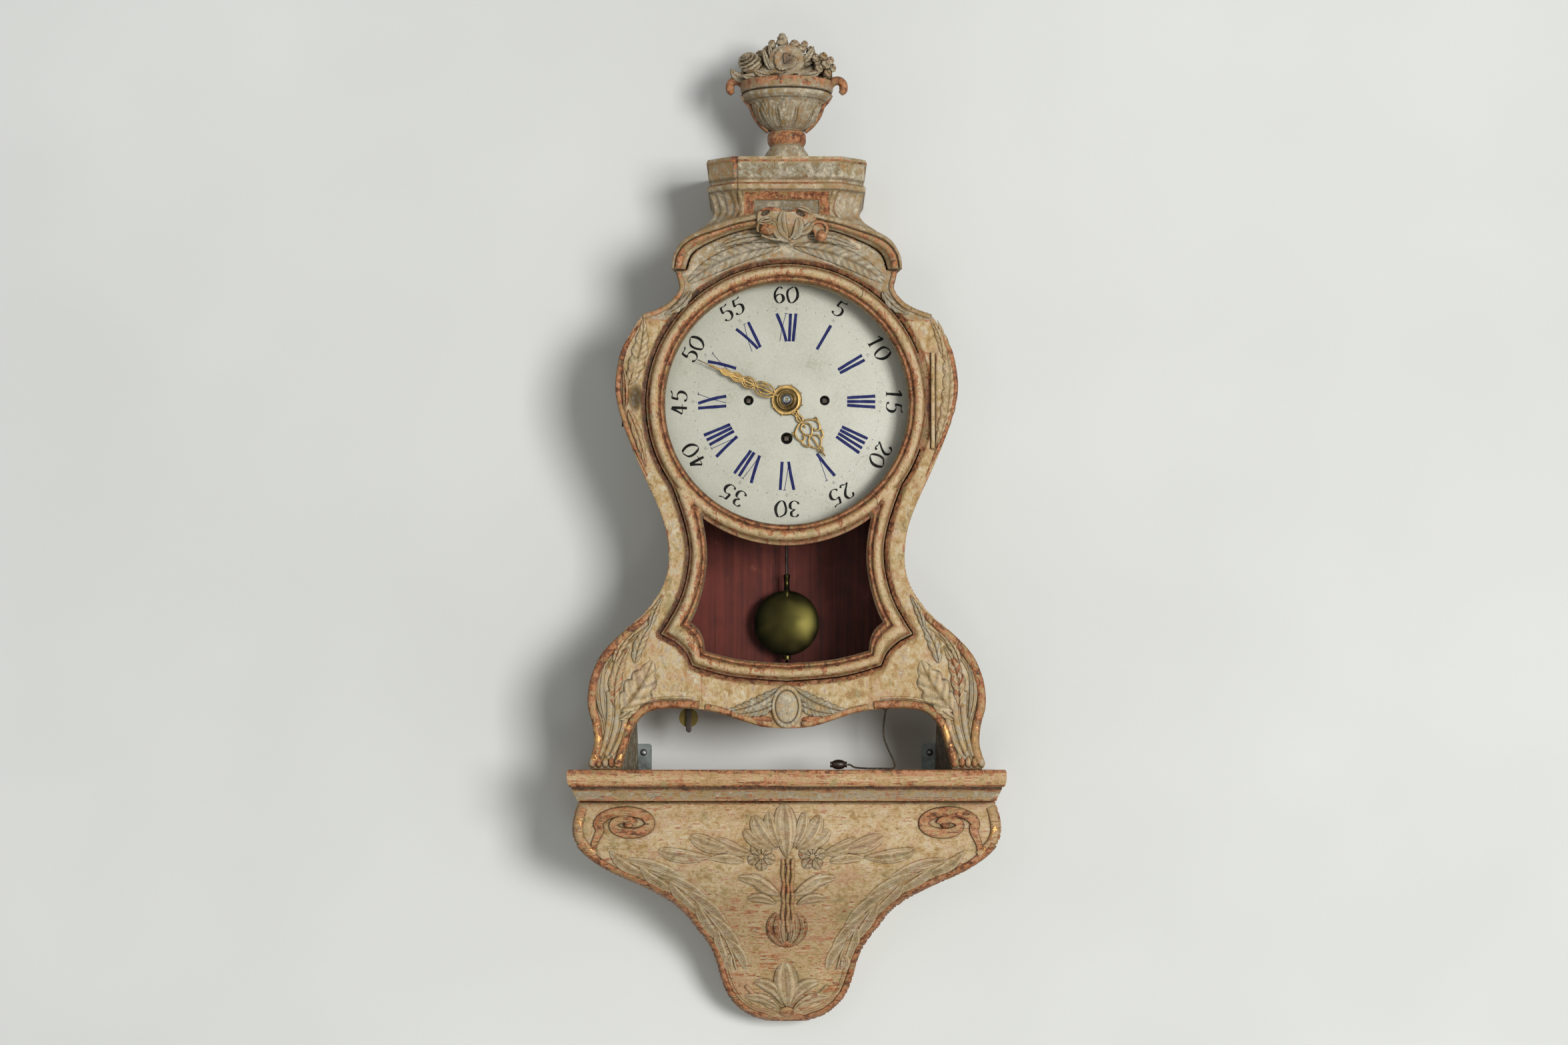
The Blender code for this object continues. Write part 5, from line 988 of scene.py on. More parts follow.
def mirror_leaves(shapes, surface, leaves, **common):
    """Leaves given for the right side, put on both sides; shapes holds the left and the right shape."""
    for sign, shape in zip((-1, 1), shapes):
        for base, tip, width, bend, more in leaves:
            add_leaf(shape, surface, (sign * base[0], base[1]), (sign * tip[0], tip[1]), width, sign * bend,
                     **{**common, **more})


def mirror_roll(shapes, surface, run, half, rise, **marks):
    for sign, shape in zip((-1, 1), shapes):
        add_roll(shape, surface, np.asarray(run) * (sign, 1), half, rise, **marks)


def add_shield():
    shape = Shape()
    outline = both_sides(shield_run[::-1])
    add_board(shape, [outline], shield_front, SHIELD_THICKNESS, 0.0022, arris=0.002, ripple=0.0003,
              bole=lambda x, z, gap: 0.28 + 0.45 * np.exp(-gap / 0.003)
              + 0.20 * np.clip((-0.09 - z) / 0.06, 0, 1), grey=0.10)
    both = (shape, shape)
    carve_volutes(both)
    carve_palmette(shape, both)
    carve_trunk(shape, both)
    carve_border(both)
    shape.build("carved_shield", BRACKET_PAINT, "case", "carved_wood", ["bracket_shield"])


def carve_volutes(both):
    """The edge roll that turns into a broad flat volute at each upper corner."""
    side = shield_run[shield_run[:, 1] < -0.076]
    thin = np.interp(side[:, 1], (-0.2575, -0.150, -0.100, -0.076), (0.0030, 0.0028, 0.0034, 0.0050))
    mirror_roll(both, shield_front, inset(side, -0.0040), thin, thin, bole=0.82, quirk=0.8)
    corner = shield_run[(shield_run[:, 1] > -0.092) & (shield_run[:, 1] < -0.034)]
    mirror_roll(both, shield_front, inset(corner, -0.0062), 0.0050, 0.0042, bole=0.58, gilt=0.20, quirk=0.6)
    lead = [(0.1935, -0.0850), (0.1925, -0.0740)]
    coil = spiral((0.1590, -0.0545), 0.0152, 0.0030, -25, 545, 80, 2.05)
    band = smooth(np.vstack((lead, coil[::4])), 5)
    share = np.linspace(0, 1, len(band))
    mirror_roll(both, shield_front, band, np.interp(share, (0, 0.12, 0.55, 1),
                                                    (0.0020, 0.0052, 0.0056, 0.0030)),
                np.interp(share, (0, 0.6, 1), (0.0030, 0.0040, 0.0052)), square=1.7, section=11, bole=0.70,
                gilt=0.06, quirk=1.0)
    for sign, shape in zip((-1, 1), both):
        add_boss(shape, shield_front, (sign * 0.1585, -0.0548), 0.0050, 0.0060, 0.8, bole=0.80)


def carve_palmette(shape, both):
    """A fan of broad ribbed leaves over two small blossoms."""
    ribbed = {"ribs": 2.5, "belly": 1.15, "across": 17, "blunt": 0.6}
    add_leaf(shape, shield_front, (0.0, -0.088), (-0.003, -0.033), 0.025, rise=0.0050, **ribbed)
    mirror_leaves(both, shield_front, [
        ((0.006, -0.078), (0.018, -0.041), 0.0140, -0.003, {"rise": 0.0040, **ribbed}),
        ((0.009, -0.079), (0.033, -0.045), 0.0180, -0.004, {"rise": 0.0050, **ribbed}),
        ((0.014, -0.079), (0.043, -0.059), 0.0140, -0.003, {"rise": 0.0042, **ribbed}),
        ((0.034, -0.084), (0.072, -0.068), 0.0150, -0.003, {"rise": 0.0036, **ribbed}),
        ((0.054, -0.080), (0.097, -0.065), 0.0175, -0.003, {"rise": 0.0036, **ribbed}),
        ((0.076, -0.087), (0.130, -0.080), 0.0155, -0.003, {"rise": 0.0032, **ribbed}),
        ((0.042, -0.092), (0.080, -0.089), 0.0110, 0.002, {"rise": 0.0030, "ribs": 1.5}),
    ], steps=26, bole=0.25)
    for sign in (-1, 1):
        add_rosette(shape, shield_front, np.array((sign * 0.0255, -0.0865)), 0.0150, 5, 0.0042, 0.3 * sign,
                    bole=0.40, grey=0.22, dark=0.12)


def carve_trunk(shape, both):
    """Three stems that rise from a round pot, with leaves half way up, and a tulip below."""
    for k in (-1, 0, 1):
        height = np.linspace(-0.089, -0.164, 36)
        wide = np.interp(height, (-0.164, -0.145, -0.120, -0.089), (0.0052, 0.0048, 0.0040, 0.0052))
        stem = np.column_stack((0.001 + k * wide + 0.0006 * np.sin(height * 300 + 2 * k), height))
        add_roll(shape, shield_front, stem, 0.0021, 0.0046 - 0.0008 * abs(k), bole=0.60, quirk=0.6)
    ribbed = {"ribs": 2.0, "belly": 1.1, "across": 15, "blunt": 0.6}
    mirror_leaves(both, shield_front, [
        ((0.006, -0.125), (0.036, -0.104), 0.0150, -0.003, {"rise": 0.0042, **ribbed}),
        ((0.006, -0.128), (0.050, -0.108), 0.0130, 0.005, {"rise": 0.0038, **ribbed}),
        ((0.010, -0.136), (0.040, -0.130), 0.0110, 0.004, {"rise": 0.0034, **ribbed}),
        ((0.004, -0.241), (0.034, -0.216), 0.0140, 0.007, {"rise": 0.0044, **ribbed}),
        ((0.006, -0.246), (0.044, -0.232), 0.0110, 0.005, {"rise": 0.0034, "bole": 0.4, **ribbed}),
    ], steps=26, bole=0.25)
    mirror_leaves(both, shield_front, [
        ((0.003, -0.1780), (0.0090, -0.1440), 0.0155, -0.0075, {"rise": 0.0050, "ribs": 1.5, "bole": 0.80}),
        ((0.002, -0.1765), (0.0040, -0.1500), 0.0095, -0.0030, {"rise": 0.0056, "ribs": 1.0, "bole": 0.55}),
    ], across=17, blunt=0.45, belly=1.0, dark=0.08)
    add_boss(shape, shield_front, (0.001, -0.1765), 0.0075, 0.0040, 0.55, bole=0.85)
    rim = np.column_stack((np.linspace(-0.042, 0.042, 50),
                           -0.2130 - 0.0345 * np.cos(np.linspace(-1.35, 1.35, 50))))
    add_roll(shape, shield_front, rim, 0.0022, 0.0020, bole=0.5, quirk=0.9)
    add_leaf(shape, shield_front, (0.001, -0.243), (-0.002, -0.196), 0.027, rise=0.0052, bole=0.2, **ribbed)
    add_boss(shape, shield_front, (0.0, -0.2475), 0.0085, 0.0046, 0.7, bole=0.75)


def carve_border(both):
    """Feathered leaves along the edge, greyed and a little darkened as painted shade, and a double line round
    the lower lobe.
    """
    inner = inset(shield_run, -0.0105)
    mirror_roll(both, shield_front, inner[inner[:, 1] < -0.150], 0.0012, 0.0012, bole=0.6, quirk=0.9)
    stem, near, far = (resampled(run[(run[:, 1] < -0.080) & (run[:, 1] > -0.205)], 12)
                       for run in (inset(shield_run, -0.0180), inset(shield_run, -0.0125),
                                   inset(shield_run, -0.0270)))
    leaves = [(stem[k], (near, far)[k % 2][min(k + 3, 11)], 0.0125, 0.004 * (-1) ** k, {})
              for k in range(11)]
    mirror_leaves(both, shield_front, leaves, rise=0.0022, ribs=1.5, belly=1.0, blunt=0.6, steps=30,
                  across=13, dark=0.06, grey=0.12, bole=0.30)
    mirror_roll(both, shield_front, stem, 0.0012, 0.0022, quirk=0.9, grey=0.16, dark=0.1)


# Case front
case_run = smooth(CASE_EDGE)
arch_run = smooth(ARCH_EDGE)
roof_inner_run = smooth(ROOF_INNER)
roof_outer_run = smooth(ROOF_OUTER)
bezel_middle = (0.0, BEZEL_CENTRE)


def door_half(hinged, spare=0.0):
    """The door's right outline from the bottom centre to the top, with spare room round it."""
    start = math.degrees(math.atan2(WAIST_EDGE[0][1] - BEZEL_CENTRE, WAIST_EDGE[0][0]))
    lower = joined(smooth(DOOR_BOTTOM)[::-1], smooth(EAR_EDGE)[::-1], smooth(WAIST_EDGE)[::-1])
    lower = inset(lower, -spare)
    lower[0, 0] = 0.0
    radius = BEZEL_RADIUS + spare
    if not hinged:
        return joined(lower, arc(bezel_middle, radius, start, 90, 60))
    low, high = (math.degrees(math.asin((z - BEZEL_CENTRE) / radius)) for z in (HINGE_LOW, HINGE_HIGH))
    edge = HINGE_JAMB if spare else HINGE_EDGE
    return joined(lower, arc(bezel_middle, radius, start, low, 10), [(edge, HINGE_LOW), (edge, HINGE_HIGH)],
                  arc(bezel_middle, radius, high, 90, 36))


opening = joined(door_half(True, DOOR_CLEARANCE), mirrored(door_half(False, DOOR_CLEARANCE)))
round_opening = resampled(np.vstack((door_half(False, DOOR_CLEARANCE),
                                     mirrored(door_half(False, DOOR_CLEARANCE)))), 700)


def from_opening(x, z):
    """How far a point of the front is from the door's opening."""
    spot = np.column_stack((np.ravel(x), np.ravel(z)))
    found = [np.linalg.norm(block[:, None, :] - round_opening[None], axis=-1).min(axis=1)
             for block in np.array_split(spot, max(1, len(spot) // 4000))]
    return np.concatenate(found).reshape(np.shape(x))


def dent(x, z):
    """The place on the left cheek where carving has broken away, as a share of its depth."""
    return np.exp(-(((x + 0.1530) / 0.0062) ** 2 + ((z - 0.3740) / 0.0130) ** 2) ** 2)


def front_surface(x, z):
    """The front with the hollow that runs round the door and the broken place on the left cheek."""
    gap = from_opening(x, z)
    return FRONT + 0.0024 * np.sqrt(np.clip(1 - (gap / 0.0050) ** 2, 0, 1)) + 0.0070 * dent(x, z)


def front_marks(grey):
    def bole(x, z, gap):
        hollow = from_opening(x, z)
        return np.clip(edge_wear(gap) + 0.50 * hump(hollow, -0.001, 0.0062) + 0.15, 0, 1)

    def dark(x, z, gap):
        # Painted shade in the hollow round the door: darker on the left, away from the light at the right,
        # and less dark near the bottom; the broken place on the left cheek is painted dark too
        left_shade = np.clip(0.66 - 2.4 * x, 0.30, 0.85) * np.interp(z, (0.095, 0.140), (0.55, 1.0))
        return left_shade * hump(from_opening(x, z), -0.001, 0.0052) + 0.95 * dent(x, z)

    return {"bole": bole, "dark": dark, "grey": grey}


def clipped(loop, axis, limit, above):
    """A loop cut by a line at x or z, keeping what is above or below it."""
    found = []
    sign = 1 if above else -1
    for a, b in zip(loop, np.roll(loop, -1, axis=0)):
        da, db = sign * (a[axis] - limit), sign * (b[axis] - limit)
        if da >= 0:
            found.append(a)
        if da * db < 0:
            found.append(a + (b - a) * da / (da - db))
    return np.array(found)


def front_loops(*cuts):
    top = roof_inner_run - (0, 0.0003)
    right = joined(arch_run, case_run, smooth(NECK_EDGE), [(top[-1][0], NECK_EDGE[-1][1])], top[::-1])
    loops = [both_sides(right), opening]
    for cut in cuts:
        loops = [clipped(loop, *cut) for loop in loops]
    return loops


def at_joint(x, z):
    return (np.abs(np.abs(x) - APRON_HALF) < 1e-4) | (np.abs(z - CREST_JOINT) < 1e-4)


def add_front():
    left, right, apron, crest = Shape(), Shape(), Shape(), Shape()
    low = (1, CREST_JOINT, False)
    middle = (1, BEZEL_CENTRE, False)
    for shape, cuts, grey in ((left, [(0, -APRON_HALF, False), low], 0.20),
                              (right, [(0, APRON_HALF, True), low], 0.14),
                              (apron, [(0, -APRON_HALF, True), (0, APRON_HALF, False), middle], 0.10),
                              (crest, [(1, CREST_JOINT, True)], 0.36)):
        add_board(shape, front_loops(*cuts), front_surface, FRONT_REAR - FRONT, 0.0016, flush=at_joint,
                  rear=FRONT_REAR, **front_marks(grey))
    carve_legs((left, right))
    carve_cheeks(left, right)
    carve_apron(apron)
    carve_crest(crest)
    left.build("stile_carving_left", FRONT_PAINT, "case", "painted_wood", ["front_stile_left"])
    right.build("stile_carving_right", FRONT_PAINT, "case", "painted_wood", ["front_stile_right"])
    apron.build("apron_carving", FRONT_PAINT, "case", "painted_wood", ["front_apron"])
    crest.build("crest_carving", CREST_PAINT, "case", "painted_wood", ["front_crest"])


def carve_legs(both):
    surface = flat(FRONT)
    outer = inset(case_run[(case_run[:, 1] > 0.004) & (case_run[:, 1] < 0.180)], 0.0046)
    fade = np.interp(outer[:, 1], (0.0, 0.012, 0.130, 0.180), (0.55, 1.0, 1.0, 0.2))
    gilding = np.interp(outer[:, 1], (0.008, 0.016, 0.036, 0.056), (0.08, 0.33, 0.32, 0.08))
    mirror_roll(both, surface, outer, 0.0044 * fade, 0.0040 * fade, bole=0.80, quirk=0.7, gilt=gilding)
    line = inset(case_run[(case_run[:, 1] > 0.012) & (case_run[:, 1] < 0.150)], 0.0118)
    mirror_roll(both, surface, line, 0.0013, 0.0010, dark=0.45, quirk=1.0)
    arch = inset(arch_run[arch_run[:, 0] > APRON_HALF + 0.0003], 0.0042)
    arch = arch[arch[:, 1] > 0.003]
    gilding = np.interp(arch[:, 1], (0.004, 0.012, 0.042, 0.058), (0.14, 0.32, 0.30, 0.10))
    mirror_roll(both, surface, arch, 0.0040, 0.0038, bole=0.84, quirk=0.7, gilt=gilding)
    inner = inset(arch_run[arch_run[:, 0] > 0.092], 0.0104)
    inner = inner[inner[:, 1] > 0.008]
    mirror_roll(both, surface, inner, 0.0013, 0.0014, bole=0.45, quirk=0.8)
    mirror_leaves(both, surface, [
        ((0.1670, 0.058), (0.1345, 0.110), 0.034, 0.004,
         {"rise": 0.0042, "lobes": 4, "veins": 5, "steps": 44, "across": 17}),
        ((0.1720, 0.062), (0.1570, 0.124), 0.016, -0.006, {"lobes": 4, "bole": 0.66, "steps": 36}),
        ((0.1690, 0.050), (0.1430, 0.078), 0.012, 0.004, {"lobes": 3, "bole": 0.4}),
        ((0.1820, 0.050), (0.1800, 0.112), 0.009, -0.006, {"ribs": 1.0, "grey": 0.3}),
        ((0.1520, 0.106), (0.1330, 0.148), 0.014, -0.004, {"lobes": 4, "grey": 0.35}),
        ((0.1730, 0.106), (0.1500, 0.140), 0.010, -0.004, {"lobes": 3, "bole": 0.5}),
        ((0.1370, 0.142), (0.1235, 0.174), 0.009, -0.002, {"lobes": 3, "grey": 0.35}),
    ], rise=0.0036)
    for k in range(3):
        low = (0.1752 + 0.0058 * k, 0.014)
        high = (0.1600 + 0.0088 * k, 0.068 + 0.005 * k)
        mirror_roll(both, surface, bezier(low, high, 0.004, 26), np.linspace(0.0024, 0.0038, 26), 0.0022,
                    quirk=0.55, bole=0.50 if k == 0 else 0.3, grey=0.38, gilt=0.16 if k == 0 else 0.0)
    for sign, shape in zip((-1, 1), both):
        for k, x in enumerate((0.1690, 0.1752, 0.1815, 0.1880, 0.1945)):
            add_boss(shape, surface, (sign * x, 0.0072), 0.0034, 0.0036, 1.6, bole=0.80 if k % 2 else 0.55,
                     grey=0.35)


def carve_cheeks(left, right):
    surface = flat(FRONT)
    for shape, sign in ((left, -1), (right, 1)):
        edge = inset(case_run[(case_run[:, 1] > 0.290) & (case_run[:, 1] < 0.452)], 0.0030)
        fade = np.interp(edge[:, 1], (0.290, 0.340, 0.420, 0.452), (0.15, 1, 1, 0.3))
        add_roll(shape, surface, edge * (sign, 1), 0.0028 * fade, 0.0022 * fade, bole=0.84, quirk=0.6)
    for base, tip, width, bend, more in (
            ((0.1500, 0.325), (0.1520, 0.452), 0.017, -0.013,
             {"lobes": 9, "veins": 17, "steps": 64, "rise": 0.0022}),
            ((0.1590, 0.345), (0.1630, 0.420), 0.009, -0.003, {"veins": 12, "bole": 0.55, "rise": 0.0018}),
            ((0.1570, 0.416), (0.1440, 0.4535), 0.009, -0.003, {"lobes": 3, "rise": 0.0024})):
        add_leaf(right, surface, base, tip, width, bend, **{"bole": 0.40, **more})
    for base, tip, width, bend, more in (
            ((-0.1600, 0.3860), (-0.1440, 0.4555), 0.019, -0.004,
             {"lobes": 5, "veins": 10, "steps": 52, "gilt": 0.10}),
            ((-0.1560, 0.3890), (-0.1470, 0.4200), 0.012, 0.003, {"lobes": 3, "bole": 0.5, "gilt": 0.16}),
            ((-0.1630, 0.3600), (-0.1655, 0.4080), 0.007, -0.002,
             {"ribs": 1.0, "bole": 0.75, "gilt": 0.12}),
            ((-0.1600, 0.3620), (-0.1410, 0.3020), 0.011, 0.002,
             {"lobes": 4, "bole": 0.70, "rise": 0.0030})):
        add_leaf(left, surface, base, tip, width, bend, **{"rise": 0.0040, "bole": 0.35, **more})


def carve_apron(apron):
    both = (apron, apron)
    base = inset(arch_run[arch_run[:, 0] < APRON_HALF - 0.0003], 0.0034)
    mirror_roll(both, flat(FRONT), base[base[:, 0] > 0.012], 0.0031, 0.0030, bole=0.72, quirk=0.6)
    mirror_leaves(both, flat(FRONT), [
        ((0.006, 0.082), (0.068, 0.0575), 0.015, -0.006, {"lobes": 8, "veins": 14, "steps": 52}),
        ((0.010, 0.067), (0.050, 0.0560), 0.014, -0.003, {"lobes": 5, "veins": 10, "steps": 40}),
    ], rise=0.0034, grey=0.5)
    for sign in (-1, 1):
        add_boss(apron, flat(FRONT), (sign * 0.0270, 0.0500), 0.0135, 0.0022, 0.30, bole=1.0)


def carve_crest(crest):
    """Long leaves that sweep from the cresting to both shoulders."""
    both = (crest, crest)
    mirror_leaves(both, flat(FRONT), [
        ((0.006, 0.5270), (0.100, 0.4900), 0.0200, 0.008,
         {"veins": 12, "steps": 60, "across": 17, "belly": 1.0, "blunt": 0.5}),
        ((0.020, 0.5370), (0.074, 0.5230), 0.0110, 0.004, {"lobes": 5, "veins": 9, "bole": 0.35}),
        ((0.096, 0.4820), (0.124, 0.4575), 0.0110, -0.004, {"lobes": 4, "bole": 0.35}),
    ], rise=0.0032, grey=0.42)
    neck = inset(smooth(NECK_EDGE)[:-3], 0.0030)
    mirror_roll(both, flat(FRONT), neck, 0.0026, 0.0024, bole=0.6, quirk=0.5)


# Applied carvings
def add_apron_shell():
    shape = Shape()
    centre, half = (0.0, 0.0630), (0.0150, 0.0215)
    seat = FRONT - 0.0003
    turn = np.linspace(0, 2 * np.pi, 97)[:-1]
    share = np.linspace(0, 1, 22)
    x = centre[0] + half[0] * share[:, None] * np.cos(turn)
    z = centre[1] + half[1] * share[:, None] * np.sin(turn)
    ring = 0.0020 * hump(share, 0.76, 1.0)[:, None] * (1 + 0.28 * np.cos(22 * turn))
    dome = 0.0040 * np.sqrt(np.clip(1 - (share / 0.76) ** 2, 0, 1))[:, None] * np.ones((1, 96))
    rough = 0.00035 * np.sin(x * 2300 + 3 * np.sin(z * 900)) * np.sin(z * 2100 + 2 * np.sin(x * 1100))
    rough = rough * (share < 0.7)[:, None]
    y = seat - 0.0030 - ring - dome - rough
    # Painted shade in the groove round the dome and on its rim
    groove = np.exp(-((share - 0.76) / 0.035) ** 2)[:, None] * np.ones((1, 96))
    shape.grid(np.stack((x, y, z), -1), round_columns=True, facing=(0, -1, 0), dark=0.95 * groove,
               grey=0.35, bole=0.5 * np.clip(share * 3 - 2.2, 0, 1)[:, None] * np.ones((1, 96)), pale=0.4)
    rim = np.stack((x[-1], y[-1], z[-1]), -1)
    back = np.column_stack((x[-1], np.full(96, seat), z[-1]))
    shape.grid(np.stack((rim, back)), round_columns=True,
               core=np.array((0, seat, centre[1])) * np.ones((2, 96, 3)), bole=0.4, dark=0.4)
    shape.fan(back, (0, 1, 0))
    shape.build("apron_cabochon", FRONT_PAINT, "case", "carved_wood", ["apron_shell"])


def add_cresting():
    """Scrolled leaves with two pierced eyes closed by a dark sheet as painted shade, a gilt swelling on the
    left and a curled knob on the right.
    """
    shape = Shape()
    loop = smooth([(0.0, 0.5300), (0.006, 0.5285), (0.011, 0.5335), (0.017, 0.5400), (0.023, 0.5430),
                   (0.0275, 0.5390), (0.0290, 0.5330), (0.0345, 0.5300), (0.0400, 0.5340), (0.0412, 0.5410),
                   (0.0375, 0.5480), (0.0300, 0.5530), (0.0245, 0.5600), (0.0175, 0.5645), (0.0100, 0.5640),
                   (0.0045, 0.5610), (0.0, 0.5605), (-0.0055, 0.5625), (-0.0130, 0.5650), (-0.0215, 0.5645),
                   (-0.0285, 0.5600), (-0.0300, 0.5535), (-0.0295, 0.5460), (-0.0265, 0.5385),
                   (-0.0200, 0.5335), (-0.0120, 0.5330), (-0.0050, 0.5320), (0.0, 0.5300)], 4)[:-1]
    ground = flat(-0.1752)
    turn = np.radians(np.arange(0, 360, 15))
    eyes = [np.column_stack((x + 0.0046 * np.cos(turn), z + 0.0026 * np.sin(turn) + slope * np.cos(turn)))
            for x, z, slope in ((-0.0215, 0.5590, 0.0016), (0.0140, 0.5585, -0.0018))]
    add_board(shape, [loop, *eyes], ground, 0.0044, 0.0012, arris=0.0016, grey=0.30,
              bole=lambda x, z, gap: np.clip(edge_wear(gap) + 0.55 * (z > 0.5600) + 0.45 * (x > 0.016), 0,
                                             0.85))
    # A dark sheet in each eye stands for the shade inside the hole
    for eye in eyes:
        shape.fan(np.column_stack((eye[:, 0], np.full(len(eye), -0.1722), eye[:, 1])), (0, -1, 0), dark=1.0)
    add_boss(shape, ground, (-0.0185, 0.5425), 0.0088, 0.0056, 0.80, bole=0.80, gilt=0.30)
    add_boss(shape, ground, (0.0352, 0.5360), 0.0052, 0.0052, 1.2, bole=0.82, gilt=0.12)
    for run, half, marks in (
            (spiral((-0.0185, 0.5430), 0.0108, 0.0100, 200, 0, 40), 0.0014, {"grey": 0.35}),
            (spiral((0.0335, 0.5410), 0.0098, 0.0050, 150, -100, 40), 0.0019, {"bole": 0.62}),
            (bezier((-0.0250, 0.5360), (0.0, 0.5320), -0.002, 24), 0.0016, {"grey": 0.35}),
            (bezier((0.0020, 0.5310), (0.0260, 0.5440), 0.003, 24), 0.0016, {"grey": 0.35})):
        add_roll(shape, ground, run, half, 0.0032, quirk=0.8, **marks)
    curled = {"ribs": 1.5, "belly": 0.9, "blunt": 0.5, "across": 15}
    for base, tip, width, bend, bole in (((0.0030, 0.5300), (-0.0100, 0.5530), 0.0130, 0.005, 0.35),
                                         ((0.0015, 0.5330), (-0.0030, 0.5615), 0.0105, 0.004, 0.25),
                                         ((0.0050, 0.5320), (0.0110, 0.5540), 0.0120, -0.004, 0.2),
                                         ((0.0110, 0.5380), (0.0250, 0.5500), 0.0095, -0.003, 0.3),
                                         ((0.0090, 0.5640), (0.0255, 0.5575), 0.0060, 0.002, 0.5),
                                         ((-0.0290, 0.5500), (-0.0120, 0.5530), 0.0070, -0.003, 0.6)):
        add_leaf(shape, ground, base, tip, width, bend, rise=0.0042, grey=0.32, bole=bole, **curled)
    shape.build("crown_cresting", CREST_PAINT, "case", "carved_wood", ["cresting"])


# Case sides, roof and cap
def skin(run, depths, sign):
    """A run of a side board at each depth, narrowed towards the wall."""
    return np.stack([np.column_stack((sign * run[:, 0] * taper(y), np.full(len(run), y), run[:, 1]))
                     for y in depths], 1)


def add_panel(shape, runs, depths, sign, edges, red):
    """Both faces of a side board, the edges named and both ends; red paints its inside above the floor, and
    the inner face is painted darker as shade.
    """
    for run, away, dark in zip(runs, (1, -1), (0.10, 0.50)):
        rows = skin(run, depths, sign)
        painted = (rows[..., 2] > FLOOR_UNDERSIDE) * 1.0 if red and away < 0 else 0.0
        shape.grid(rows, facing=(sign * away, 0, 0), grey=0.35, inner=painted, dark=dark)
    for y, facing in edges:
        shape.grid(np.hstack([skin(run, [y], sign) for run in runs]), facing=facing, grey=0.3)
    for end, facing in ((0, (0, 0, -1)), (-1, (0, 0, 1))):
        shape.grid(np.stack([skin(run, depths, sign)[end] for run in runs]), facing=facing, grey=0.3)


def add_sides():
    """The bent side boards, whose skirts run on below the floor to the wall."""
    points = [(CASE_EDGE[3][0], 0.0), *CASE_EDGE[4:-2], *SIDE_NECK]
    outer = inset(smooth(points, 5), SIDE_INSET)
    outer[0, 1], outer[-1, 1] = 0.0, SIDE_NECK[-1][1]
    inner = inset(outer, SIDE_THICKNESS)
    inner[0, 1], inner[-1, 1] = 0.0, SIDE_NECK[-1][1]
    depth = np.linspace(SIDE_FRONT, SIDE_BACK, 9)
    low = outer[:, 1] < FLOOR_UNDERSIDE - 0.0010
    reach = np.linspace(SIDE_BACK, SHELF_REAR, 4)
    for name, sign in (("left", -1), ("right", 1)):
        shape = Shape()
        add_panel(shape, (outer, inner), depth, sign, ((SIDE_FRONT, (0, -1, 0)), (SIDE_BACK, (0, 1, 0))),
                  True)
        add_panel(shape, (outer[low], inner[low]), reach, sign, ((SHELF_REAR, (0, 1, 0)),), False)
        shape.build(f"side_panel_{name}", SIDE_PAINT, "case", "grey_painted_wood", [f"case_side_{name}"])


def add_roof():
    shape = Shape()
    inner, outer = resampled(roof_inner_run, 60), resampled(roof_outer_run, 60)
    inner = np.vstack((mirrored(inner)[:-1], inner))
    outer = np.vstack((mirrored(outer)[:-1], outer))
    roll = [(0.30 - 0.17 * math.cos(a), -0.1680 - 0.0036 * math.sin(a)) for a in np.linspace(0.2, 2.95, 9)]
    front = [(0.0, -0.1625), (0.05, -0.1650), (0.11, -0.1668), *roll, (0.49, -0.1690), (0.54, -0.1708),
             (0.62, -0.1717), (0.76, -0.1708), (0.90, -0.1686), (1.0, -0.1660)]
    section = np.array([*front, *((1.0, y) for y in np.linspace(-0.155, BACK_REAR, 8)),
                        *((0.0, y) for y in np.linspace(BACK_REAR, -0.150, 8))])
    split = np.interp(np.abs(inner[:, :1]), (0.060, 0.098), (0.48, 0.74))
    share = np.where(section[None, :, 0] < 0.48, section[None, :, 0] * split / 0.48,
                     split + (section[None, :, 0] - 0.48) * (1 - split) / 0.52)
    spot = inner[:, None, :] + (outer - inner)[:, None, :] * share[..., None]
    y = np.broadcast_to(section[:, 1], spot.shape[:2])
    rows = np.stack((spot[..., 0] * taper(y), y, spot[..., 1]), -1)
    core = row_middles(rows)
    bole = np.full(len(section), 0.30)
    bole[3:12] = 0.72
    # The quirks beside the roll are painted darker as shade
    dark = np.zeros(len(section))
    dark[[2, 12]] = (0.35, 0.55)
    grey = np.where(section[:, 1] > -0.158, 0.45, 0.12)
    shape.grid(rows, round_columns=True, core=core, bole=np.tile(bole, (len(rows), 1)),
               dark=np.tile(dark, (len(rows), 1)), grey=np.tile(grey, (len(rows), 1)))
    shape.fan(rows[0], (0, 0, -1), grey=0.3)
    shape.fan(rows[-1], (0, 0, -1), grey=0.3)
    shape.build("arched_roof", CREST_PAINT, "case", "painted_wood", ["crown_roof"])


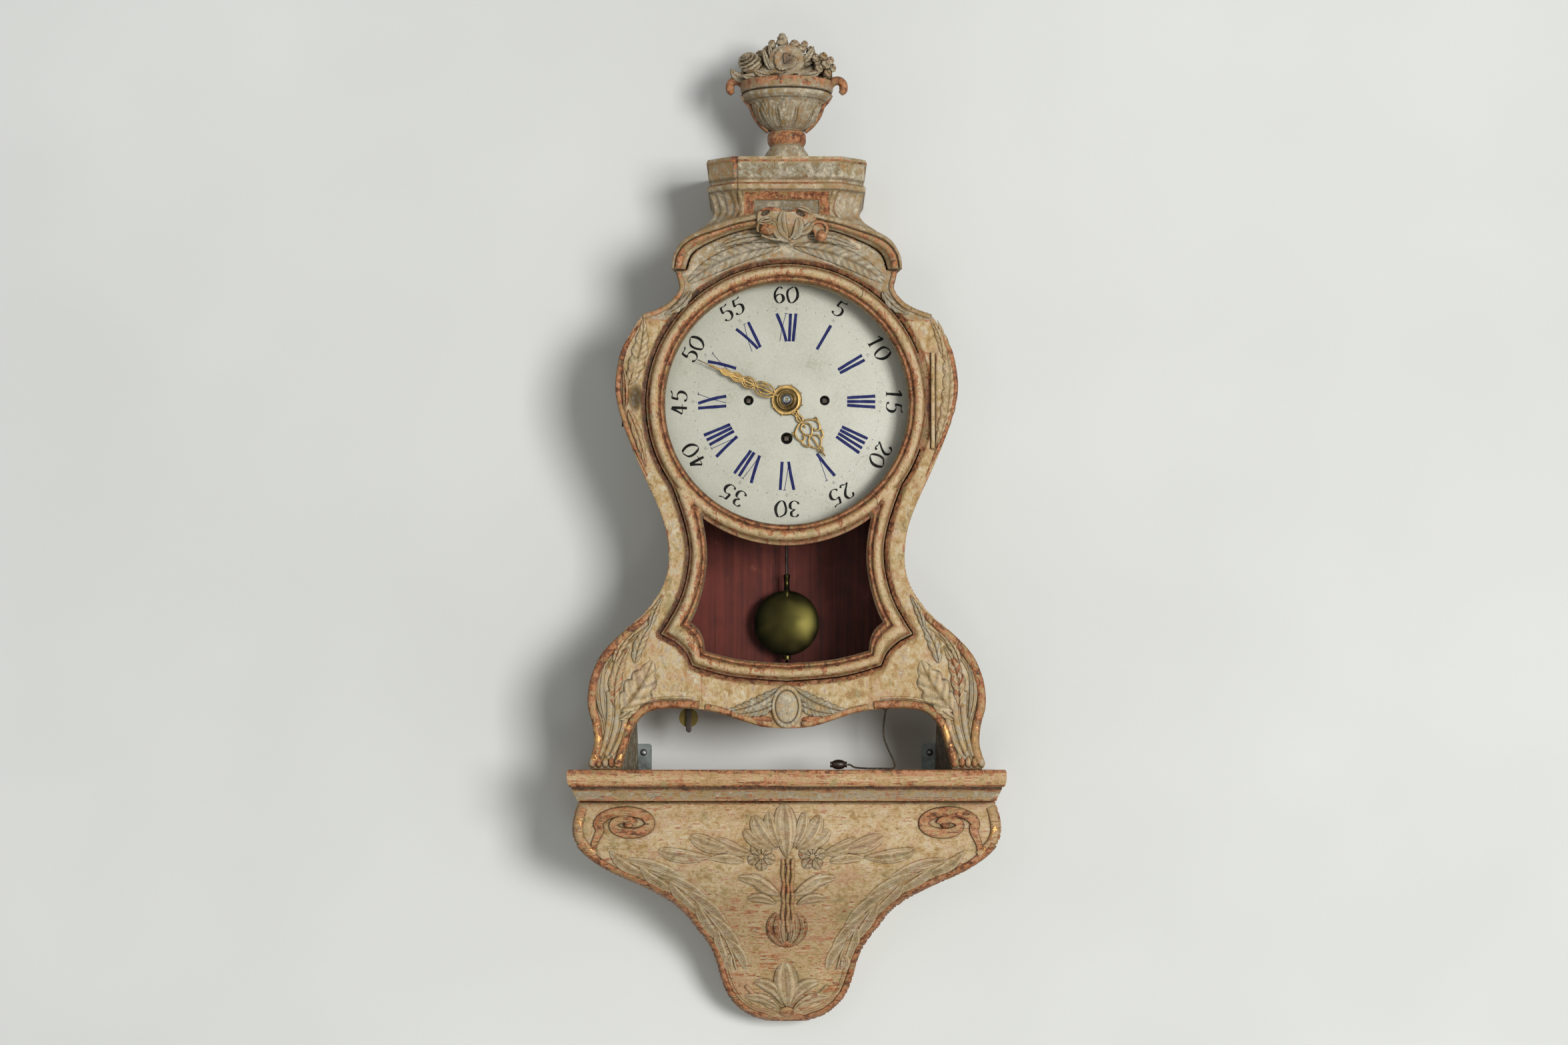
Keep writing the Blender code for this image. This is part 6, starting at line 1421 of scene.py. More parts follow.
def add_cap():
    """The plinth under the urn: slab, torus and a neck with a sunk tablet between fluted consoles."""
    shape = Shape()
    crack, tablet, post = -0.0495, 0.0330, 0.0430
    across = np.sort(np.concatenate((np.linspace(-1, 1, 95),
                                     crack / 0.0545 + np.array((-0.012, -0.005, 0.005, 0.012)))))
    back = np.linspace(0, 1, 14)
    rows, marks = [], {"bole": [], "dark": [], "grey": []}
    for half, z in smooth(CAP_SECTIONS, 5):
        spread = half - CAP_SECTIONS[6][0]
        y = -CAP_FRONT - spread * (0.45 if spread > 0 else 1.0)
        flat_half = half - CAP_CHAMFER
        x = across * flat_half
        on_neck = np.clip((CAP_NECK_TOP - z) / 0.0015, 0, 1)
        sunk = 0.0026 * np.clip((tablet - np.abs(x)) / 0.0014, 0, 1)
        sunk = sunk * np.clip((CAP_TABLET_TOP - z) / 0.0012, 0, 1)
        flute = on_neck * np.clip((np.abs(x) - post) / 0.002, 0, 1)
        ridge = np.cos(2 * np.pi * (half - np.abs(x)) / CAP_FLUTE_PITCH)
        front = np.column_stack((x, y + sunk + 0.0009 * flute * (1 - ridge)
                                 + 0.0014 * on_neck * (np.abs(x) < post)))
        share = np.linspace(0, 1, 16)[1:-1]
        corner, side = np.array((flat_half, y)), np.array((half, y + CAP_CHAMFER))
        inward = np.array((-0.7071, 0.7071))
        groove = 0.0009 * on_neck * (1 - np.cos(2 * np.pi * (1 - share) * CAP_CHAMFER / CAP_FLUTE_PITCH))
        cut = corner + (side - corner) * share[:, None] + inward * groove[:, None]
        flank = np.column_stack((np.full(14, half), y + CAP_CHAMFER + back * (BACK_REAR - y - CAP_CHAMFER)))
        rear = np.column_stack((np.linspace(half, -half, 16)[1:-1], np.full(14, BACK_REAR)))
        loop = np.vstack((front, cut, flank, rear, flank[::-1] * (-1, 1), cut[::-1] * (-1, 1)))
        rows.append(np.column_stack((loop, np.full(len(loop), z))))
        rest = np.zeros(len(loop) - len(x))
        lines = sum(math.exp(-((z - level) / 0.0014) ** 2) for level in (0.5920, 0.6150))
        quirk = sum(math.exp(-((z - level) / 0.0010) ** 2) for level in (0.5852, 0.5965))
        frame_red = on_neck * (np.abs(x) < post) * (sunk < 0.0004)
        split = np.exp(-((x - crack) / 0.0007) ** 2)
        corner_strip = 0.62 * ((x < crack) & (z > 0.5965))
        fluted = np.concatenate((flute * (1 - ridge) / 2, rest))
        marks["bole"].append(np.concatenate((0.78 * frame_red + corner_strip, rest)) + 0.66 * lines
                             + 0.4 * fluted + 0.2)
        # Painted shade in the quirks and flute grooves; the split along the crack is a dark joint
        marks["dark"].append(np.concatenate((0.9 * split + 0.25 * (sunk > 0.0004), rest)) + 0.7 * quirk
                             + 0.60 * fluted)
        marks["grey"].append(np.concatenate((0.5 * (sunk > 0.0004) + 0.60 * (z > 0.5975) * (z < 0.6125),
                                             rest + 0.32)))
    rows = np.array(rows)
    outer = np.interp(np.abs(rows[..., 0]) / taper(rows[..., 1]), roof_outer_run[:, 0],
                      roof_outer_run[:, 1])
    rows[..., 2] = np.maximum(rows[..., 2], np.minimum(outer - 0.0015, 0.5629))
    core = row_middles(rows)
    shape.grid(rows, round_columns=True, core=core,
               **{mark: np.array(value) for mark, value in marks.items()})
    shape.fan(rows[-1], (0, 0, 1), grey=0.5)
    shape.fan(rows[0], (0, 0, -1), grey=0.5)
    shape.build("pedestal_cap", CREST_PAINT, "case", "painted_wood", ["cap"])


def add_urn():
    """A turned urn with a bowl of carved leaves, side straps and two hooked handles."""
    shape = Shape()
    centre = (0.0, URN_Y, URN_FOOT)
    profile = np.vstack(([URN_PROFILE[0]], smooth(URN_PROFILE[1:-1], 7), [URN_PROFILE[-1]]))
    height = profile[:, 1]
    steps, leaves = 160, 10
    turn = np.linspace(0, 2 * np.pi, steps + 1)[:-1]
    up = np.clip((height - BOWL_LOW) / 0.0270, 0, 1)[:, None]
    on_bowl = ((height > BOWL_LOW) & (height < BOWL_HIGH))[:, None]
    sector = np.abs((turn * leaves / (2 * np.pi)) % 1 - 0.5)[None, :] * 2
    wide = np.clip(1.25 * np.sqrt(np.clip(1 - up ** 2.2, 0, 1)), 0, 0.94)
    inside = np.clip((wide - sector) / 0.16, 0, 1) * on_bowl
    vein = np.cos(2 * np.pi * (2.5 * sector - 1.2 * up))
    relief = inside * (0.040 + 0.014 * vein) + 0.012 * on_bowl * (1 - inside) * np.cos(24 * turn)[None, :]
    edge = inside * (1 - inside) * 4
    collar = 0.80 * hump(height, 0.0205, 0.0365) + 0.62 * hump(height, 0.0755, 0.0960)
    base = np.exp(-((height - 0.020) / 0.002) ** 2)
    bole = np.clip(collar + 0.4 * base + 0.15, 0, 1)[:, None] * np.ones((1, steps))
    lines = sum(np.exp(-((height - level) / 0.0009) ** 2) for level in (0.0660, 0.0752))[:, None]

    def swell(row, angle):
        at = row[:, 0]
        return 0.965 + 0.9 * relief[at] * on_bowl[at] + 0.035 * ~on_bowl[at]

    # Painted shade at the leaf edges, in the vein valleys and along two lines near the rim
    add_turned(shape, profile, centre, "Z", steps, swell, bole=bole,
               grey=0.34 * np.ones((len(profile), steps)),
               dark=np.clip(0.75 * edge + 0.35 * inside * np.clip(-vein, 0, 1) + 0.6 * lines, 0, 1))
    for sign in (-1, 1):
        foot = np.array((0.0, URN_FOOT))
        strap = smooth([(0.0190, 0.0360), (0.0270, 0.0430), (0.0338, 0.0530), (0.0372, 0.0620),
                        (0.0422, 0.0680), (0.0455, 0.0740)], 6) + foot
        add_tube(shape, strap * (sign, 1), URN_Y, 0.0024, 0.0050, 10, bole=0.80, gilt=0.12)
        hook = [(0.0430, 0.0830), (0.0485, 0.0880), (0.0540, 0.0888), (0.0580, 0.0850), (0.0582, 0.0790),
                (0.0555, 0.0755)]
        run = (smooth(hook, 7) + foot) * (sign, 1)
        thick = np.interp(np.linspace(0, 1, len(run)), (0, 0.3, 0.8, 1), (0.0044, 0.0046, 0.0044, 0.0026))
        add_tube(shape, run, URN_Y, thick, 1.35 * thick, 14, bole=0.84, gilt=0.14)
    shape.build("carved_urn", URN_PAINT, "case", "carved_wood", ["urn"])


def add_bloom(shape, centre, radii, axis, petals, layers, depth=0.16, eye=0.0, rings=26, **marks):
    """A ball of petals that overlap in a spiral round its axis, with a sunk eye where one is set; petal roots
    and eye are painted dark as shade.
    """
    axis = np.array(axis, float) / np.linalg.norm(axis)
    side = np.cross(axis, (0.3, 0.9, 0.2))
    side /= np.linalg.norm(side)
    other = np.cross(axis, side)
    polar = np.linspace(0, np.pi, rings)[:, None]
    turn = np.linspace(0, 2 * np.pi, 2 * rings + 1)[None, :-1]
    layer = layers * polar / (np.pi / 2) + turn / (2 * np.pi) + 0.30 * np.abs(np.sin(petals * turn / 2))
    step = layer - np.floor(layer)
    fade = np.clip(np.sin(polar) * 2, 0, 1)
    pit = eye * np.exp(-(polar / 0.42) ** 4)
    reach = 0.93 - depth * fade * (1 - step) ** 1.4 - pit
    way = (np.cos(polar)[..., None] * axis + np.sin(polar)[..., None]
           * (np.cos(turn)[..., None] * side + np.sin(turn)[..., None] * other))
    rows = np.array(centre) + reach[..., None] * way * radii
    core = np.broadcast_to(np.array(centre, float), rows.shape)
    # Painted shade under each petal's overlap and in the eye
    dark = 0.75 * fade * np.clip(1 - 2.2 * step, 0, 1) + 2.4 * pit * np.ones_like(turn)
    shape.grid(rows, round_columns=True, core=core, dark=dark,
               **{k: np.broadcast_to(v, step.shape) for k, v in marks.items()})


def add_flowers():
    """A rose between a striped bud and a knobbly cluster, small buds above and leaves between them."""
    shape = Shape()
    rim = URN_FOOT + URN_PROFILE[-1][1] + 0.0003

    def place(x, y, z):
        return (x, URN_Y + y, rim + z)

    add_bloom(shape, place(0.0, 0.006, 0.010), (0.042, 0.030, 0.024), (0.2, -0.3, 1.0), 5, 2.6, 0.22,
              rings=46, grey=0.30)
    add_bloom(shape, place(0.0, -0.012, 0.0205), (0.0215, 0.0190, 0.0185), (0.02, -1.0, -0.08), 3, 3.2,
              0.24, 0.30, 46, grey=0.30, bole=0.15)
    add_bloom(shape, place(-0.0375, -0.008, 0.0195), (0.0140, 0.0130, 0.0122), (-0.45, -0.55, 0.70), 1, 4.0,
              0.34, rings=46, grey=0.22, bole=0.25)
    for x, y, z, radius in ((-0.030, 0.016, 0.0100, 0.0115), (-0.012, 0.026, 0.0120, 0.0130),
                            (0.012, 0.026, 0.0110, 0.0120), (0.030, 0.016, 0.0100, 0.0115),
                            (-0.019, 0.016, 0.0250, 0.0100), (0.002, 0.019, 0.0270, 0.0125),
                            (0.020, 0.014, 0.0240, 0.0100), (0.040, 0.004, 0.0080, 0.0085),
                            (-0.042, 0.004, 0.0080, 0.0085)):
        add_bloom(shape, place(x, y, z), radius, (x, y, 0.5 * z), 3, 1.9, 0.26, 0.10, 30, grey=0.28,
                  bole=0.20)
    for x, y, z, radius in ((0.0360, -0.006, 0.0185, 0.0100), (0.0300, -0.012, 0.0240, 0.0050),
                            (0.0375, -0.014, 0.0250, 0.0052), (0.0445, -0.010, 0.0215, 0.0050),
                            (0.0465, -0.006, 0.0145, 0.0052), (0.0400, -0.015, 0.0165, 0.0056),
                            (0.0330, -0.016, 0.0120, 0.0050), (0.0415, -0.012, 0.0085, 0.0048),
                            (0.0285, -0.017, 0.0065, 0.0048)):
        add_bloom(shape, place(x, y, z), radius, (x, -0.03, z), 5, 1.5, 0.22, grey=0.25,
                  bole=0.65 if z < 0.010 else 0.30)
    for x, y, z, wide, tall in ((-0.0045, -0.004, 0.0420, 0.0072, 0.0085),
                                (-0.0045, -0.004, 0.0475, 0.0046, 0.0046),
                                (0.0080, -0.006, 0.0390, 0.0060, 0.0058),
                                (0.0185, -0.004, 0.0395, 0.0042, 0.0046),
                                (0.0150, -0.007, 0.0345, 0.0060, 0.0056),
                                (0.0245, -0.004, 0.0325, 0.0054, 0.0060),
                                (0.0270, -0.002, 0.0265, 0.0060, 0.0062),
                                (-0.0150, -0.003, 0.0390, 0.0048, 0.0066),
                                (-0.0190, -0.006, 0.0320, 0.0058, 0.0072),
                                (-0.0265, -0.002, 0.0290, 0.0064, 0.0058)):
        add_bloom(shape, place(x, y, z), (wide, wide, tall), (x, -0.02, 0.03), 3, 1.6, 0.20, grey=0.25,
                  bole=0.2)
    for base, tip, width, bend, y in (((-0.022, 0.004), (-0.046, 0.004), 0.010, 0.002, -0.024),
                                      ((-0.016, 0.003), (-0.034, 0.009), 0.009, 0.002, -0.028),
                                      ((-0.040, 0.002), (-0.058, 0.014), 0.010, 0.003, -0.006),
                                      ((0.016, 0.003), (0.034, 0.007), 0.009, -0.002, -0.027),
                                      ((-0.016, 0.010), (-0.024, 0.034), 0.007, 0.001, -0.016),
                                      ((-0.012, 0.012), (-0.018, 0.040), 0.006, 0.001, -0.015),
                                      ((0.016, 0.018), (0.028, 0.036), 0.008, -0.001, -0.014)):
        low = (base[0], rim + base[1])
        high = (tip[0], rim + tip[1])
        add_leaf(shape, flat(URN_Y + y), low, high, width, bend, rise=0.0026, veins=6, back=0.0030,
                 grey=0.3)
    shape.build("carved_flowers", URN_PAINT, "case", "carved_wood", ["urn_flowers"])


# Door
# Distance in from the outer edge and height, in mm, with marks; the dark in the cove, the quirk and at the
# inner edge by the dial is painted shade, and the pale on the torus crown is painted highlight
DOOR_MOULDING = [
    (0.0, 0.4, {"bole": 0.60, "dark": 0.45}), (0.8, 0.6, {"bole": 0.70, "dark": 0.65}),
    (1.7, 1.4, {"bole": 0.75, "dark": 0.62}), (2.6, 2.7, {"bole": 0.75, "dark": 0.45}),
    (3.2, 4.0, {"bole": 0.65, "dark": 0.25}), (3.6, 5.0, {"bole": 0.55}),
    (4.0, 5.2, {"bole": 0.5, "dark": 0.35}), (4.7, 6.6, {"bole": 0.45, "pale": 0.3}),
    (6.0, 7.6, {"bole": 0.48, "pale": 0.5}), (8.0, 8.0, {"bole": 0.52, "pale": 0.4}),
    (10.0, 7.7, {"bole": 0.66}), (11.4, 6.7, {"bole": 0.78}), (12.2, 5.4, {"bole": 0.86}),
    (12.5, 3.8, {"bole": 0.90, "dark": 0.50}), (13.2, 3.6, {"bole": 0.90, "dark": 0.45}),
    (13.8, 4.3, {"bole": 0.90}), (14.6, 4.8, {"bole": 0.86}), (15.6, 4.8, {"bole": 0.86}),
    (16.4, 4.2, {"bole": 0.86, "dark": 0.20}), (16.9, 3.0, {"bole": 0.80, "dark": 0.60}),
    (17.4, 2.4, {"bole": 0.70, "dark": 0.80}), (18.5, 2.0, {"bole": 0.70, "dark": 0.90})]

MOULDING_WIDTH = DOOR_MOULDING[-1][0]
door_profile = [(s / MOULDING_WIDTH, FRONT - h / 1000) for s, h, _ in DOOR_MOULDING]


def door_section():
    """The frame's section as share of its width and y, closed along its back, and the marks of each point."""
    back = [(1.0, -0.155), (1.0, DOOR_REAR), (0.5, DOOR_REAR), (0.0, DOOR_REAR), (0.0, -0.155)]
    marks = {mark: np.array([m.get(mark, 0.0) for _, _, m in DOOR_MOULDING] + [0.25] * len(back))
             for mark in ("bole", "dark", "pale")}
    return np.array(door_profile + back), marks


def bezel_top(x, z):
    """The face of the round part of the door's moulding."""
    share = (BEZEL_RADIUS - np.hypot(x, z - BEZEL_CENTRE)) / (BEZEL_RADIUS - DIAL_OPENING)
    return np.interp(share, *zip(*door_profile))


def add_door():
    shape = Shape()
    section, marks = door_section()
    turn = np.radians(np.linspace(0, 360, 241))
    ring = [np.column_stack((r * np.cos(turn), BEZEL_CENTRE + r * np.sin(turn)))
            for r in (BEZEL_RADIUS, DIAL_OPENING)]
    add_swept(shape, ring[0], ring[1], section, ends=False, **marks)
    outer = np.vstack([resampled(smooth(run), n)[:-1]
                       for run, n in ((WAIST_EDGE, 46), (EAR_EDGE, 18), (DOOR_BOTTOM, 34))])
    inner = np.vstack([resampled(smooth(run), n)[:-1]
                       for run, n in ((WINDOW_SIDE, 46), (WINDOW_EAR, 18), (WINDOW_BOTTOM, 34))])
    outer = np.vstack((outer, [DOOR_BOTTOM[-1]]))
    inner = np.vstack((inner, [WINDOW_BOTTOM[-1]]))
    reach = np.linspace(0.0085, 0.0, 5)[:-1, None]
    tucked = []
    for run in (outer, inner):
        way = np.array(bezel_middle) - run[0]
        way /= np.linalg.norm(way)
        run = np.vstack((run[0] + way * reach, run))
        tucked.append(np.vstack((run, mirrored(run)[1:])))
    add_swept(shape, tucked[0], tucked[1], section, **marks)
    radius = BEZEL_RADIUS - 0.002
    low, high = (math.degrees(math.asin((z - BEZEL_CENTRE) / radius)) for z in (HINGE_LOW, HINGE_HIGH))
    strip = joined([(HINGE_EDGE, HINGE_LOW), (HINGE_EDGE, HINGE_HIGH)],
                   arc(bezel_middle, radius, high, low, 40))
    add_board(shape, [strip], front_surface, DOOR_REAR - FRONT - 0.003, 0.0010, arris=0.0004,
              rear=DOOR_REAR, **front_marks(0.1))
    land = [resampled(arc(bezel_middle, r, -126, -54, 60), 60) for r in (0.1395, 0.143)]
    add_swept(shape, land[0], land[1], [(0.0, -0.1604), (1.0, -0.1602), (1.0, DOOR_REAR), (0.0, DOOR_REAR)],
              bole=0.7, dark=0.4)
    for turned, deep, wander in ((55, 0.62, 0.0016), (-48, 0.90, -0.0012)):
        share = np.linspace(0.02, deep, 24)
        reach = BEZEL_RADIUS - share * (BEZEL_RADIUS - DIAL_OPENING)
        angle = math.radians(turned) + wander * np.sin(9 * share) / BEZEL_RADIUS + 0.020 * share
        line = np.column_stack((reach * np.cos(angle), BEZEL_CENTRE + reach * np.sin(angle)))
        add_roll(shape, bezel_top, line, 0.00042, 0.00025, 5, dark=1.0, sink=0.0002)
    shape.build("moulded_door", DOOR_PAINT, "door", "painted_wood", ["door_frame"])


# Dial
def dial_surface(x, z):
    reach = np.hypot(x, z - DIAL_CENTRE) / DIAL_RADIUS
    return DIAL_EDGE - DIAL_CROWN * (1 - reach ** 2)


KEY_HOLES = ((0.0, -0.0385, 0.0052), (-0.0385, 0.0, 0.0043), (0.0385, 0.0, 0.0043))
STEM, HAIR = 0.0017, 0.00036
ROMAN = ("I", "II", "III", "IIII", "V", "VI", "VII", "VIII", "IX", "X", "XI", "XII")
ROMAN_WIDTH = {"I": 0.0047, "V": 0.0112, "X": 0.0112}
DIGITS = {
    "0": [[(0.5, 1.0), (0.12, 0.80), (0.06, 0.45), (0.25, 0.06), (0.55, 0.0), (0.88, 0.25), (0.92, 0.60),
           (0.72, 0.95), (0.5, 1.0)]],
    "1": [[(0.22, 0.80), (0.48, 0.92), (0.60, 1.0)], [(0.60, 1.0), (0.50, 0.5), (0.42, 0.02)],
          [(0.20, 0.0), (0.66, 0.0)]],
    "2": [[(0.16, 0.76), (0.32, 0.97), (0.66, 0.98), (0.82, 0.74), (0.62, 0.45), (0.30, 0.20),
           (0.08, 0.03)],
          [(0.08, 0.03), (0.40, 0.08), (0.66, 0.0), (0.86, 0.14)]],
    "3": [[(0.18, 0.84), (0.40, 1.0), (0.72, 0.93), (0.74, 0.70), (0.42, 0.54)],
          [(0.42, 0.54), (0.80, 0.46), (0.80, 0.16), (0.48, 0.0), (0.14, 0.08), (0.12, 0.20)]],
    "4": [[(0.62, 1.0), (0.36, 0.64), (0.06, 0.32)], [(0.06, 0.30), (0.50, 0.30), (0.92, 0.32)],
          [(0.66, 0.98), (0.62, 0.5), (0.54, 0.0)]],
    "5": [[(0.34, 0.98), (0.62, 0.94), (0.88, 1.02)], [(0.34, 0.98), (0.26, 0.76), (0.22, 0.56)],
          [(0.22, 0.56), (0.54, 0.62), (0.82, 0.46), (0.80, 0.18), (0.50, 0.0), (0.14, 0.06),
           (0.10, 0.18)]],
    "6": [[(0.80, 0.92), (0.54, 1.0), (0.22, 0.72), (0.10, 0.36), (0.28, 0.04), (0.58, 0.0), (0.84, 0.20),
           (0.78, 0.46), (0.52, 0.56), (0.22, 0.42), (0.14, 0.30)]]}


def on_dial(angle, across, out):
    """A point of the dial at a clock angle, out from the middle and across to the right of the radius."""
    a = math.radians(angle)
    spread = across * out / NUMERAL_RADIUS
    return np.column_stack((spread * math.cos(a) + out * math.sin(a),
                            DIAL_CENTRE - NUMERAL_DROP - spread * math.sin(a) + out * math.cos(a)))


def stroke(shape, angle, points, half):
    points = np.asarray(points, float)
    add_roll(shape, dial_surface, on_dial(angle, points[:, 0], points[:, 1]), half, 0.00016, 5,
             sink=0.00004)


def add_roman(shape, angle, word):
    low, high = ROMAN_LOW, ROMAN_HIGH
    at = -sum(ROMAN_WIDTH[letter] for letter in word) / 2
    for letter in word:
        wide = ROMAN_WIDTH[letter]
        left, right, middle = at + 0.0007, at + wide - 0.0003, at + wide / 2
        bars = {"I": [((middle, low), (middle, high), STEM)],
                "V": [((left + 0.001, high), (middle, low), STEM),
                      ((right - 0.001, high), (middle, low), HAIR)],
                "X": [((left + 0.001, high), (right - 0.001, low), STEM),
                      ((right - 0.001, high), (left + 0.001, low), HAIR)]}[letter]
        for a, b, half in bars:
            stroke(shape, angle, np.linspace(a, b, 12), half)
            if half == HAIR:
                stroke(shape, angle, np.linspace((a[0] - 0.0014, a[1]), (a[0] + 0.0014, a[1]), 6), HAIR)
        at += wide


def add_minutes(shape, angle, word):
    tall, wide, middle, space = 0.0160, 0.0120, MINUTE_RADIUS, 0.0016
    at = -len(word) * (wide + space) / 2
    for digit in word:
        for points in DIGITS[digit]:
            run = smooth([(at + wide * u, middle + tall * (v - 0.5)) for u, v in points], 5)
            way = np.gradient(run, axis=0)
            upright = np.abs(way[:, 1]) / (np.linalg.norm(way, axis=1) + 1e-12)
            heavy = 0.75 + 0.25 * np.clip(((run[:, 0] - at) / wide - 0.30) / 0.4, 0, 1)
            stroke(shape, angle, run * (NUMERAL_RADIUS / middle, 1),
                   0.00040 + 0.00124 * heavy * upright ** 1.5)
        at += wide + space


def add_dial():
    plate = Shape()
    holes = [arc((0.0, DIAL_CENTRE), 0.0070, 0, 352.5, 47)]
    holes += [arc((x, DIAL_CENTRE + z), r, 0, 350, 35) for x, z, r in KEY_HOLES]
    add_board(plate, [arc((0.0, DIAL_CENTRE), DIAL_RADIUS, 0, 358.5, 239), *holes], dial_surface, 0.002,
              0.0019, arris=0.0004, ripple=0.00004)
    for x, z in DIAL_FEET:
        middle = float(dial_surface(np.array(x), np.array(DIAL_CENTRE + z)))
        foot = [(0.0, middle + 0.001), (0.0030, middle + 0.001), (0.0030, DIAL_FOOT_REAR),
                (0.0, DIAL_FOOT_REAR)]
        add_turned(plate, foot, (x, 0.0, DIAL_CENTRE + z), "Y", 20)
    plate.build("enamel_dial", ENAMEL, "case", "enamel", ["dial"])
    hours, minutes = Shape(), Shape()
    for k, word in enumerate(ROMAN):
        add_roman(hours, 30 * (k + 1), word)
        add_minutes(minutes, 30 * (k + 1), str(5 * (k + 1)))
    for k in range(60):
        spot = on_dial(6 * k, np.zeros(1), np.full(1, DOT_RADIUS))[0]
        four = ((-DOT_SPREAD, 0), (DOT_SPREAD, 0), (0, -DOT_SPREAD), (0, DOT_SPREAD))
        for shift in ((0, 0),) if k % 5 else four:
            add_boss(minutes, dial_surface, spot + shift, 0.0005, 0.0002)
    for x, z, r in KEY_HOLES:
        ring = arc((x, DIAL_CENTRE + z), r + 0.0001, 0, 360, 48)
        add_roll(minutes, dial_surface, ring, 0.0007, 0.0003, 5, sink=0.0001)
    hours.build("hour_numerals", BLUE_INK, "case", "enamel")
    minutes.build("minute_numerals", BLACK_INK, "case", "enamel")


# Hands
def along_hand(angle, points):
    """Points given as distance from the hub and sideways, put at the hand's clock angle."""
    a = math.radians(angle)
    points = np.asarray(points, float)
    return np.column_stack((points[:, 0] * math.sin(a) + points[:, 1] * math.cos(a),
                            DIAL_CENTRE + points[:, 0] * math.cos(a) - points[:, 1] * math.sin(a)))


def add_strands(shape, angle, front, strands):
    y = front + HAND_THICKNESS / 2
    for points, radius, doubled in strands:
        run = smooth(points, 6)
        for side in ((1, -1) if doubled else (1,)):
            add_tube(shape, along_hand(angle, run * (1, side)), y, radius, HAND_THICKNESS / 2, 8)


def add_hub(shape, front, outer, bore, raised, points=0):
    """The disc of a hand with a raised ring, and small points round its rim."""
    rear = front + HAND_THICKNESS
    profile = [(bore, rear), (outer, rear), (outer, front + 0.0006), (outer - 0.0006, front + 0.0001),
               (raised + 0.0016, front + 0.0004), (raised + 0.0008, front), (raised, front - 0.0007),
               (raised - 0.0012, front - 0.0002), (raised - 0.0018, front + 0.0003), (bore, front + 0.0002)]
    add_turned(shape, profile, (0.0, 0.0, DIAL_CENTRE), "Y", 64, closed=True)
    for k in range(points):
        spike = along_hand(360 / points * (k + 0.4), [(outer - 0.001, 0), (outer + 0.0006, 0),
                                                      (outer + 0.0016, 0)])
        add_tube(shape, spike, front + HAND_THICKNESS / 2, (0.0012, 0.0009, 0.0003), 0.0005, 6)


def add_hands():
    minute = Shape()
    add_hub(minute, MINUTE_FRONT, 0.0105, 0.0036, 0.0076)
    strands = [([(0.009, 0.0), (0.030, 0.0), (0.055, 0.0), (0.072, 0.0)], 0.0013, False),
               ([(0.070, 0.0), (0.078, 0.0), (0.086, 0.0)], 0.0011, False),
               ([(0.085, 0.0), (0.092, 0.0), (0.099, 0.0)], 0.0005, False)]
    for low, high, half in ((0.0130, 0.0365, 0.0068), (0.0345, 0.0500, 0.0054), (0.0480, 0.0620, 0.0040),
                            (0.0605, 0.0730, 0.0026)):
        long = high - low
        strands += [([(low, 0.0008), (low + 0.2 * long, 0.75 * half), (low + 0.5 * long, half),
                      (low + 0.8 * long, 0.8 * half), (high, 0.25 * half)], 0.00095, True),
                    ([(low + 0.15 * long, 0.0006), (low + 0.40 * long, 0.55 * half),
                      (low + 0.68 * long, 0.50 * half), (low + 0.85 * long, 0.0008)], 0.00085, True),
                    ([(low + 0.5 * long, half), (low + 0.62 * long, 0.55 * half),
                      (low + 0.5 * long, 0.25 * half)], 0.0007, True)]
    add_strands(minute, MINUTE_ANGLE, MINUTE_FRONT, strands)
    minute.build("minute_hand_gilt", GILT, "minute_hand_set", "gilt_brass", ["minute_hand"])
    hour = Shape()
    add_hub(hour, HOUR_FRONT, 0.0155, 0.0054, 0.0108, 8)
    add_strands(hour, HOUR_ANGLE, HOUR_FRONT, [
        ([(0.014, 0.0), (0.026, 0.0), (0.034, 0.0)], 0.0009, False),
        ([(0.0145, 0.0034), (0.0185, 0.0014), (0.0220, 0.0028), (0.0250, 0.0024), (0.0270, 0.0008)], 0.0010,
         True),
        ([(0.0265, 0.0008), (0.0290, 0.0072), (0.0335, 0.0124), (0.0390, 0.0132), (0.0430, 0.0106),
          (0.0420, 0.0068), (0.0385, 0.0064)], 0.0010, True),
        ([(0.0290, 0.0006), (0.0320, 0.0046), (0.0370, 0.0052), (0.0410, 0.0030), (0.0435, 0.0002)], 0.0009,
         True),
        ([(0.0425, 0.0108), (0.0470, 0.0116), (0.0515, 0.0086), (0.0505, 0.0058)], 0.0010, True),
        ([(0.0430, 0.0004), (0.0465, 0.0050), (0.0510, 0.0064), (0.0555, 0.0044), (0.0590, 0.0006)], 0.0009,
         True),
        ([(0.0330, 0.0122), (0.0310, 0.0138), (0.0335, 0.0148), (0.0355, 0.0132)], 0.0008, True),
        ([(0.0430, 0.0), (0.0520, 0.0), (0.0600, 0.0)], 0.0009, False),
        ([(0.0590, 0.0), (0.0640, 0.0), (0.0690, 0.0)], 0.0008, False),
        ([(0.0580, 0.0010), (0.0610, 0.0026), (0.0640, 0.0006)], 0.0008, True)])
    hour.build("hour_hand_gilt", GILT, "hour_hand_set", "gilt_brass", ["hour_hand"])


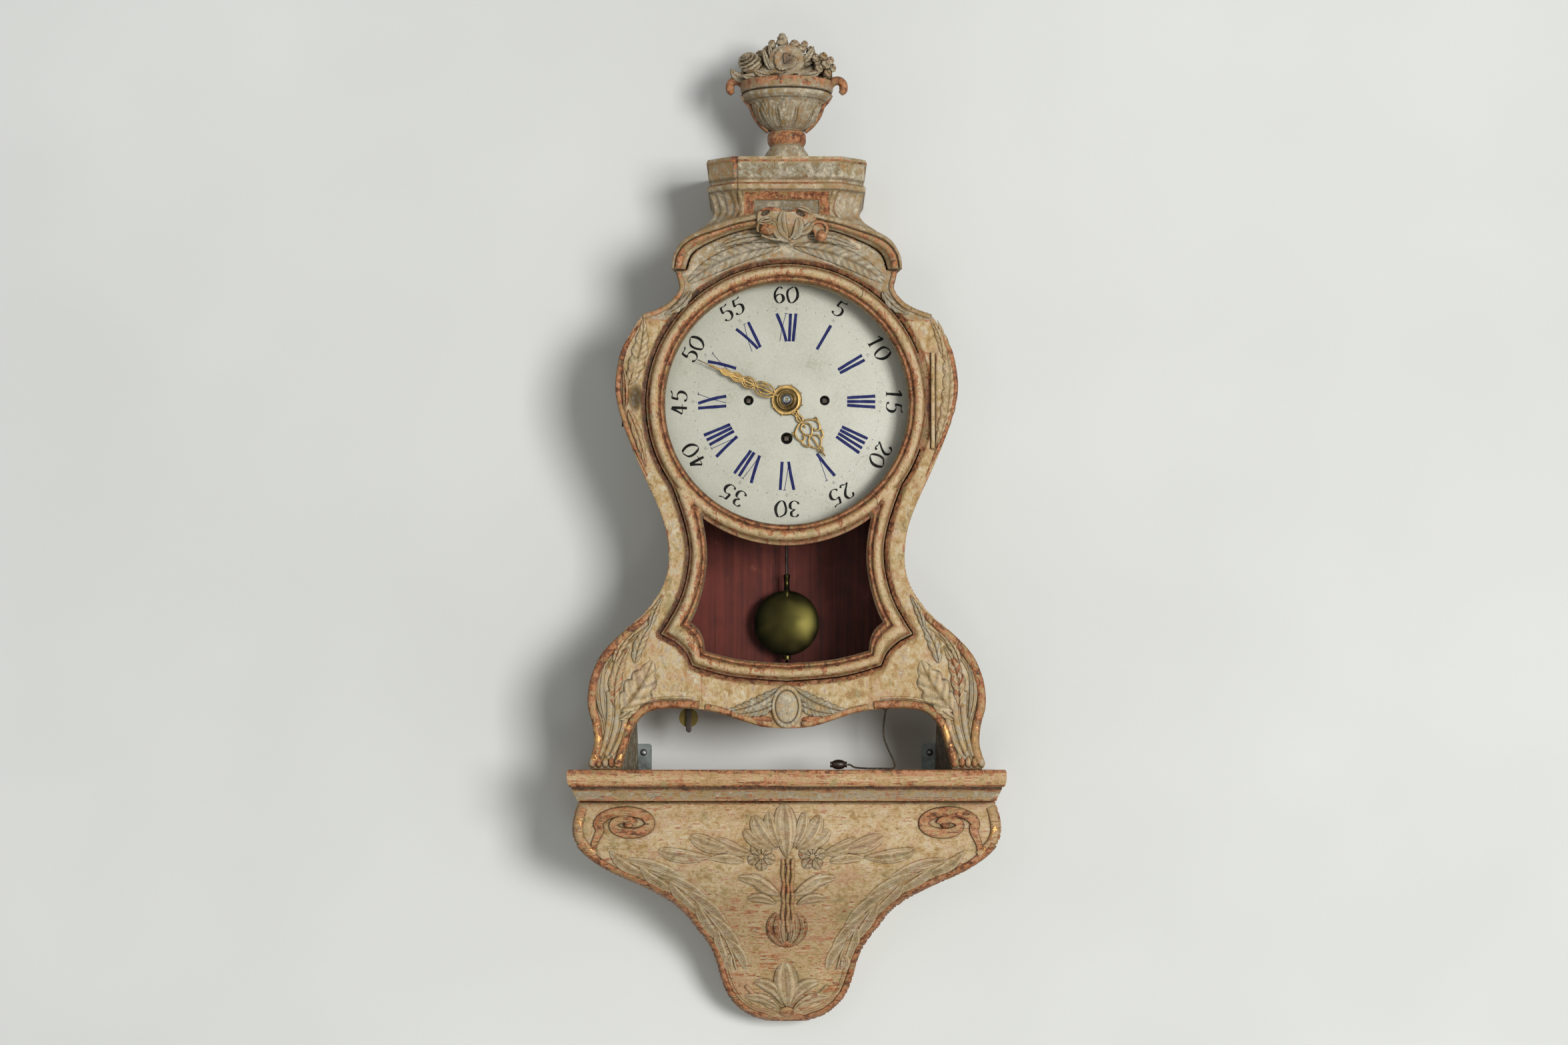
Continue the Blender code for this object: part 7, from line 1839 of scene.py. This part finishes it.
# Pendulum, pulley and small hardware
def add_pendulum():
    shape = Shape()
    half = BOB_THICKNESS / 2
    turn = np.linspace(0, 1, 26)
    lens = [(BOB_RADIUS * t, -half * (0.14 + 0.86 * (1 - t ** 2) ** 0.8)) for t in turn]
    lens = lens + [(r, -y) for r, y in reversed(lens)]
    add_turned(shape, lens, (0.0, PENDULUM_Y, BOB_HEIGHT), "Y", 96)
    top = BOB_HEIGHT + BOB_RADIUS
    sleeve = [(0.0, top - 0.006), (0.0036, top - 0.006), (0.0036, top + 0.002), (0.0030, top + 0.0028),
              (0.0030, top + 0.0125), (0.0036, top + 0.0133), (0.0036, top + 0.0158), (0.0026, top + 0.017),
              (0.0, top + 0.017)]
    add_turned(shape, sleeve, (0.0, PENDULUM_Y, 0.0), "Z", 32)
    foot = BOB_HEIGHT - BOB_RADIUS
    thread = [(0.0, foot + 0.004)]
    for k in range(24):
        z = foot + 0.003 - SCREW_REACH * k / 24
        thread += [(SCREW_RADIUS, z), (SCREW_RADIUS * 0.82, z - SCREW_REACH / 48)]
    add_turned(shape, thread + [(0.0, foot + 0.003 - SCREW_REACH)], (0.0, PENDULUM_Y, 0.0), "Z", 20)
    shape.build("lens_bob", BOB_BRASS, "pendulum", "brass", ["pendulum_bob"])


def add_pulley_strap():
    """The narrow iron strap that folds over the pulley wheel, with its axle riveted through."""
    shape = Shape()
    low, high = (np.array(corner) - (0, 0, LIFT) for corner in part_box("pulley_fork"))
    wheel = [np.array(corner) - (0, 0, LIFT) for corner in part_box("pulley_wheel")]
    x, axle = (low[0] + high[0]) / 2, (wheel[0][2] + wheel[1][2]) / 2
    half, thick = 0.0027, 0.0012
    end = arc((x, low[2] + half), half, 180, 360, 16)
    outline = joined(end, [(x + half, high[2]), (x - half, high[2])])
    for front in (low[1], high[1] - thick):
        add_board(shape, [outline], flat(front), thick, 0.0007, arris=0.0003, ripple=0.00008)
    bridge = joined([(x - half, high[2] - thick), (x + half, high[2] - thick), (x + half, high[2]),
                     (x - half, high[2])])
    add_board(shape, [resampled(np.vstack((bridge, bridge[:1])), 24)[:-1]], flat(low[1]), high[1] - low[1],
              0.0006, arris=0.0002)
    pin = [(0.0, low[1]), (0.0014, low[1]), (0.0014, high[1]), (0.0, high[1])]
    add_turned(shape, pin, (x, 0.0, axle), "Y", 20)
    shape.build("pulley_strap", IRON, "case", "iron", ["pulley_fork"])


def add_screws():
    shape = Shape()
    for sign in (-1, 1):
        centre = (sign * 0.149, -0.0028, 0.018)
        dome = [(0.0, 0.0005), (0.0036, 0.0005), (0.0036, 0.0), (0.0033, -0.0007), (0.0024, -0.0014),
                (0.0012, -0.0017), (0.0, -0.0017)]
        add_turned(shape, dome, centre, "Y", 24)
        slot = np.column_stack((np.linspace(-0.0028, 0.0028, 6),
                                np.linspace(-0.0012, 0.0012, 6))) + (centre[0], centre[2])
        add_roll(shape, flat(centre[1] - 0.0013), slot, 0.00045, 0.0004, 5, dark=1.0)
    shape.build("wall_screws", STEEL, "case", "steel")


def dress(look, *names, crease=30):
    """A better material and smooth shading for solids that stay as they are."""
    for name in names:
        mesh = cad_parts[name].data
        mesh.materials.clear()
        mesh.materials.append(look)
        mesh.shade_smooth()
        mesh.set_sharp_from_angle(angle=math.radians(crease))


def dress_back():
    """The case back is red inside and bare behind."""
    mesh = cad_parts["case_back"].data
    dress(RED_PAINT, "case_back")
    mesh.materials.append(BARE_WOOD)
    for face in mesh.polygons:
        face.material_index = int(face.normal.y > 0.5)


add_shelf()
add_shield()
add_front()
add_apron_shell()
add_cresting()
add_sides()
add_roof()
add_cap()
add_urn()
add_flowers()
add_door()
add_dial()
add_hands()
add_pendulum()
add_pulley_strap()
add_screws()
dress_back()
dress(BARE_WOOD, "bracket_back", "case_floor", "seat_board")
dress(SIDE_PAINT, "bracket_rim")
dress(ZINC, "wall_plate_left", "wall_plate_right")
dress(DARK_BRASS, "pulley_wheel")
dress(BOB_BRASS, "rating_nut")
dress(GLASS, "dial_glass", "pendulum_glass")
dress(BRASS, "front_plate", "back_plate", "going_barrel", "strike_barrel", "chime_barrel", "centre_wheel",
      "third_wheel", "escape_wheel", "minute_wheel", "hour_wheel", "back_cock", "bell", "latch_keeper")
dress(STEEL, "going_spring", "pallets", "cannon_pinion", "bell_stand",
      "strike_hammer", "hand_nut")
dress(DOOR_PAINT, "hinge_door_leaf", "hinge_case_leaf")
dress(IRON, "door_latch", "hinge_pin", "pendulum_rod", "going_arbor", "strike_arbor", "chime_arbor")
